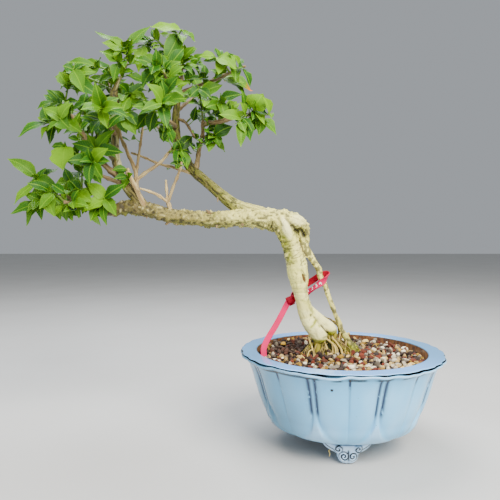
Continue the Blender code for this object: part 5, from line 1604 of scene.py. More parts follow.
@dataclass(frozen=True)
class LivingBark:
    """Finish of thin pale bark over living wood, with moss in its wrinkles."""

    cream: str = "#F4EE86"
    pale: str = "#FAF4B4"
    tan: str = "#908640"
    brown: str = "#4E3F1C"
    moss: str = "#5F6408"
    bright_moss: str = "#949A06"
    crack: str = "#1C1606"
    rust: str = "#5C3C06"

    def material(self) -> bpy.types.Material:
        """Builds the node material.

        Returns:
            The material.
        """
        paint = Paint("living_bark_water_jasmine", 0.72, self.cream, "bark_co")
        # Bark darkens from cream to tan and brown towards the old branch ends
        paint.lay(self.tan, "age", 0.0, 0.55)
        paint.lay(self.brown, "age", 0.5, 1.0)
        paint.lay(self.pale, "pale")
        # Streaks along the grain, a few millimetres wide
        dark = paint.blend(paint.colour, self.brown, 0.4)
        paint.lay(dark, paint.pattern(2.2, 3, (5, 1, 1)), 0.5, 0.74)
        # Thin algae and moss stain the wrinkles olive, and olive paints shade on the trunk's sides
        stain = paint.add_node("MapRange", paint.pattern(4.0, 4), 0.3, 0.58)
        paint.lay(self.moss, paint.add_node("Math", "moss", stain, operation="MULTIPLY"))
        paint.lay(self.bright_moss, "bright")
        paint.lay(self.rust, "rust")
        # Specks of lichen and pores, about a millimetre wide
        pores = paint.pattern(0.9, 2, (1, 1.6, 1.6))
        paint.lay(self.brown, pores, 0.65, 0.78)
        # Near black in cracks, pits and marks, and as painted shade in the hollows between stems
        paint.lay(self.crack, "crack")
        return paint.finish(paint.blend(paint.pattern(0.8, 3, (2.5, 1, 1)), pores, 0.5), 0.35, 0.7)


@dataclass(frozen=True)
class TwigBark:
    """Finish of thin twigs, some of them dead and bleached."""

    live: str = "#5E4728"
    shaded: str = "#332514"
    dead: str = "#D2BC82"
    pink: str = "#8E7040"

    def material(self) -> bpy.types.Material:
        """Builds the node material.

        Returns:
            The material.
        """
        paint = Paint("twig_bark_dry", 0.75, self.shaded, "bark_co")
        grain = paint.pattern(1.6, 3, (5, 1, 1))
        paint.lay(self.live, grain)
        # Dead twigs bleach to a pinkish cream in long strips
        paint.lay(paint.blend(self.pink, self.dead, grain, 0.35, 0.6), "bleach")
        return paint.finish(grain, 0.4, 0.9)


@dataclass(frozen=True)
class RootSkin:
    """Finish of fine exposed roots, yellow-brown and pale."""

    brown: str = "#35260C"
    straw: str = "#CCB464"
    moss: str = "#8A800E"

    def material(self) -> bpy.types.Material:
        """Builds the node material.

        Returns:
            The material.
        """
        paint = Paint("fine_root_skin", 0.8, self.brown)
        paint.lay(self.straw, "tone")
        # Moss has taken hold on some of the roots
        paint.lay(self.moss, paint.pattern(5, 3), 0.56, 0.7)
        paint.lay(self.moss, "tone", 0.2, 0.08)
        return paint.finish(paint.pattern(0.7), 0.2, 0.6)


@dataclass(frozen=True)
class MossTuft:
    """Finish of short cushion moss."""

    tip: str = "#8E9A08"
    base: str = "#2E3004"

    def material(self) -> bpy.types.Material:
        """Builds the node material.

        Returns:
            The material.
        """
        paint = Paint("cushion_moss", 0.9, self.base, Subsurface_Weight=0.1)
        # The tips are fresh and bright, and the base is dark and damp
        paint.lay(self.tip, "tone")
        return paint.finish()


def stroke(seen: np.ndarray, start: Sequence[float], end: Sequence[float],
           half: float) -> np.ndarray:
    """How much each point lies on a straight stroke, as seen from the eye.

    Args:
        seen: Rows of x and z as seen.
        start: Where the stroke starts.
        end: Where it ends.
        half: Its half width in millimetres.

    Returns:
        1 on the stroke, falling to 0 beside it.
    """
    first, ahead = np.array(start), np.array(end) - np.array(start)
    share = np.clip((seen - first) @ ahead / (ahead @ ahead), 0, 1)
    return np.exp(-(np.linalg.norm(seen - first - share[:, None] * ahead, axis=1) / half) ** 2)


def rounded(run: RunPath) -> RunPath:
    """Adds smaller rings past both ends of a run, so that its tube ends round.

    Args:
        run: A run's places and radii.

    Returns:
        The run with three more rings past each end.
    """
    ends = []
    for (place, radius), (before, _) in ((run[0], run[1]), (run[-1], run[-2])):
        ahead = (place - before).normalized()
        ends.append([(place + ahead * radius * step, radius * share)
                     for step, share in ((0.38, 0.9), (0.68, 0.68), (0.88, 0.4))])
    return list(reversed(ends[0])) + list(run) + ends[1]


class RunSamples:
    """Close samples along the wood, to find where on which run a point lies."""

    def __init__(self, runs: Iterable[tuple[str, RunPath]]) -> None:
        """Samples the named runs.

        Args:
            runs: Each run's name and its points and radii.
        """
        rows, names = [], []
        for name, run in runs:
            reached = 0.0
            across = (run[1][0] - run[0][0]).orthogonal().normalized()
            for index, (place, radius) in enumerate(run):
                before = run[max(index - 1, 0)][0]
                after = run[min(index + 1, len(run) - 1)][0]
                ahead = (after - before).normalized()
                across = (across - ahead * across.dot(ahead)).normalized()
                reached += (place - before).length
                rows.append((*place, radius, reached, *ahead, *across))
                names.append(name)
        table = np.array(rows)
        self.names = np.array(names)
        self.places, self.radii, self.distances = table[:, :3], table[:, 3], table[:, 4]
        self.aheads, self.acrosses = table[:, 5:8], table[:, 8:]

    def nearest(self, points: np.ndarray) -> tuple[np.ndarray, np.ndarray]:
        """Finds each point's run and its straightened place.

        Args:
            points: Rows of x, y, z in millimetres.

        Returns:
            Names of the runs, and rows of the distance along the run and two across it.
        """
        found = nearest_rows(points, self.places, self.radii)
        offset = points - self.places[found]
        ahead, across = self.aheads[found], self.acrosses[found]
        along = self.distances[found] + (offset * ahead).sum(axis=1)
        sides = [(offset * way).sum(axis=1) for way in (across, np.cross(ahead, across))]
        return self.names[found], np.column_stack([along, *sides])


class StemSkin:
    """The skin of the stems: what each point lies on, its relief and its colours."""

    def __init__(self, mesh: bpy.types.Mesh, samples: RunSamples) -> None:
        """Reads where each point of the joined stems lies.

        Args:
            mesh: The joined stems.
            samples: Samples along their runs.
        """
        self.mesh = mesh
        self.points, self.normals = points_of(mesh), normals_of(mesh)
        self.names, self.bark = samples.nearest(self.points)
        self.front = smooth_step(0.2, -0.5, self.normals[:, 1])
        self.under = smooth_step(0.0, -0.8, self.normals[:, 2])
        x, z = self.points[:, 0] - TREE_X, self.points[:, 2]
        middle, level, half, high = ELBOW
        self.elbow = np.exp(-(((x - middle) / half) ** 2 + ((z - level) / high) ** 2))
        # A smooth pale oval and a knob, where old wounds have healed over
        self.seen = seen_from_eye(self.points)
        oval = smooth_step(1.2, 0.8, self.slanting(*HEALED_OVAL)) * self.front
        middle, level, half, high = HEALED_KNOB
        out = np.hypot((x - middle) / half, (z - level) / high)
        knob = 0.75 * smooth_step(1.3, 0.6, out)
        self.healed = np.clip(oval + knob * (z > 212), 0, 1)
        # A scar where a shoot was cut
        self.scar = smooth_step(1.25, 0.7, self.slanting(*CUT_SCAR)) * self.front
        self.scar *= self.on("trunk")

    def slanting(self, x: float, z: float, slant: float, wide: float, high: float) -> np.ndarray:
        """Distance from a slanting oval's middle as seen, with 1 on its edge.

        Args:
            x: Its middle's place to the right.
            z: Its middle's height.
            slant: How far it leans to the left for each millimetre up.
            wide: Half its width.
            high: Half its height.

        Returns:
            The distance for each point.
        """
        up = self.seen[:, 1] - z
        return np.hypot((self.seen[:, 0] - x + up * slant) / wide, up / high)

    def on(self, *names: str) -> np.ndarray:
        """True where a point lies on one of the named runs."""
        return np.isin(self.names, names)

    def of_kind(self, kind: BarkKind) -> np.ndarray:
        """1 where a point's bark is of a kind, and 0 elsewhere."""
        return self.on(*(name for name, own in BARKS.items() if own is kind)).astype(float)

    def relief(self) -> tuple[np.ndarray, np.ndarray]:
        """Works out the height of the bark and the depth of its cracks.

        Returns:
            Millimetres to move out, and crack depth from 0 to 1.
        """
        points, bark, z = self.points, self.bark, self.points[:, 2]
        broad = layered_noise(points, 20, 2, 1)
        mid = layered_noise(points, 7, 2, 2)
        fine = layered_noise(points, 2.6, 2, 3)
        flutes = layered_noise(bark / np.array([34, 5.5, 5.5]), 1, 2, 4)
        folds = np.abs(layered_noise(bark / np.array([2.6, 15, 15]), 1, 2, 5))
        gaps = np.abs(layered_noise(bark / np.array([13, 2.5, 2.5]), 1, 2, 6))
        cork = np.abs(layered_noise(points / np.array([6.5, 5, 3.2]), 1, 3, 7))
        wrinkled, knobbly, fissured, root = (self.of_kind(kind) for kind in (
            BarkKind.WRINKLED, BarkKind.KNOBBLY, BarkKind.FISSURED, BarkKind.ROOT))
        zone = smooth_step(172, 179, z) * smooth_step(207, 200, z)
        zone = np.maximum(zone, 0.4 * smooth_step(138, 146, z) * smooth_step(166, 158, z))
        height = wrinkled * (0.8 * broad + 0.6 * flutes + 0.3 * mid + 0.3 * fine
                             + zone * (1.8 * folds - 0.5))
        lumps = np.maximum(mid - 0.1, 0) * (2.4 + 3.2 * self.under)
        spots = np.maximum(fine - 0.1, 0) * 2.4
        height += knobbly * (0.5 * broad + lumps + spots + 0.45 * fine)
        height += self.elbow * (1 - fissured) * (2.6 * cork - 0.7) * (wrinkled * 0.25 + knobbly)
        gap = smooth_step(0.16, 0.02, gaps)
        height += fissured * (0.5 * broad + 0.25 * fine + 0.35 * mid - 0.75 * gap)
        height += root * (0.4 * broad + 0.35 * flutes + 0.3 * mid + 0.35 * fine)
        crack = fissured * gap * 0.85
        for deep in (wrinkled * zone * smooth_step(0.13, 0.02, folds),
                     knobbly * smooth_step(-0.1, -0.36, fine),
                     self.elbow * (wrinkled * 0.3 + knobbly) * smooth_step(0.09, 0.0, cork)):
            crack = np.maximum(crack, 0.75 * deep)
        return height, crack

    def carve(self) -> None:
        """Moves the points to the bark's relief, with the noted marks and the scar."""
        height, crack = self.relief()
        height *= 1 - 0.85 * self.healed
        self.crack = crack * (1 - self.healed)
        ragged = layered_noise(self.points, 3.2, 2, 9)
        frayed = layered_noise(self.points, 2.7, 2, 19)
        edge = self.seen + np.column_stack([ragged, -0.6 * frayed]) * 0.9
        self.marked = np.zeros((4, len(height)))
        for *ends, half, deep, dark, rusty, green in MARKS:
            line = stroke(edge, ends[:2], ends[2:], half) * self.front
            kinds = np.array([[deep], [dark], [rusty], [green]])
            self.marked = np.maximum(self.marked, line * kinds)
        height -= self.marked[0] * (1 + 0.5 * ragged) + 1.6 * self.scar
        self.points = self.points + self.normals * height[:, None]
        place_points(self.mesh, self.points)

    def colour(self) -> None:
        """Writes the attributes that LivingBark reads."""
        x, z = self.points[:, 0] - TREE_X, self.points[:, 2]
        sideways = normals_of(self.mesh)[:, 0]
        patch = layered_noise(self.points, 15, 3, 12)
        lower = self.on("elbow_and_lower_branch", "heel")
        upper = self.on("upper_branch")
        strand = self.on("strand", "strand_tie")
        lobes = self.on("left_root_lobe", "right_root_lobe")
        trunk = self.on("trunk") | (self.on("heel") & (z < 207))
        # Bark is browner towards the branch ends, and on the lower branch's downward faces
        age = np.zeros(len(z))
        for where, years in (
                (lower, 0.15 + 0.75 * smooth_step(-85, -215, x) + 0.15 * self.under),
                (upper, 0.32 + 0.45 * smooth_step(-110, -150, x)), (self.on("left_stem"), 0.8),
                (strand, 0.14 + 0.16 * smooth_step(150, 120, z))):
            age = np.where(where, years, age)
        # Moss gathers on the trunk's left, in a band under the elbow and on the flare
        left_side = smooth_step(-49, -58, x + 0.25 * (z - 190))
        band = smooth_step(174, 183, z) * smooth_step(214, 204, z)
        turned = smooth_step(0.3, 0.9, sideways) * smooth_step(165, 150, z)
        low = smooth_step(105.5, 101.5, z + 3.5 * patch) \
            + smooth_step(-19, -15.5, x) * smooth_step(112.5, 109, z + 2.5 * patch)
        moss = 0.12 + 0.5 * smooth_step(0.1, 0.5, patch)
        # Olive film on the trunk's right side low down, and painted shade along both its sides
        facing_tint = np.maximum(0.8 * turned, 0.22 * smooth_step(0.55, 0.95, np.abs(sideways)))
        facing_tint = np.maximum(facing_tint, band * (0.25 + 0.7 * left_side))
        moss = np.where(trunk, np.maximum(moss * 0.6, facing_tint), moss)
        moss = np.maximum(moss, 0.8 * self.elbow * smooth_step(-0.2, 0.3, patch))
        moss = np.where(lobes | trunk, np.maximum(moss * np.where(lobes, 0.4, 1), low), moss)
        moss = np.where(upper, 0.75 * smooth_step(-92, -112, x) + 0.1, moss)
        moss = np.where(strand, np.maximum(0.3 * smooth_step(0, 0.4, patch), 0.3 * low), moss)
        # The lower branch is olive on its downward faces
        facing_tint = 0.9 * self.under * (0.7 + 0.5 * patch)
        moss = np.where(lower, np.maximum(moss * 0.8, facing_tint), moss)
        bright = np.where(strand, smooth_step(100, 93, z) * 0.85, 0.0)
        bright = np.where(lobes, 0.6 * np.clip(low, 0, 1), bright)
        bright = np.where(trunk, 0.55 * band * left_side * smooth_step(-0.3, 0.2, patch), bright)
        # Pale where the bark is rubbed, on the healed spots and in strips at the branch ends
        rubbed = 0.45 * smooth_step(0.0, -0.5, patch) + 0.3 * smooth_step(160, 120, z)
        lump = smooth_step(0.2, 0.5, layered_noise(self.points, 2.6, 2, 3))
        strips = layered_noise(self.bark / np.array([18, 2.2, 2.2]), 1, 2, 15)
        worn = smooth_step(0.1, 0.5, strips) * smooth_step(-165, -205, x) * smooth_step(240, 260, z)
        pale = np.where(trunk | lobes, rubbed, 0.0)
        for more in (lobes * 0.55 * (1 - np.clip(low, 0, 1)), self.healed * 0.7, lower * lump * 0.3,
                     worn * 0.5):
            pale = np.maximum(pale, more)
        # Pits on the strand, and painted shade in the hollows between stems that grew together
        pits = layered_noise(self.points / np.array([1, 1, 1.5]), 2.4, 2, 21)
        hollow = self.on("gusset", "lobe_web") * (0.15 + 0.75 * self.front)
        cracks = np.maximum(np.maximum(self.crack, self.marked[1]), hollow)
        cracks = np.maximum(cracks, strand * smooth_step(0.0, -0.12, pits) * 0.72)
        rim = smooth_step(0.1, 0.5, self.scar) * smooth_step(1.0, 0.6, self.scar)
        for label, rows in (
                ("bark_co", self.bark * MM), ("age", np.clip(age + 0.16 * patch, 0, 1)),
                ("moss", moss * (1 - 0.9 * self.healed) * (1 - self.scar)),
                ("bright", np.maximum(bright, self.marked[3])), ("pale", pale * (1 - self.scar)),
                ("crack", np.clip(cracks + rim * 0.5, 0, 1)),
                ("rust", np.maximum(smooth_step(0.25, 0.8, self.scar), self.marked[2]))):
            write_values(self.mesh, label, rows)


@dataclass
class Tree:
    """The woody parts: bare trunk and branches, twigs, spurs, roots and moss."""

    THICK = ("trunk", "elbow_and_lower_branch", "heel", "upper_branch", "left_stem", "strand",
             "strand_tie", "gusset", "lobe_web", "left_root_lobe", "right_root_lobe")
    voxel: float = 0.8
    # Thin roots placed by rule, and how many tufts of moss are tried
    loose_roots: int = 58
    tufts: int = 900
    # How far a twig is bleached where BLEACH doesn't name it
    plain_twig: float = 0.32

    def __post_init__(self) -> None:
        """Reads the tables of the wood and smooths its runs."""
        self.runs = {}
        tables = {name: points for name, _, points in WOOD}
        for name, (kept, rows) in FINER.items():
            before = tables.get(name, ())
            tables[name] = rows + before[len(before) - kept:]
        for name, points in tables.items():
            places = [(spread(x, z, y), r) for x, z, y, r in points]
            self.runs[name] = smooth_run(places, 6)
        self.thick = [tube(rounded(self.runs[name]), 26) for name in self.THICK]
        self.finder = WoodFinder(self.thick)
        self.rng = random.Random(23)

    def stems(self) -> bpy.types.Object:
        """Trunk, branches and strand, grown together and carved into bark.

        Returns:
            The joined stems.
        """
        parts = MeshParts()
        for verts, faces in self.thick:
            parts.add(verts, faces)
        obj = mesh_object("trunk_and_branches", parts)
        apply_modifier(obj, "REMESH", mode="VOXEL", voxel_size=self.voxel * MM)
        apply_modifier(obj, "SMOOTH", factor=0.6, iterations=7)
        thick = ((name, self.runs[name]) for name in self.THICK)
        skin = StemSkin(obj.data, RunSamples(thick))
        skin.carve()
        skin.colour()
        return dress(obj, LivingBark().material(), Slot.WOOD, ["tree"], 60)

    def add_twig(self, parts: MeshParts, run: RunPath, sides: int, bleach: float,
                 swell: float = 0.24) -> None:
        """Adds one twig with uneven thickness and swollen nodes.

        Args:
            parts: Where it goes.
            run: Its middle line and radii.
            sides: Sides of its tube.
            bleach: How far it is bleached.
            swell: Share by which its thickness varies.
        """
        reached, uneven = 0.0, []
        phase = self.rng.uniform(0, 12)
        pitch = self.rng.uniform(9, 13)
        for index, (place, radius) in enumerate(run):
            reached += (place - run[max(index - 1, 0)][0]).length
            node = math.exp(-((((reached + phase) % pitch) - pitch / 2) / 1.3) ** 2)
            wave = self.rng.uniform(-1, 1) * swell * 0.4
            uneven.append((place, max(0.35, radius * (1 + swell * node * 1.5 + wave))))
        verts, faces = tube(rounded(uneven), sides)
        rings = len(verts) // sides
        along = np.repeat(np.arange(rings) / rings * reached, sides)
        around = np.tile(np.arange(sides) / sides * 2 * math.pi, rings)
        parts.add(verts, faces, {
            "bark_co": list(zip((along + phase * 9) * MM, np.cos(around) * 1.6 * MM,
                                np.sin(around) * 1.6 * MM)),
            "bleach": bleach,
        })

    def twigs(self) -> bpy.types.Object:
        """The thinner twigs and the dead spurs.

        Returns:
            The twigs in one piece.
        """
        parts = MeshParts()
        for name, run in self.runs.items():
            if name not in self.THICK:
                wavy = self.wander(run, 0.55)
                self.add_twig(parts, wavy, 9, BLEACH.get(name, self.plain_twig))
        for start, end, radius in SPURS:
            a, b = spread(*start), spread(*end)
            back = (a - b).normalized() * 0.5
            for _ in range(14):
                if self.finder.distance(a) < -1.2:
                    break
                a, b = a + back, b + back
            run = [(a.lerp(b, k / 4), radius * (1.1 - 0.16 * k)) for k in range(5)]
            self.add_twig(parts, self.wander(run, 0.7), 9, 0.3, 0.5)
        return dress(mesh_object("twigs", parts), TwigBark().material(), Slot.WOOD, ["tree"], 60)

    def wander(self, run: RunPath, amount: float) -> RunPath:
        """Moves a run's inner points sideways a little, so that it isn't machine-smooth.

        Args:
            run: Places and radii.
            amount: The furthest move, in millimetres.

        Returns:
            The run with its inner points moved.
        """
        shift = Vector((self.rng.uniform(0, 90), 0, 0))
        moved = []
        for index, (place, radius) in enumerate(run):
            ease = min(1.0, index / 5, (len(run) - 1 - index) / 5)
            row = np.array([tuple((place + shift) / 9)] * 3) + np.array([[0, 0, 0], [40, 0, 0],
                                                                         [0, 40, 0]])
            noise = lattice_noise(row, 4)
            moved.append((place + Vector(noise) * amount * ease, radius))
        return moved

    def fine_roots(self) -> bpy.types.Object:
        """Thin exposed roots from the flare down into the mix.

        Returns:
            The roots in one piece.
        """
        parts = MeshParts()
        for thick, tone, points in EXPOSED_ROOTS:
            run = smooth_run([(spread(x, z, y), thick) for x, z, y in points], 4)
            verts, faces = tube(rounded(self.wander(run, 1.2)), 8)
            parts.add(verts, faces, {"tone": tone})
        paths = []
        for _ in range(self.loose_roots):
            angle = self.rng.uniform(-2.9, 0.5)
            reach = self.rng.uniform(0.35, 1.0)
            top = Vector((-14 + 11 * math.cos(angle) * reach, 5 + 6.5 * math.sin(angle) * reach,
                          self.rng.uniform(90, 103)))
            out = self.rng.uniform(1.1, 2.2)
            foot = Vector((-13 + 15 * math.cos(angle) * out, 5 + 10 * math.sin(angle) * out,
                           BED_TOP - 1))
            paths.append((top, foot, self.rng.uniform(0.28, 0.65), self.rng.uniform(0.22, 0.4)))
        for start, end, thick, thin in paths:
            steps = 12
            bow = Vector((self.rng.uniform(-9, 9), self.rng.uniform(-3, 2), 0))
            lift = self.rng.uniform(1.0, 4.5)
            run = []
            for k in range(steps + 1):
                share = k / steps
                place = start.lerp(end, share) + bow * math.sin(math.pi * share)
                place.z += lift * math.sin(math.pi * share) * (1 - share)
                run.append((place, thick + (thin - thick) * share))
            verts, faces = tube(rounded(self.wander(run, 2.6)), 6)
            # Loose roots are mostly dark brown, which also paints the shade between the roots
            parts.add(verts, faces, {"tone": 0.1 + 0.5 * self.rng.random() ** 3})
        return dress(mesh_object("fine_roots", parts), RootSkin().material(), Slot.WOOD,
                     ["tree"], 60)

    def moss_tufts(self, stems: bpy.types.Object) -> bpy.types.Object:
        """Short moss on the lobes' undersides and the strand's foot.

        Args:
            stems: The joined stems that the moss grows on.

        Returns:
            The moss in one piece.
        """
        points, normals = points_of(stems.data), normals_of(stems.data)
        parts = MeshParts()
        low = np.nonzero((points[:, 2] < 99) & (points[:, 2] > 83.5))[0]
        chosen = self.rng.sample(list(low), min(self.tufts, len(low)))
        for index in chosen:
            place, normal = Vector(points[index]), Vector(normals[index])
            strand = place.x > 0
            keep = 0.9 if strand and place.z < 94 else 0.55
            if self.rng.random() > keep * float(smooth_step(100, 92, place.z)):
                continue
            lean = normal + random_vector(self.rng, 0.7)
            lean.z = max(lean.z, -0.2) + 0.3
            tip = place + lean.normalized() * self.rng.uniform(0.8, 2.0)
            across = lean.orthogonal().normalized() * self.rng.uniform(0.25, 0.5)
            side = lean.normalized().cross(across)
            base = [place + across, place - across * 0.5 + side * 0.87,
                    place - across * 0.5 - side * 0.87]
            base = [corner - normal * 0.4 for corner in base]
            faces = [(0, 1, 3), (1, 2, 3), (2, 0, 3), (2, 1, 0)]
            parts.add([*base, tip], faces, {"tone": [0.15, 0.15, 0.15,
                                                     self.rng.uniform(0.5, 1.0)]})
        obj = mesh_object("moss_tufts", parts)
        fix_normals(obj)
        return dress(obj, MossTuft().material(), Slot.WOOD, ["tree"], 30)

    def build(self) -> None:
        """Makes all the woody pieces."""
        stems = self.stems()
        self.twigs()
        self.fine_roots()
        self.moss_tufts(stems)


# Crown

# Numbers of the CAD's crown, which set where each shoot and leaf finds room
BARE_WOOD = ("trunk", "heel", "strand", "strand_tie", "left_root_lobe", "right_root_lobe")
BLADE_THICK = 0.7
# A coarse blade's rows as (share of its length, share of its width), and the width from which
# it has three of them
BIG_LEAF = 11.5
SMALL_ROWS = ((0.32, 1.0), (0.68, 0.66))
BIG_ROWS = ((0.18, 0.72), (0.42, 1.0), (0.74, 0.62))
# Room kept round a new leaf or shoot
LEAF_CLEAR = 0.55
# A shoot's radius at its base and at its tip
SHOOT_RADII = (1.05, 0.7)
SHOOT_SIDES = 3
LEAF_LENGTH = 24.0
# How often a shoot or a leaf is tried
TRIES = 24
# Wood farther off than this counts as out of reach
WOOD_NEAR = 12
CROWN_MIDDLE = Vector((TREE_X - 205, 10, 300))
# Gaps in the crown as seen: middle (x, z), half width, half height, share of leaves left out
CROWN_GAPS = (
    (-158.8, 314.8, 17, 18, 0.97), (-200, 285, 33, 18, 0.98), (-214, 315, 17, 16, 0.75),
    (-187, 315, 17, 16, 0.7), (-243, 375, 15, 14, 0.9), (-152, 345, 42, 16, 0.55),
    (-243, 270, 16, 30, 0.6), (-270, 270, 16, 30, 0.5), (-130, 305, 40, 20, 0.5),
    (-268, 315, 18, 15, 0.55), (-243, 315, 14, 15, 0.45),
)

# Half width of a real blade along its length, as shares
BLADE_OUTLINE = (
    (0.0, 0.05), (0.05, 0.12), (0.12, 0.5), (0.23, 0.86), (0.38, 1.0), (0.54, 0.95), (0.69, 0.72),
    (0.82, 0.4), (0.92, 0.15), (1.0, 0.0),
)
SMALL_OUTLINE = ((0.0, 0.1), (0.12, 0.5), (0.36, 1.0), (0.64, 0.82), (0.86, 0.32), (1.0, 0.0))
# Places across a real blade, as shares of its half width
BLADE_SPLITS = (-1.0, -0.5, 0.0, 0.5, 1.0)
# From one side vein to the next
VEIN_PITCH = 2.4


class LeafLook(Enum):
    """Leaves that differ from the rest in the photograph."""

    PLAIN = "plain"
    HEART = "big lime heart"
    ROUND = "round and folded"
    BURNT = "orange at its tip"


# Named leaves with a look of their own, by their tip (x, z)
LOOKS = {
    (-281, 271): LeafLook.HEART, (-82, 347): LeafLook.ROUND, (-92, 349.5): LeafLook.BURNT,
    (-108, 371): LeafLook.ROUND,
}


@dataclass
class LeafForm:
    """Where one leaf grows and how it is bent."""

    base: Vector
    tip: Vector
    facing: Vector
    width: float
    arch: float
    fold: float
    wave: float
    look: LeafLook = LeafLook.PLAIN

    def grown(self, grow: float, start: float = 0.0) -> Solid:
        """The CAD's coarse blade, thickened for a test of room.

        Args:
            grow: Millimetres added all round.
            start: Share of the blade left out at its base.

        Returns:
            Its points and faces.
        """
        base = self.base + (self.tip - self.base) * start
        along = self.tip - base
        length = along.length
        along.normalize()
        side = along.cross(self.facing).normalized()
        face = side.cross(along)
        rows = BIG_ROWS if self.width >= BIG_LEAF else SMALL_ROWS
        thick = (BLADE_THICK / 2 + grow) * face
        middles = []
        for index, (share, part) in enumerate(rows):
            middle = base + along * length * share + face * self.arch * 4 * share * (1 - share)
            half = side * (self.width / 2 * part + grow)
            ripple = face * self.wave * (1 if index % 2 else -1)
            lift = face * self.fold * part
            middles += [middle - half + lift + ripple, middle, middle + half + lift - ripple]
        middles.append(self.tip + along * grow)
        verts = [base] + [p - thick for p in middles] + [p + thick for p in middles]
        return verts, blade_faces(len(rows), len(middles))


def blade_faces(rows: int, count: int) -> list:
    """Triangles of a coarse blade.

    Args:
        rows: Rows across it.
        count: Points on each of its faces.

    Returns:
        Both faces, split alike, and the thin rim between them.
    """
    top = [(0, 2, 1), (0, 3, 2)]
    for row in range(rows - 1):
        a = 1 + 3 * row
        top += [(a, a + 1, a + 4), (a, a + 4, a + 3), (a + 1, a + 2, a + 5), (a + 1, a + 5, a + 4)]
    last = count - 3
    top += [(last, last + 1, count), (last + 1, last + 2, count)]
    faces = [tuple(count + k if k else 0 for k in tri) for tri in top]
    faces += [tuple(reversed(tri)) for tri in top]
    left = [1 + 3 * row for row in range(rows)] + [count]
    right = [3 + 3 * row for row in range(rows)] + [count]
    faces.append((0, count + left[0], left[0]))
    faces.append((0, right[0], count + right[0]))
    for a, b in zip(left, left[1:]):
        faces += [(a, count + a, count + b), (a, count + b, b)]
    for a, b in zip(right, right[1:]):
        faces += [(a, b, count + b), (a, count + b, count + a)]
    return faces


def tree_of(solid: Solid) -> BVHTree:
    """A search tree of a solid's faces."""
    verts, faces = solid
    return BVHTree.FromPolygons([Vector(v) for v in verts], faces)


def sphere_of(verts: Sequence[Any]) -> tuple[Vector, float]:
    """A ball round a few points, for a quick test of nearness."""
    middle = sum((Vector(v) for v in verts), Vector()) / len(verts)
    return middle, max((Vector(v) - middle).length for v in verts)


class Clearance:
    """What is already placed, so that each new leaf or shoot keeps clear of it."""

    def __init__(self, wood: Sequence[Solid]) -> None:
        """Starts with the wood alone.

        Args:
            wood: The tubes of the wood.
        """
        self.wood = [(tree_of(solid), *sphere_of(solid[0])) for solid in wood]
        self.leafy: list = []

    def free(self, solid: Solid, skip_wood: bool = False) -> bool:
        """True where a solid touches nothing that was placed before.

        Args:
            solid: Its points and faces.
            skip_wood: Leaves the wood out of the test.

        Returns:
            Whether there is room.
        """
        own = tree_of(solid)
        middle, reach = sphere_of(solid[0])
        others = self.leafy if skip_wood else self.leafy + self.wood
        for other, centre, radius in others:
            if (centre - middle).length < reach + radius and own.overlap(other):
                return False
        return True

    def add(self, solid: Solid) -> None:
        """Keeps a placed solid."""
        self.leafy.append((tree_of(solid), *sphere_of(solid[0])))

    def wood_distance(self, place: Vector) -> float:
        """Distance outside the wood near a place, negative inside it."""
        return min((outside(tree, place) for tree, centre, radius in self.wood
                    if (centre - place).length <= radius + WOOD_NEAR), default=math.inf)


def nearest_wood(tip: Vector, runs: Sequence[tuple[str, RunPath]]) -> list[Vector]:
    """Places on the wood that a shoot to this tip could grow from, the likeliest first.

    Args:
        tip: Where the shoot ends.
        runs: Names and runs of the wood.

    Returns:
        The places, in the order of their cost.
    """
    places = []
    for name, run in runs:
        if name in BARE_WOOD:
            continue
        for place, radius in run[1:]:
            offset = tip - place
            cost = offset.length + 1.6 * max(0.0, 6.0 - offset.z) + 2.0 * radius
            if offset.length > 5:
                places.append((cost, place))
    places.sort(key=lambda pair: pair[0])
    return [place for _, place in places]


def seat(path: Sequence[Vector], clearance: Clearance) -> int:
    """The first step of a path whose whole end stands the usual gap clear of the wood.

    Args:
        path: Points from the wood to the shoot's tip.
        clearance: What is already placed.

    Returns:
        The number of that step.
    """
    for start in range(len(path) - 12):
        ahead = (path[start + 1] - path[start]).normalized()
        across = ahead.orthogonal().normalized() * SHOOT_RADII[0]
        around = [
            path[start] + Matrix.Rotation(k * math.pi / 3, 3, ahead) @ across for k in range(6)
        ]
        if all(clearance.wood_distance(p) >= CLEARANCE for p in around + [path[start]]):
            return start
    return len(path) // 2


def shoot_run(roots: Sequence[Vector], tip: Vector, rng: random.Random,
              clearance: Clearance) -> Optional[RunPath]:
    """A green shoot from just clear of the wood to its tip.

    Args:
        roots: Places on the wood that it could grow from.
        tip: Where it ends.
        rng: The crown's own draws.
        clearance: What is already placed.

    Returns:
        Three (point, radius) pairs, or None where there is no room.
    """
    for attempt in range(TRIES):
        root = roots[attempt // 4]
        reach = (tip - root).length
        stray = Vector([rng.uniform(-0.04, 0.04) * attempt * reach for _ in range(3)])
        bend = root.lerp(tip, 0.5) + Vector((0, 0, 0.12 * reach)) + stray
        path = [place for place, _ in smooth_run([(root, 0.0), (bend, 0.0), (tip, 0.0)], 60)]
        start = seat(path, clearance)
        rest = len(path) - 1 - start
        places = [path[start + round(rest * share)] for share in (0, 0.5, 1)]
        run = list(zip(places, (SHOOT_RADII[0], sum(SHOOT_RADII) / 2, SHOOT_RADII[1])))
        wide = tube([(place, radius + LEAF_CLEAR) for place, radius in run], SHOOT_SIDES)
        off_wood = tube([(p, r + LEAF_CLEAR) for p, r in run[1:]], SHOOT_SIDES)
        if clearance.free(wide, skip_wood=True) and clearance.free(off_wood):
            return run
    return None


def at_share(run: RunPath, share: float) -> tuple[Vector, Vector]:
    """Place and direction at a share of the way along a shoot.

    Args:
        run: The shoot.
        share: The share, from 0 at its base to 1.

    Returns:
        The place and the direction of growth.
    """
    spot = min(share, 0.999) * (len(run) - 1)
    first = int(spot)
    a, b = run[first][0], run[first + 1][0]
    return a.lerp(b, spot - first), (b - a).normalized()


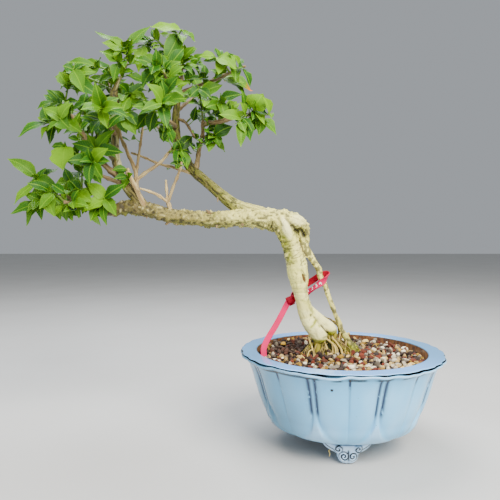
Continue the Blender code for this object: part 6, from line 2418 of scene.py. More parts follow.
def leaf_facing(middle: Vector, rng: random.Random) -> Vector:
    """The way a leaf's upper face looks: up, out of the crown and towards the light in front.

    Args:
        middle: The leaf's middle.
        rng: The crown's own draws.

    Returns:
        A direction, not of unit length.
    """
    out = middle - CROWN_MIDDLE
    out.z *= 0.5
    facing = out.normalized() * 0.55 + Vector((0, -0.55, 0.75))
    return facing + random_vector(rng, 0.35)


def bound_at(outline: Sequence[tuple[float, float]], x: float) -> Optional[float]:
    """Height of an outline at x.

    Args:
        outline: Its points from left to right.
        x: Place to the right.

    Returns:
        The height, or None beside the outline.
    """
    for (left, low), (right, high) in zip(outline, outline[1:]):
        if left <= x <= right:
            return low + (high - low) * (x - left) / (right - left)
    return None


def in_crown(place: Vector) -> bool:
    """True where a place is seen inside the outline of the crown.

    Args:
        place: A place in the frame.

    Returns:
        Whether it is inside.
    """
    seen = EYE + (place - EYE) * (-EYE.y / (place.y - EYE.y))
    low = bound_at(CROWN_BASE, seen.x - TREE_X)
    return low is not None and low < seen.z < bound_at(CROWN_TOP, seen.x - TREE_X)


def thinned(place: Vector) -> float:
    """Share of small leaves left out at a place, where the crown has its gaps.

    Args:
        place: A place in the frame.

    Returns:
        The share, from 0 to 1.
    """
    x, z = seen_from_eye(np.array([tuple(place)]))[0]
    shares = []
    for across, up, half, high, share in CROWN_GAPS:
        out = math.hypot((x - across) / half, (z - up) / high)
        shares.append(share * float(smooth_step(1.25, 0.85, out)))
    return max(shares)


def free_leaf(base: Vector, tip: Vector, width: float, rng: random.Random,
              clearance: Clearance, own: Clearance, bounded: bool) -> Optional[LeafForm]:
    """A leaf from base towards tip, moved a little where it would touch another.

    Args:
        base: Where it grows.
        tip: Where it points.
        width: Its width.
        rng: The crown's own draws.
        clearance: What is already placed.
        own: Leaves of the same shoot.
        bounded: Keeps its tip inside the crown's outline.

    Returns:
        The leaf, or None where there is no room.
    """
    length = (tip - base).length
    for attempt in range(TRIES):
        stray = 0.09 * attempt * length
        goal = tip + Vector([rng.uniform(-1, 1) * stray * f for f in (0.4, 1.0, 0.4)])
        goal = base + (goal - base).normalized() * length
        if bounded and not in_crown(goal):
            continue
        facing = leaf_facing(goal, rng)
        form = LeafForm(base, goal, facing, width, 0.09 * length, 0.11 * width,
                        rng.uniform(0.3, 0.7))
        tested = form.grown(LEAF_CLEAR, 0.1)
        if clearance.free(tested) and own.free(tested, skip_wood=True):
            return form
    return None


def leaf_goal(base: Vector, along: Vector, turn: float, pair: int, rng: random.Random) -> Vector:
    """Where a leaf placed by rule points: out from the shoot, each pair across the last.

    Args:
        base: Where it grows.
        along: The shoot's direction there.
        turn: Its angle round the shoot.
        pair: Number of its pair from the shoot's tip.
        rng: The crown's own draws.

    Returns:
        The place of its tip.
    """
    across = along.orthogonal().normalized()
    out = Matrix.Rotation(turn, 3, along) @ across
    lean = 0.95 if pair == 0 else 0.5
    heading = along * lean + out + Vector((0, 0, -0.3))
    return base + heading.normalized() * LEAF_LENGTH * rng.uniform(0.78, 1.08)


@dataclass
class Spray:
    """One leafy shoot of the CAD and what grows on it."""

    name: str
    run: RunPath
    leaves: list[LeafForm]
    small: list[LeafForm] = field(default_factory=list)


@dataclass(frozen=True)
class LeafBlade:
    """Finish of a half-gloss leaf with a pale midrib, fine side veins and lime margins."""

    deep: str = "#071C01"
    mid: str = "#1F5402"
    lime: str = "#659404"
    bloom: str = "#356A20"
    vein: str = "#7EAC10"
    under: str = "#44700E"
    burnt: str = "#D05A06"

    def material(self) -> bpy.types.Material:
        """Builds the node material.

        Returns:
            The material.
        """
        paint = Paint("living_leaf_half_gloss", 0.52, Subsurface_Weight=0.06,
                      Subsurface_Scale=0.0015, Subsurface_Radius=(0.8, 1.0, 0.25),
                      Specular_IOR_Level=0.18)
        spot = paint.add_node("Attribute", output="Vector", attribute_name="leaf_co")
        along, across, edge = (paint.add_node("SeparateXYZ", spot, output=k) for k in range(3))
        # Painted light and shade: lime outside the crown, deep green inside, with soft cloudy
        # patches
        cloud = paint.add_node("MapRange", paint.pattern(9), -1.6, 2.8)
        tone = paint.add_node("Math", "tone", cloud, operation="ADD")
        age = paint.add_node("Math", tone, -0.36, operation="ADD")
        paint.colour = paint.add_node("ValToRGB", age, stops=(
            (0.0, self.deep), (0.42, self.mid), (0.95, self.lime)))
        # A bluish bloom lies on some of the upper faces
        paint.lay(self.bloom, "bloom")
        paint.lay(self.under, "under")
        # Side veins run from the midrib to the margin at a slant
        side = paint.add_node("Math", across, operation="ABSOLUTE")
        slant = paint.add_node("Math", side, -0.85, along, operation="MULTIPLY_ADD")
        wave = paint.add_node("Math", slant, 2 * math.pi / (VEIN_PITCH * MM), operation="MULTIPLY")
        wave = paint.add_node("Math", wave, operation="COSINE")
        side_vein = paint.add_node("MapRange", wave, 0.72, 1.0)
        midrib = paint.add_node("MapRange", side, 0.55 * MM, 0.18 * MM)
        veins = paint.add_node("Math", side_vein, 0.28, midrib, operation="MULTIPLY_ADD")
        paint.lay(self.vein, paint.add_node("Math", veins, 0.48, operation="MULTIPLY",
                                            use_clamp=True))
        # The margin is lime, and some tips are scorched
        edge = paint.add_node("Math", edge, operation="ABSOLUTE")
        paint.lay(self.lime, paint.add_node("MapRange", edge, 0.84, 1.0, 0.0, 0.5))
        paint.lay(self.burnt, "burn")
        return paint.finish(side_vein, 0.12, 0.5)


@dataclass(frozen=True)
class GreenShoot:
    """Finish of a smooth green shoot that turns woody towards its base."""

    green: str = "#5F8A0C"
    woody: str = "#5E4724"

    def material(self) -> bpy.types.Material:
        """Builds the node material.

        Returns:
            The material.
        """
        paint = Paint("green_shoot_skin", 0.45, self.green)
        # Cork creeps up the shoot from its base in streaks
        grain = paint.pattern(2.5, 3)
        share = paint.add_node("Math", "woody", grain, operation="ADD")
        paint.lay(self.woody, share, 0.75, 1.25)
        return paint.finish(grain, 0.1, 0.5)


@dataclass(frozen=True)
class BudScale:
    """Finish of cream flower buds, green at their base."""

    cream: str = "#D9CF8C"
    green: str = "#7F9A2C"

    def material(self) -> bpy.types.Material:
        """Builds the node material.

        Returns:
            The material.
        """
        paint = Paint("bud_scale_cream", 0.5, self.cream, Subsurface_Weight=0.1)
        # The bud is cream at its tip and green where its sepals hold it
        paint.lay(self.green, "woody")
        return paint.finish()


class LeafyFace(Enum):
    """Which of a leafy piece's finishes a face has, by its place among them."""

    LEAF = 0
    SHOOT = 1
    BUD = 2


GREEN_SLOTS = (Slot.MID_LEAF, Slot.LIME_LEAF, Slot.DEEP_LEAF)
# Values of a shoot or a bud for the attributes that leaves need
PLAIN_VALUES = {"leaf_co": (0.0, 0.0, 0.0), "tone": 0.0, "bloom": 0.0, "burn": 0.0, "woody": 0.0}


@dataclass
class Crown:
    """The leafy shoots, each standing for its CAD node, with the small leaves between."""

    tree: Tree
    # Small leaves tried on each shoot, and stalks with small leaves tried on the twigs
    small_on_shoots: int = 9
    small_on_twigs: int = 420
    # Width of a leaf as a share of its length
    leaf_width: float = 0.4
    # How much broader a real blade is than its coarse stand-in
    broader: float = 1.28
    # Leaves with their tips above this height are flat, so that they don't rise past the crown
    high_tips: float = 398.0

    def __post_init__(self) -> None:
        """Builds the CAD's own tubes of the wood, which the shoots keep clear of."""
        self.look = random.Random(77)
        self.runs = []
        solids = []
        for name, sides, points in WOOD:
            run = smooth_run([(spread(x, z, y), r) for x, z, y, r in points], 1)
            self.runs.append((name, run))
            solids.append(tube(run, sides))
        self.clearance = Clearance(solids)
        self.sprays: list[Spray] = []
        self.materials = [LeafBlade().material(), GreenShoot().material(), BudScale().material()]

    def grow(self) -> None:
        """Repeats the CAD's rule for every shoot and leaf, draw by draw."""
        rng = random.Random(SEED)
        for index, (tip, count, named) in enumerate(SPRAYS):
            goal = spread(*tip)
            run = shoot_run(nearest_wood(goal, self.runs), goal, rng, self.clearance)
            own = Clearance([])
            leaves = []
            first_turn = rng.uniform(0, 2 * math.pi)
            for k in range(count):
                share = (0.97, 0.74, 0.52, 0.34)[k // 2]
                base, along = at_share(run, share - 0.012 * (k % 2))
                look = LeafLook.PLAIN
                if k < len(named):
                    aim = spread(*named[k][:3])
                    width = named[k][3]
                    look = LOOKS.get(named[k][:2], LeafLook.PLAIN)
                else:
                    turn = first_turn + math.pi * (k % 2) + math.pi / 2 * (k // 2)
                    turn += rng.uniform(-0.3, 0.3)
                    aim = leaf_goal(base, along, turn, k // 2, rng)
                    width = self.leaf_width * (aim - base).length * rng.uniform(0.85, 1.15)
                leaf = free_leaf(base, aim, width, rng, self.clearance, own, k >= len(named))
                if leaf:
                    leaf.look = look
                    own.add(leaf.grown(0.0))
                    leaves.append(leaf)
            self.clearance.add(tube(run, SHOOT_SIDES))
            for leaf in leaves:
                self.clearance.add(leaf.grown(0.0))
            self.sprays.append(Spray(f"leaf_spray_{index + 1:02d}", run, leaves))

    def small_leaf(self, base: Vector, heading: Vector, length: float) -> Optional[LeafForm]:
        """A small leaf that finds room near a heading.

        Args:
            base: Where it grows.
            heading: Where it would like to point.
            length: Its length.

        Returns:
            The leaf, or None where there is no room.
        """
        for attempt in range(7):
            wild = random_vector(self.look, 1) * (0.25 + 0.16 * attempt)
            goal = base + (heading.normalized() + wild).normalized() * length
            if not in_crown(goal):
                continue
            if self.look.random() < thinned(base.lerp(goal, 0.6)):
                return None
            width = length * self.look.uniform(0.36, 0.5)
            form = LeafForm(base, goal, leaf_facing(goal, self.look), width, 0.1 * length,
                            0.16 * width, self.look.uniform(0.2, 0.5))
            tested = form.grown(0.1, 0.16)
            if self.clearance.free(tested):
                self.clearance.add(form.grown(0.0, 0.1))
                return form
        return None

    def outward(self, along: Vector) -> Vector:
        """Draws a direction square to a shoot."""
        turn = Matrix.Rotation(self.look.uniform(0, FULL_TURN), 3, along)
        return turn @ along.orthogonal().normalized()

    def fill(self) -> tuple[list[LeafForm], list[RunPath]]:
        """Adds small leaves to the shoots, and to the twigs on short stalks.

        Returns:
            The leaves on twigs, and the stalks that carry them.
        """
        for spray in self.sprays:
            for _ in range(self.small_on_shoots):
                base, along = at_share(spray.run, self.look.uniform(0.12, 0.99))
                heading = along * 0.6 + self.outward(along)
                leaf = self.small_leaf(base, heading, self.look.uniform(10, 20))
                if leaf:
                    spray.small.append(leaf)
        loose, stalks = [], []
        leafy = [run for name, run in self.runs if name not in BARE_WOOD]
        for _ in range(self.small_on_twigs):
            run = self.look.choice(leafy)
            spot = self.look.uniform(0.3, 0.98)
            base, along = at_share(run, spot)
            if not in_crown(base):
                continue
            radius = run[min(int(spot * (len(run) - 1)) + 1, len(run) - 1)][1]
            out = (self.outward(along) + Vector((0, -0.15, 0.45))).normalized()
            start = base + out * radius * 0.7
            end = base + out * (radius + self.look.uniform(1.5, 7.0))
            grown = []
            for way in (1, -1):
                side = out.cross(along) * way
                leaf = self.small_leaf(end, out * 0.8 + side, self.look.uniform(10, 19))
                if leaf:
                    grown.append(leaf)
            if grown:
                loose += grown
                stalks.append([(start, 0.55), (start.lerp(end, 0.6), 0.45), (end, 0.4)])
        return loose, stalks

    def add_leaf(self, parts: MeshParts, form: LeafForm, small: bool) -> None:
        """Adds one real leaf: a closed thin lens, arched, folded, waved and drooping.

        Args:
            parts: Where it goes.
            form: Where it grows and how it is bent.
            small: Uses the coarser outline of small leaves.
        """
        along = form.tip - form.base
        length = along.length
        along.normalize()
        facing = form.facing.normalized() + (EYE - form.base).normalized() * 0.5
        side = along.cross(facing).normalized()
        face = side.cross(along)
        arch = form.arch * (0.35 if form.tip.z > self.high_tips else 1.0)
        outline = SMALL_OUTLINE if small else BLADE_OUTLINE
        heart = form.look in (LeafLook.HEART, LeafLook.ROUND)
        phase = self.look.uniform(0, FULL_TURN)
        twist = self.look.uniform(-0.5, 0.5)
        droop = self.look.uniform(0.03, 0.2 if not small else 0.1) * length
        sway = self.look.uniform(-0.05, 0.05) * length
        waves = form.wave * (1.4 if small else 2.9)
        top_rows, low_rows, spots = [], [], []
        for share, part in outline[:-1]:
            if heart:
                part = min(1.0, part * 1.25) if share < 0.5 else part * 1.12
            angle = twist * (share - 0.4)
            turned = side * math.cos(angle) + face * math.sin(angle)
            raised = face * math.cos(angle) - side * math.sin(angle)
            middle = form.base + along * length * share
            middle += face * (arch * 4.4 * share * (1 - share) - droop * max(0, share - 0.6))
            middle += side * sway * math.sin(math.pi * share)
            half = form.width / 2 * part * self.broader
            top, low = [], []
            for split in BLADE_SPLITS:
                edge = abs(split) ** 1.6
                lift = form.fold * 1.5 * part * edge
                ripple = waves * edge * part * math.sin(share * 9.5 + phase + (1.3 if split > 0
                                                                              else 0))
                spot = middle + turned * half * split + raised * (lift + ripple)
                thick = 0.17 * (1 - 0.75 * abs(split)) + (0.22 if share < 0.1 else 0)
                top.append(spot + raised * thick)
                low.append(spot - raised * thick)
                spots.append((share * length * MM, split * half * MM, split))
            top_rows.append(top)
            low_rows.append(low)
        self.knit(parts, form, top_rows, low_rows, spots, length)

    def knit(self, parts: MeshParts, form: LeafForm, top_rows: list, low_rows: list,
             spots: list, length: float) -> None:
        """Joins a leaf's rows into a closed skin and adds it.

        Args:
            parts: Where it goes.
            form: The leaf.
            top_rows: Points of its upper face, row by row from its base.
            low_rows: Points of its under face.
            spots: Leaf coordinates of the points of one face.
            length: Its length.
        """
        wide = len(BLADE_SPLITS)
        inner = wide - 2
        verts = [p for row in top_rows for p in row]
        verts += [p for row in low_rows for p in row[1:-1]]
        verts.append(form.tip)
        rows = len(top_rows)
        offset = rows * wide
        tip = len(verts) - 1

        def low(row: int, col: int) -> int:
            """Number of an under-face point; the rim's are shared with the upper face.

            Args:
                row: The row from the leaf's base.
                col: The column across it.

            Returns:
                The point's number.
            """
            if col in (0, wide - 1):
                return row * wide + col
            return offset + row * inner + col - 1

        faces, under = [], []
        for row in range(rows - 1):
            for col in range(wide - 1):
                a, b = row * wide + col, (row + 1) * wide + col
                faces.append((a, a + 1, b + 1, b))
                faces.append((low(row, col), low(row + 1, col), low(row + 1, col + 1),
                              low(row, col + 1)))
                under += [0.0, 1.0]
        for col in range(wide - 1):
            a = (rows - 1) * wide + col
            faces.append((a, a + 1, tip))
            faces.append((low(rows - 1, col), tip, low(rows - 1, col + 1)))
            faces.append((col, low(0, col), low(0, col + 1), col + 1))
            under += [0.0, 1.0, 1.0]
        faces = [tuple(dict.fromkeys(face)) for face in faces]
        keep = [k for k, face in enumerate(faces) if len(face) > 2]
        spots = spots + [spots[row * wide + col] for row in range(rows)
                         for col in range(1, wide - 1)]
        spots.append((length * MM, 0.0, 0.0))
        tone, bloom = self.shade_and_tone_of(form)
        shares = [spot[0] / (length * MM) for spot in spots]
        burn = [0.0] * len(spots)
        if form.look is LeafLook.BURNT:
            burn = [float(smooth_step(0.72, 0.97, share)) for share in shares]
        parts.add(verts, [faces[k] for k in keep],
                  {"leaf_co": spots, "tone": tone, "bloom": bloom, "burn": burn, "woody": 0.0},
                  {"under": [under[k] for k in keep], "kind": LeafyFace.LEAF.value})

    def shade_and_tone_of(self, form: LeafForm) -> tuple[float, float]:
        """How lime a leaf is, as painted light outside and shade inside, and how much bloom it has.

        Args:
            form: The leaf's form.

        Returns:
            The tone and the bloom, both from 0 to 1.
        """
        middle = form.base.lerp(form.tip, 0.5)
        out = middle - CROWN_MIDDLE
        # Painted light and shade: far out and in front lime, deep inside dark, low left darker
        rank = math.hypot(out.x / 120, out.z / 95)
        front = float(smooth_step(60, -60, middle.y))
        right = float(smooth_step(-230, -150, middle.x))
        tone = 0.15 + (0.38 - 0.15 * right) * rank + 0.1 * front + self.look.gauss(0, 0.2)
        tone -= 0.16 * float(smooth_step(-250, -285, middle.x) * smooth_step(285, 255, middle.z))
        if form.look is LeafLook.HEART:
            return 1.0, 0.0
        if form.look is LeafLook.ROUND:
            return 0.72, 0.0
        bloom = max(0.0, self.look.uniform(-0.9, 0.55)) * (1 - 0.4 * rank)
        return min(max(tone, 0.0), 1.0), bloom

    def add_shoot(self, parts: MeshParts, run: RunPath, woody: float, sides: int = 7) -> None:
        """Adds a round green shoot with slight nodes that starts inside the wood.

        Args:
            parts: Where it goes.
            run: Its middle line and radii.
            woody: How woody its base is.
            sides: Sides of its tube.
        """
        (first, radius), (second, _) = run[:2]
        root = first + (first - second).normalized() * 1.6
        path = smooth_run([(root, radius), *run], 5)
        path = [(p, r * (1 + 0.12 * self.look.uniform(-1, 1))) for p, r in path]
        verts, faces = tube(rounded(path), sides)
        rings = len(verts) // sides
        shares = [woody * (1 - (k // sides) / rings) for k in range(len(verts))]
        parts.add(verts, faces, {**PLAIN_VALUES, "woody": shares},
                  {"under": 0.0, "kind": LeafyFace.SHOOT.value})

    def add_bud(self, parts: MeshParts, spray: Spray) -> None:
        """Adds a thin stalk beyond a shoot's tip, sometimes with a cream bud on it.

        Args:
            parts: Where it goes.
            spray: The shoot and its leaves.
        """
        tip, along = at_share(spray.run, 0.999)
        heading = (along + random_vector(self.look, 0.4)).normalized()
        length = self.look.uniform(3.0, 7.5)
        end = tip + heading * length
        if not in_crown(end) or self.clearance.wood_distance(end) < 1:
            return
        run = [(tip, 0.5), (tip.lerp(end, 0.5) + Vector((0, 0, 0.4)), 0.42), (end, 0.36)]
        self.add_shoot(parts, run, 0.0, 5)
        if self.look.random() < 0.12:
            rings = [(end + heading * (k * 0.62 - 0.6), r)
                     for k, r in enumerate((0.45, 0.95, 1.15, 1.0, 0.6, 0.25))]
            verts, faces = tube(rings, 7)
            shares = [1.0 if k < 14 else 0.0 for k in range(len(verts))]
            parts.add(verts, faces, {**PLAIN_VALUES, "woody": shares},
                      {"under": 0.0, "kind": LeafyFace.BUD.value})

    def finish(self, name: str, parts: MeshParts, slot: Slot,
               replaced: Sequence[str]) -> bpy.types.Object:
        """Makes a leafy piece with its three finishes.

        Args:
            name: The piece's name.
            parts: Its leaves, shoots and buds.
            slot: Its slot of the record.
            replaced: The CAD node that it stands for.

        Returns:
            The piece.
        """
        kinds = parts.face_values.pop("kind")
        obj = dress(mesh_object(name, parts), self.materials[0], slot, replaced, 65)
        for material in self.materials[1:]:
            obj.data.materials.append(material)
        obj.data.polygons.foreach_set("material_index", kinds)
        return obj

    def build(self) -> None:
        """Grows the crown and makes its pieces."""
        self.grow()
        loose, stalks = self.fill()
        for index, spray in enumerate(self.sprays):
            parts = MeshParts()
            self.add_shoot(parts, spray.run, 0.75)
            for leaf in spray.leaves:
                self.add_leaf(parts, leaf, False)
            for leaf in spray.small:
                self.add_leaf(parts, leaf, True)
            self.add_bud(parts, spray)
            slot = GREEN_SLOTS[index % len(GREEN_SLOTS)]
            self.finish(spray.name + "_leaves", parts, slot, [spray.name])
        parts = MeshParts()
        for leaf in loose:
            self.add_leaf(parts, leaf, True)
        for stalk in stalks:
            self.add_shoot(parts, stalk, 0.5, 5)
        self.finish("inner_leaves", parts, Slot.DEEP_LEAF, ["tree"])
        log.info("%d leaves, %d small ones", sum(len(s.leaves) for s in self.sprays),
                 len(loose) + sum(len(s.small) for s in self.sprays))


# Tag and rootlet

# Middle lines of the strap as (x, z, y), and the directions of its width
STRAP_LOOP = (
    (-55.4, 142, 11), (-49, 144.5, 13), (-42.5, 147.6, 14), (-36, 150.6, 11.5),
    (-28.4, 156.2, 3.4), (-22, 160.8, 1.6), (-18.2, 164.6, 3.6), (-17, 167, 8),
    (-19, 168.4, 12.2), (-25, 166.6, 14.0), (-32, 162, 15.6), (-40, 157, 17.4),
    (-47.5, 152.4, 18.2), (-53, 147, 15.2), (-55.4, 143, 12.2),
)
STRAP_TAIL = (
    (-55.2, 142, 10), (-57.5, 138.6, 9), (-63, 128, 5), (-69.7, 115.5, 0), (-75, 106.9, -5),
    (-79.3, 98.8, -9.5), (-81.3, 92.1, -13), (-81, 85, -15),
)
LOOP_WIDE = Vector((0.45, 0.0, 0.9))
TAIL_WIDE = Vector((0.9, 0.25, 0.35))
# The head's middle as (x, z, y)
TAG_HEAD = (-54.6, 142.0, 11.2)
DIGIT_SHAPE = {"size": 5.6, "extrude": 0.06, "offset": 0.14, "align_x": "CENTER",
               "align_y": "CENTER"}


@dataclass(frozen=True)
class MouldedStrap:
    """Finish of a moulded pink-red strap, satin with faint flow marks."""

    pink: str = "#CC0256"
    red: str = "#8E0216"

    def material(self) -> bpy.types.Material:
        """Builds the node material.

        Returns:
            The material.
        """
        paint = Paint("polyethylene_strap_pink_moulded", 0.62, self.red, Subsurface_Weight=0.03,
                      Subsurface_Scale=0.001, Specular_IOR_Level=0.15)
        # The tail and the loop's outer faces are pink; painted shade keeps the inner faces deep red
        paint.lay(self.pink, "fade")
        shade = paint.blend(paint.colour, self.red, 0.25)
        paint.lay(shade, paint.pattern(9, 2, (1, 1, 2.5)), 0.4, 0.7)
        return paint.finish(paint.pattern(1.2), 0.05, 0.4)


@dataclass(frozen=True)
class PrintedInk:
    """Finish of worn white ink on the strap."""

    white: str = "#F2E6EA"
    worn: str = "#E07A98"

    def material(self) -> bpy.types.Material:
        """Builds the node material.

        Returns:
            The material.
        """
        paint = Paint("screen_ink_white_worn", 0.5, self.white)
        # The ink has rubbed thin in spots and lets the strap's pink through
        paint.lay(self.worn, paint.pattern(1.3, 3), 0.55, 0.75)
        return paint.finish()


def ribbon_frames(path: Sequence[Vector], wide: Vector) -> list[tuple[Vector, Vector, Vector]]:
    """Place, width direction and outward direction at each point of a strap.

    Args:
        path: The strap's middle line.
        wide: The direction of its width.

    Returns:
        The three vectors for each point.
    """
    frames = []
    for i, place in enumerate(path):
        ahead = (path[min(i + 1, len(path) - 1)] - path[max(i - 1, 0)]).normalized()
        across = (wide - ahead * wide.dot(ahead)).normalized()
        frames.append((place, across, ahead.cross(across).normalized()))
    return frames


def strap(path: Sequence[Vector], wide: Vector, width: float, thick: float) -> Solid:
    """A closed flat strap with rounded edges and low ridges along them.

    Args:
        path: Its middle line.
        wide: The direction of its width.
        width: Its width.
        thick: Its thickness.

    Returns:
        Its points and faces.
    """
    section = []
    for side, top in ((1, 1), (-1, 1), (-1, -1), (1, -1)):
        ridge = [(0.5, 0.12), (0.48, 0.36), (0.44, 0.46), (0.37, 0.46), (0.32, 0.38), (0.0, 0.38)]
        corner = [(side * u, top * v) for u, v in ridge]
        section += corner[:-1] if side * top > 0 else list(reversed(corner[:-1]))
    verts = []
    for place, across, out in ribbon_frames(path, wide):
        verts += [place + across * width * u + out * thick * v for u, v in section]
    return verts, closed_faces(len(path), len(section))


@dataclass
class Tag:
    """The plastic strap tag round the strand, with plain numbers on it."""

    loop_width: float = 6.4
    tail_width: float = 5.9
    thick: float = 1.3
    head_size: Point = (8.2, 6.4, 7.4)
    digits: str = "1234"
    # Where the digits stand, counted in points of the loop's middle line
    digits_from: float = 20.7
    digit_pitch: float = 3.75

    def __post_init__(self) -> None:
        """Builds the tag's two finishes."""
        self.plastic = MouldedStrap().material()
        self.ink = PrintedInk().material()

    @staticmethod
    def path(points: Sequence[Point], steps: int) -> list[Vector]:
        """A smooth middle line through table points."""
        return [p for p, _ in smooth_run([(spread(*row), 0.0) for row in points], steps)]

    def straps(self) -> bpy.types.Object:
        """The loop and the tail.

        Returns:
            The strap in one piece.
        """
        parts = MeshParts()
        loop = strap(self.path(STRAP_LOOP, 7), LOOP_WIDE, self.loop_width, self.thick)
        # Painted shade: the loop's inner faces stay deep red, its outer faces are pink
        parts.add(*loop, {"fade": [0.85 if k % 20 < 10 else 0.1 for k in range(len(loop[0]))]})
        parts.add(*strap(self.path(STRAP_TAIL, 6), TAIL_WIDE, self.tail_width, self.thick),
                  {"fade": 1.0})
        obj = mesh_object("tag_strap", parts)
        fix_normals(obj)
        return dress(obj, self.plastic, Slot.TAG, ["tag"], 35)

    def head(self) -> bpy.types.Object:
        """The head that the strap's end is pulled through, with its slot and lip.

        Returns:
            The head.
        """
        bpy.ops.object.select_all(action="DESELECT")
        bpy.ops.mesh.primitive_cube_add(size=1.0)
        obj = bpy.context.object
        obj.name = obj.data.name = "tag_head"
        bpy.ops.object.mode_set(mode="EDIT")
        bpy.ops.mesh.select_all(action="SELECT")
        bpy.ops.transform.resize(value=tuple(s * MM for s in self.head_size))
        bpy.ops.object.mode_set(mode="OBJECT")
        bm = bmesh.new()
        bm.from_mesh(obj.data)
        front = [f for f in bm.faces if f.normal.y < -0.9 or f.normal.z < -0.9]
        bmesh.ops.inset_individual(bm, faces=front, thickness=1.7 * MM, depth=0)
        inner = [f for f in front if f.is_valid]
        for face in inner:
            sunk = bmesh.ops.extrude_face_region(bm, geom=[face])
            moved = [v for v in sunk["geom"] if isinstance(v, bmesh.types.BMVert)]
            bmesh.ops.translate(bm, verts=moved, vec=-face.normal * 1.6 * MM)
            bmesh.ops.delete(bm, geom=[face], context="FACES_ONLY")
        bm.to_mesh(obj.data)
        bm.free()
        apply_modifier(obj, "BEVEL", width=0.7 * MM, segments=3)
        only(obj)
        bpy.ops.transform.rotate(value=math.radians(24), orient_axis="Y",
                                 center_override=(0, 0, 0))
        bpy.ops.transform.translate(value=AXIS + spread(*TAG_HEAD) * MM)
        bpy.ops.object.transform_apply(location=True, rotation=True, scale=True)
        write_values(obj.data, "fade", np.full(len(obj.data.vertices), 0.1))
        return dress(obj, self.plastic, Slot.TAG, ["tag"], 40)

    def numbers(self) -> bpy.types.Object:
        """Plain numbers on the front run of the loop, each laid flat on the strap.

        Returns:
            The numbers in one piece.
        """
        path = self.path(STRAP_LOOP, 7)
        frames = ribbon_frames(path, LOOP_WIDE)
        made = []
        for index, digit in enumerate(self.digits):
            bpy.ops.object.select_all(action="DESELECT")
            bpy.ops.object.text_add()
            text = bpy.context.object
            for name, value in {"body": digit, **DIGIT_SHAPE}.items():
                setattr(text.data, name, value)
            bpy.ops.object.convert(target="MESH")
            spot = self.digits_from + index * self.digit_pitch
            low = int(spot)
            place, across, out = frames[low]
            place = place.lerp(frames[low + 1][0], spot - low)
            if out.y > 0:
                out = -out
            right = across.cross(out).normalized()
            turn = Matrix((right, across, out)).transposed().to_4x4()
            lift = place + out * (self.thick * 0.38 + 0.03)
            scale = Matrix.Scale(MM, 4)
            text.data.transform(Matrix.Translation(AXIS) @ scale @ Matrix.Translation(lift) @ turn)
            made.append(text)
        bpy.ops.object.select_all(action="DESELECT")
        for obj in made:
            obj.select_set(True)
        bpy.context.view_layer.objects.active = made[0]
        bpy.ops.object.join()
        obj = bpy.context.object
        obj.name = obj.data.name = "tag_numbers"
        return dress(obj, self.ink, Slot.TAG, ["tag"], 40)

    def build(self) -> None:
        """Makes the tag's pieces."""
        self.straps()
        self.head()
        self.numbers()


def hanging_rootlet(tree: Tree) -> bpy.types.Object:
    """A thin root that has found its way out beneath the pot and hangs by the front foot.

    Args:
        tree: The tree, whose draws bend the root.

    Returns:
        The root.
    """
    places = [(-17.6, -50.0, 22.5), (-17.9, -51.6, 17.0), (-17.2, -52.3, 13.0),
              (-18.4, -52.6, 10.6), (-17.6, -52.8, 8.2), (-18.5, -52.4, 5.4)]
    run = smooth_run([(Vector(p), r) for p, r in zip(places, (0.8, 0.6, 0.45, 0.5, 0.4, 0.3))], 4)
    parts = MeshParts()
    verts, faces = tube(rounded(tree.wander(run, 0.8)), 8)
    parts.add(verts, faces, {"tone": 1.0})
    return dress(mesh_object("hanging_rootlet", parts), RootSkin().material(), Slot.WOOD,
                 ["tree"], 60)


# Stage


@dataclass(frozen=True)
class PaleFloor:
    """Finish of a plain pale studio floor."""

    light: str = "#C4C4C1"
    dark: str = "#B9B8B4"

    def material(self) -> bpy.types.Material:
        """Builds the node material.

        Returns:
            The material.
        """
        paint = Paint("studio_floor_matte", 0.8, self.dark)
        # A sheet of matte paper, barely mottled
        paint.lay(self.light, paint.pattern(160))
        return paint.finish()


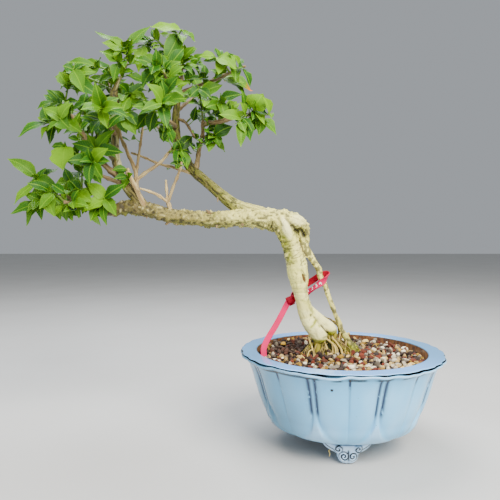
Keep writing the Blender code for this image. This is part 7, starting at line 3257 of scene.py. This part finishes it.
@dataclass(frozen=True)
class SoftLight:
    """One square area light that looks at the tree."""

    name: str
    place: Point
    size: float
    power: float
    colour: str = "#FFFFFF"

    def add(self) -> None:
        """Puts the light into the scene."""
        data = bpy.data.lights.new(self.name, "AREA")
        data.size = self.size
        data.energy = self.power
        data.color = linear(self.colour)[:3]
        obj = bpy.data.objects.new(self.name, data)
        obj.location = self.place
        aim = Vector((0.0, 0.0, 0.19)) - Vector(self.place)
        obj.rotation_euler = aim.to_track_quat("-Z", "Y").to_euler()
        bpy.context.scene.collection.objects.link(obj)


LIGHTS = (
    SoftLight("key", (0.55, -0.85, 0.95), 0.9, 50.0, "#FFFAF2"),
    SoftLight("fill", (-0.95, -0.65, 0.45), 1.2, 7.0, "#E9F1FF"),
    SoftLight("top", (-0.15, 0.35, 1.15), 0.8, 22.0, "#F4F8FF"),
)


@dataclass
class Stage:
    """Floor, lights and camera."""

    lens: float = 38.9
    eye: Point = (-0.091, -0.539, 0.211)
    pitch: float = 88.0

    def floor(self) -> None:
        """A wide flat floor."""
        bpy.ops.object.select_all(action="DESELECT")
        bpy.ops.mesh.primitive_plane_add(size=9.0)
        obj = bpy.context.object
        obj.name = obj.data.name = "floor"
        obj.data.materials.append(PaleFloor().material())

    def world(self) -> None:
        """Soft pale light from all round."""
        world = bpy.data.worlds.new("studio")
        world.use_nodes = True
        shade = world.node_tree.nodes["Background"]
        shade.inputs[0].default_value = linear("#DDE3EA")
        shade.inputs[1].default_value = 0.5
        bpy.context.scene.world = world

    def camera(self) -> None:
        """The photograph's view."""
        data = bpy.data.cameras.new("camera")
        data.lens = self.lens
        data.sensor_width = 36.0
        obj = bpy.data.objects.new("camera", data)
        obj.location = AXIS + Vector(self.eye)
        obj.rotation_euler = (math.radians(self.pitch), 0.0, 0.0)
        bpy.context.scene.collection.objects.link(obj)
        bpy.context.scene.camera = obj

    def build(self) -> None:
        """Sets the stage."""
        self.floor()
        self.world()
        for light in LIGHTS:
            light.add()
        self.camera()


def main() -> None:
    """Builds every piece."""
    logging.basicConfig(level=logging.INFO)
    Stage().build()
    Pot(GlazedStoneware()).build()
    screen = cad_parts["drain_screen"]
    screen.data.materials.clear()
    screen.data.materials.append(MouldedMesh().material())
    tree = Tree()
    tree.build()
    Soil(tree.finder).build()
    hanging_rootlet(tree)
    Tag().build()
    Crown(tree).build()


if __name__ == "__main__":
    main()
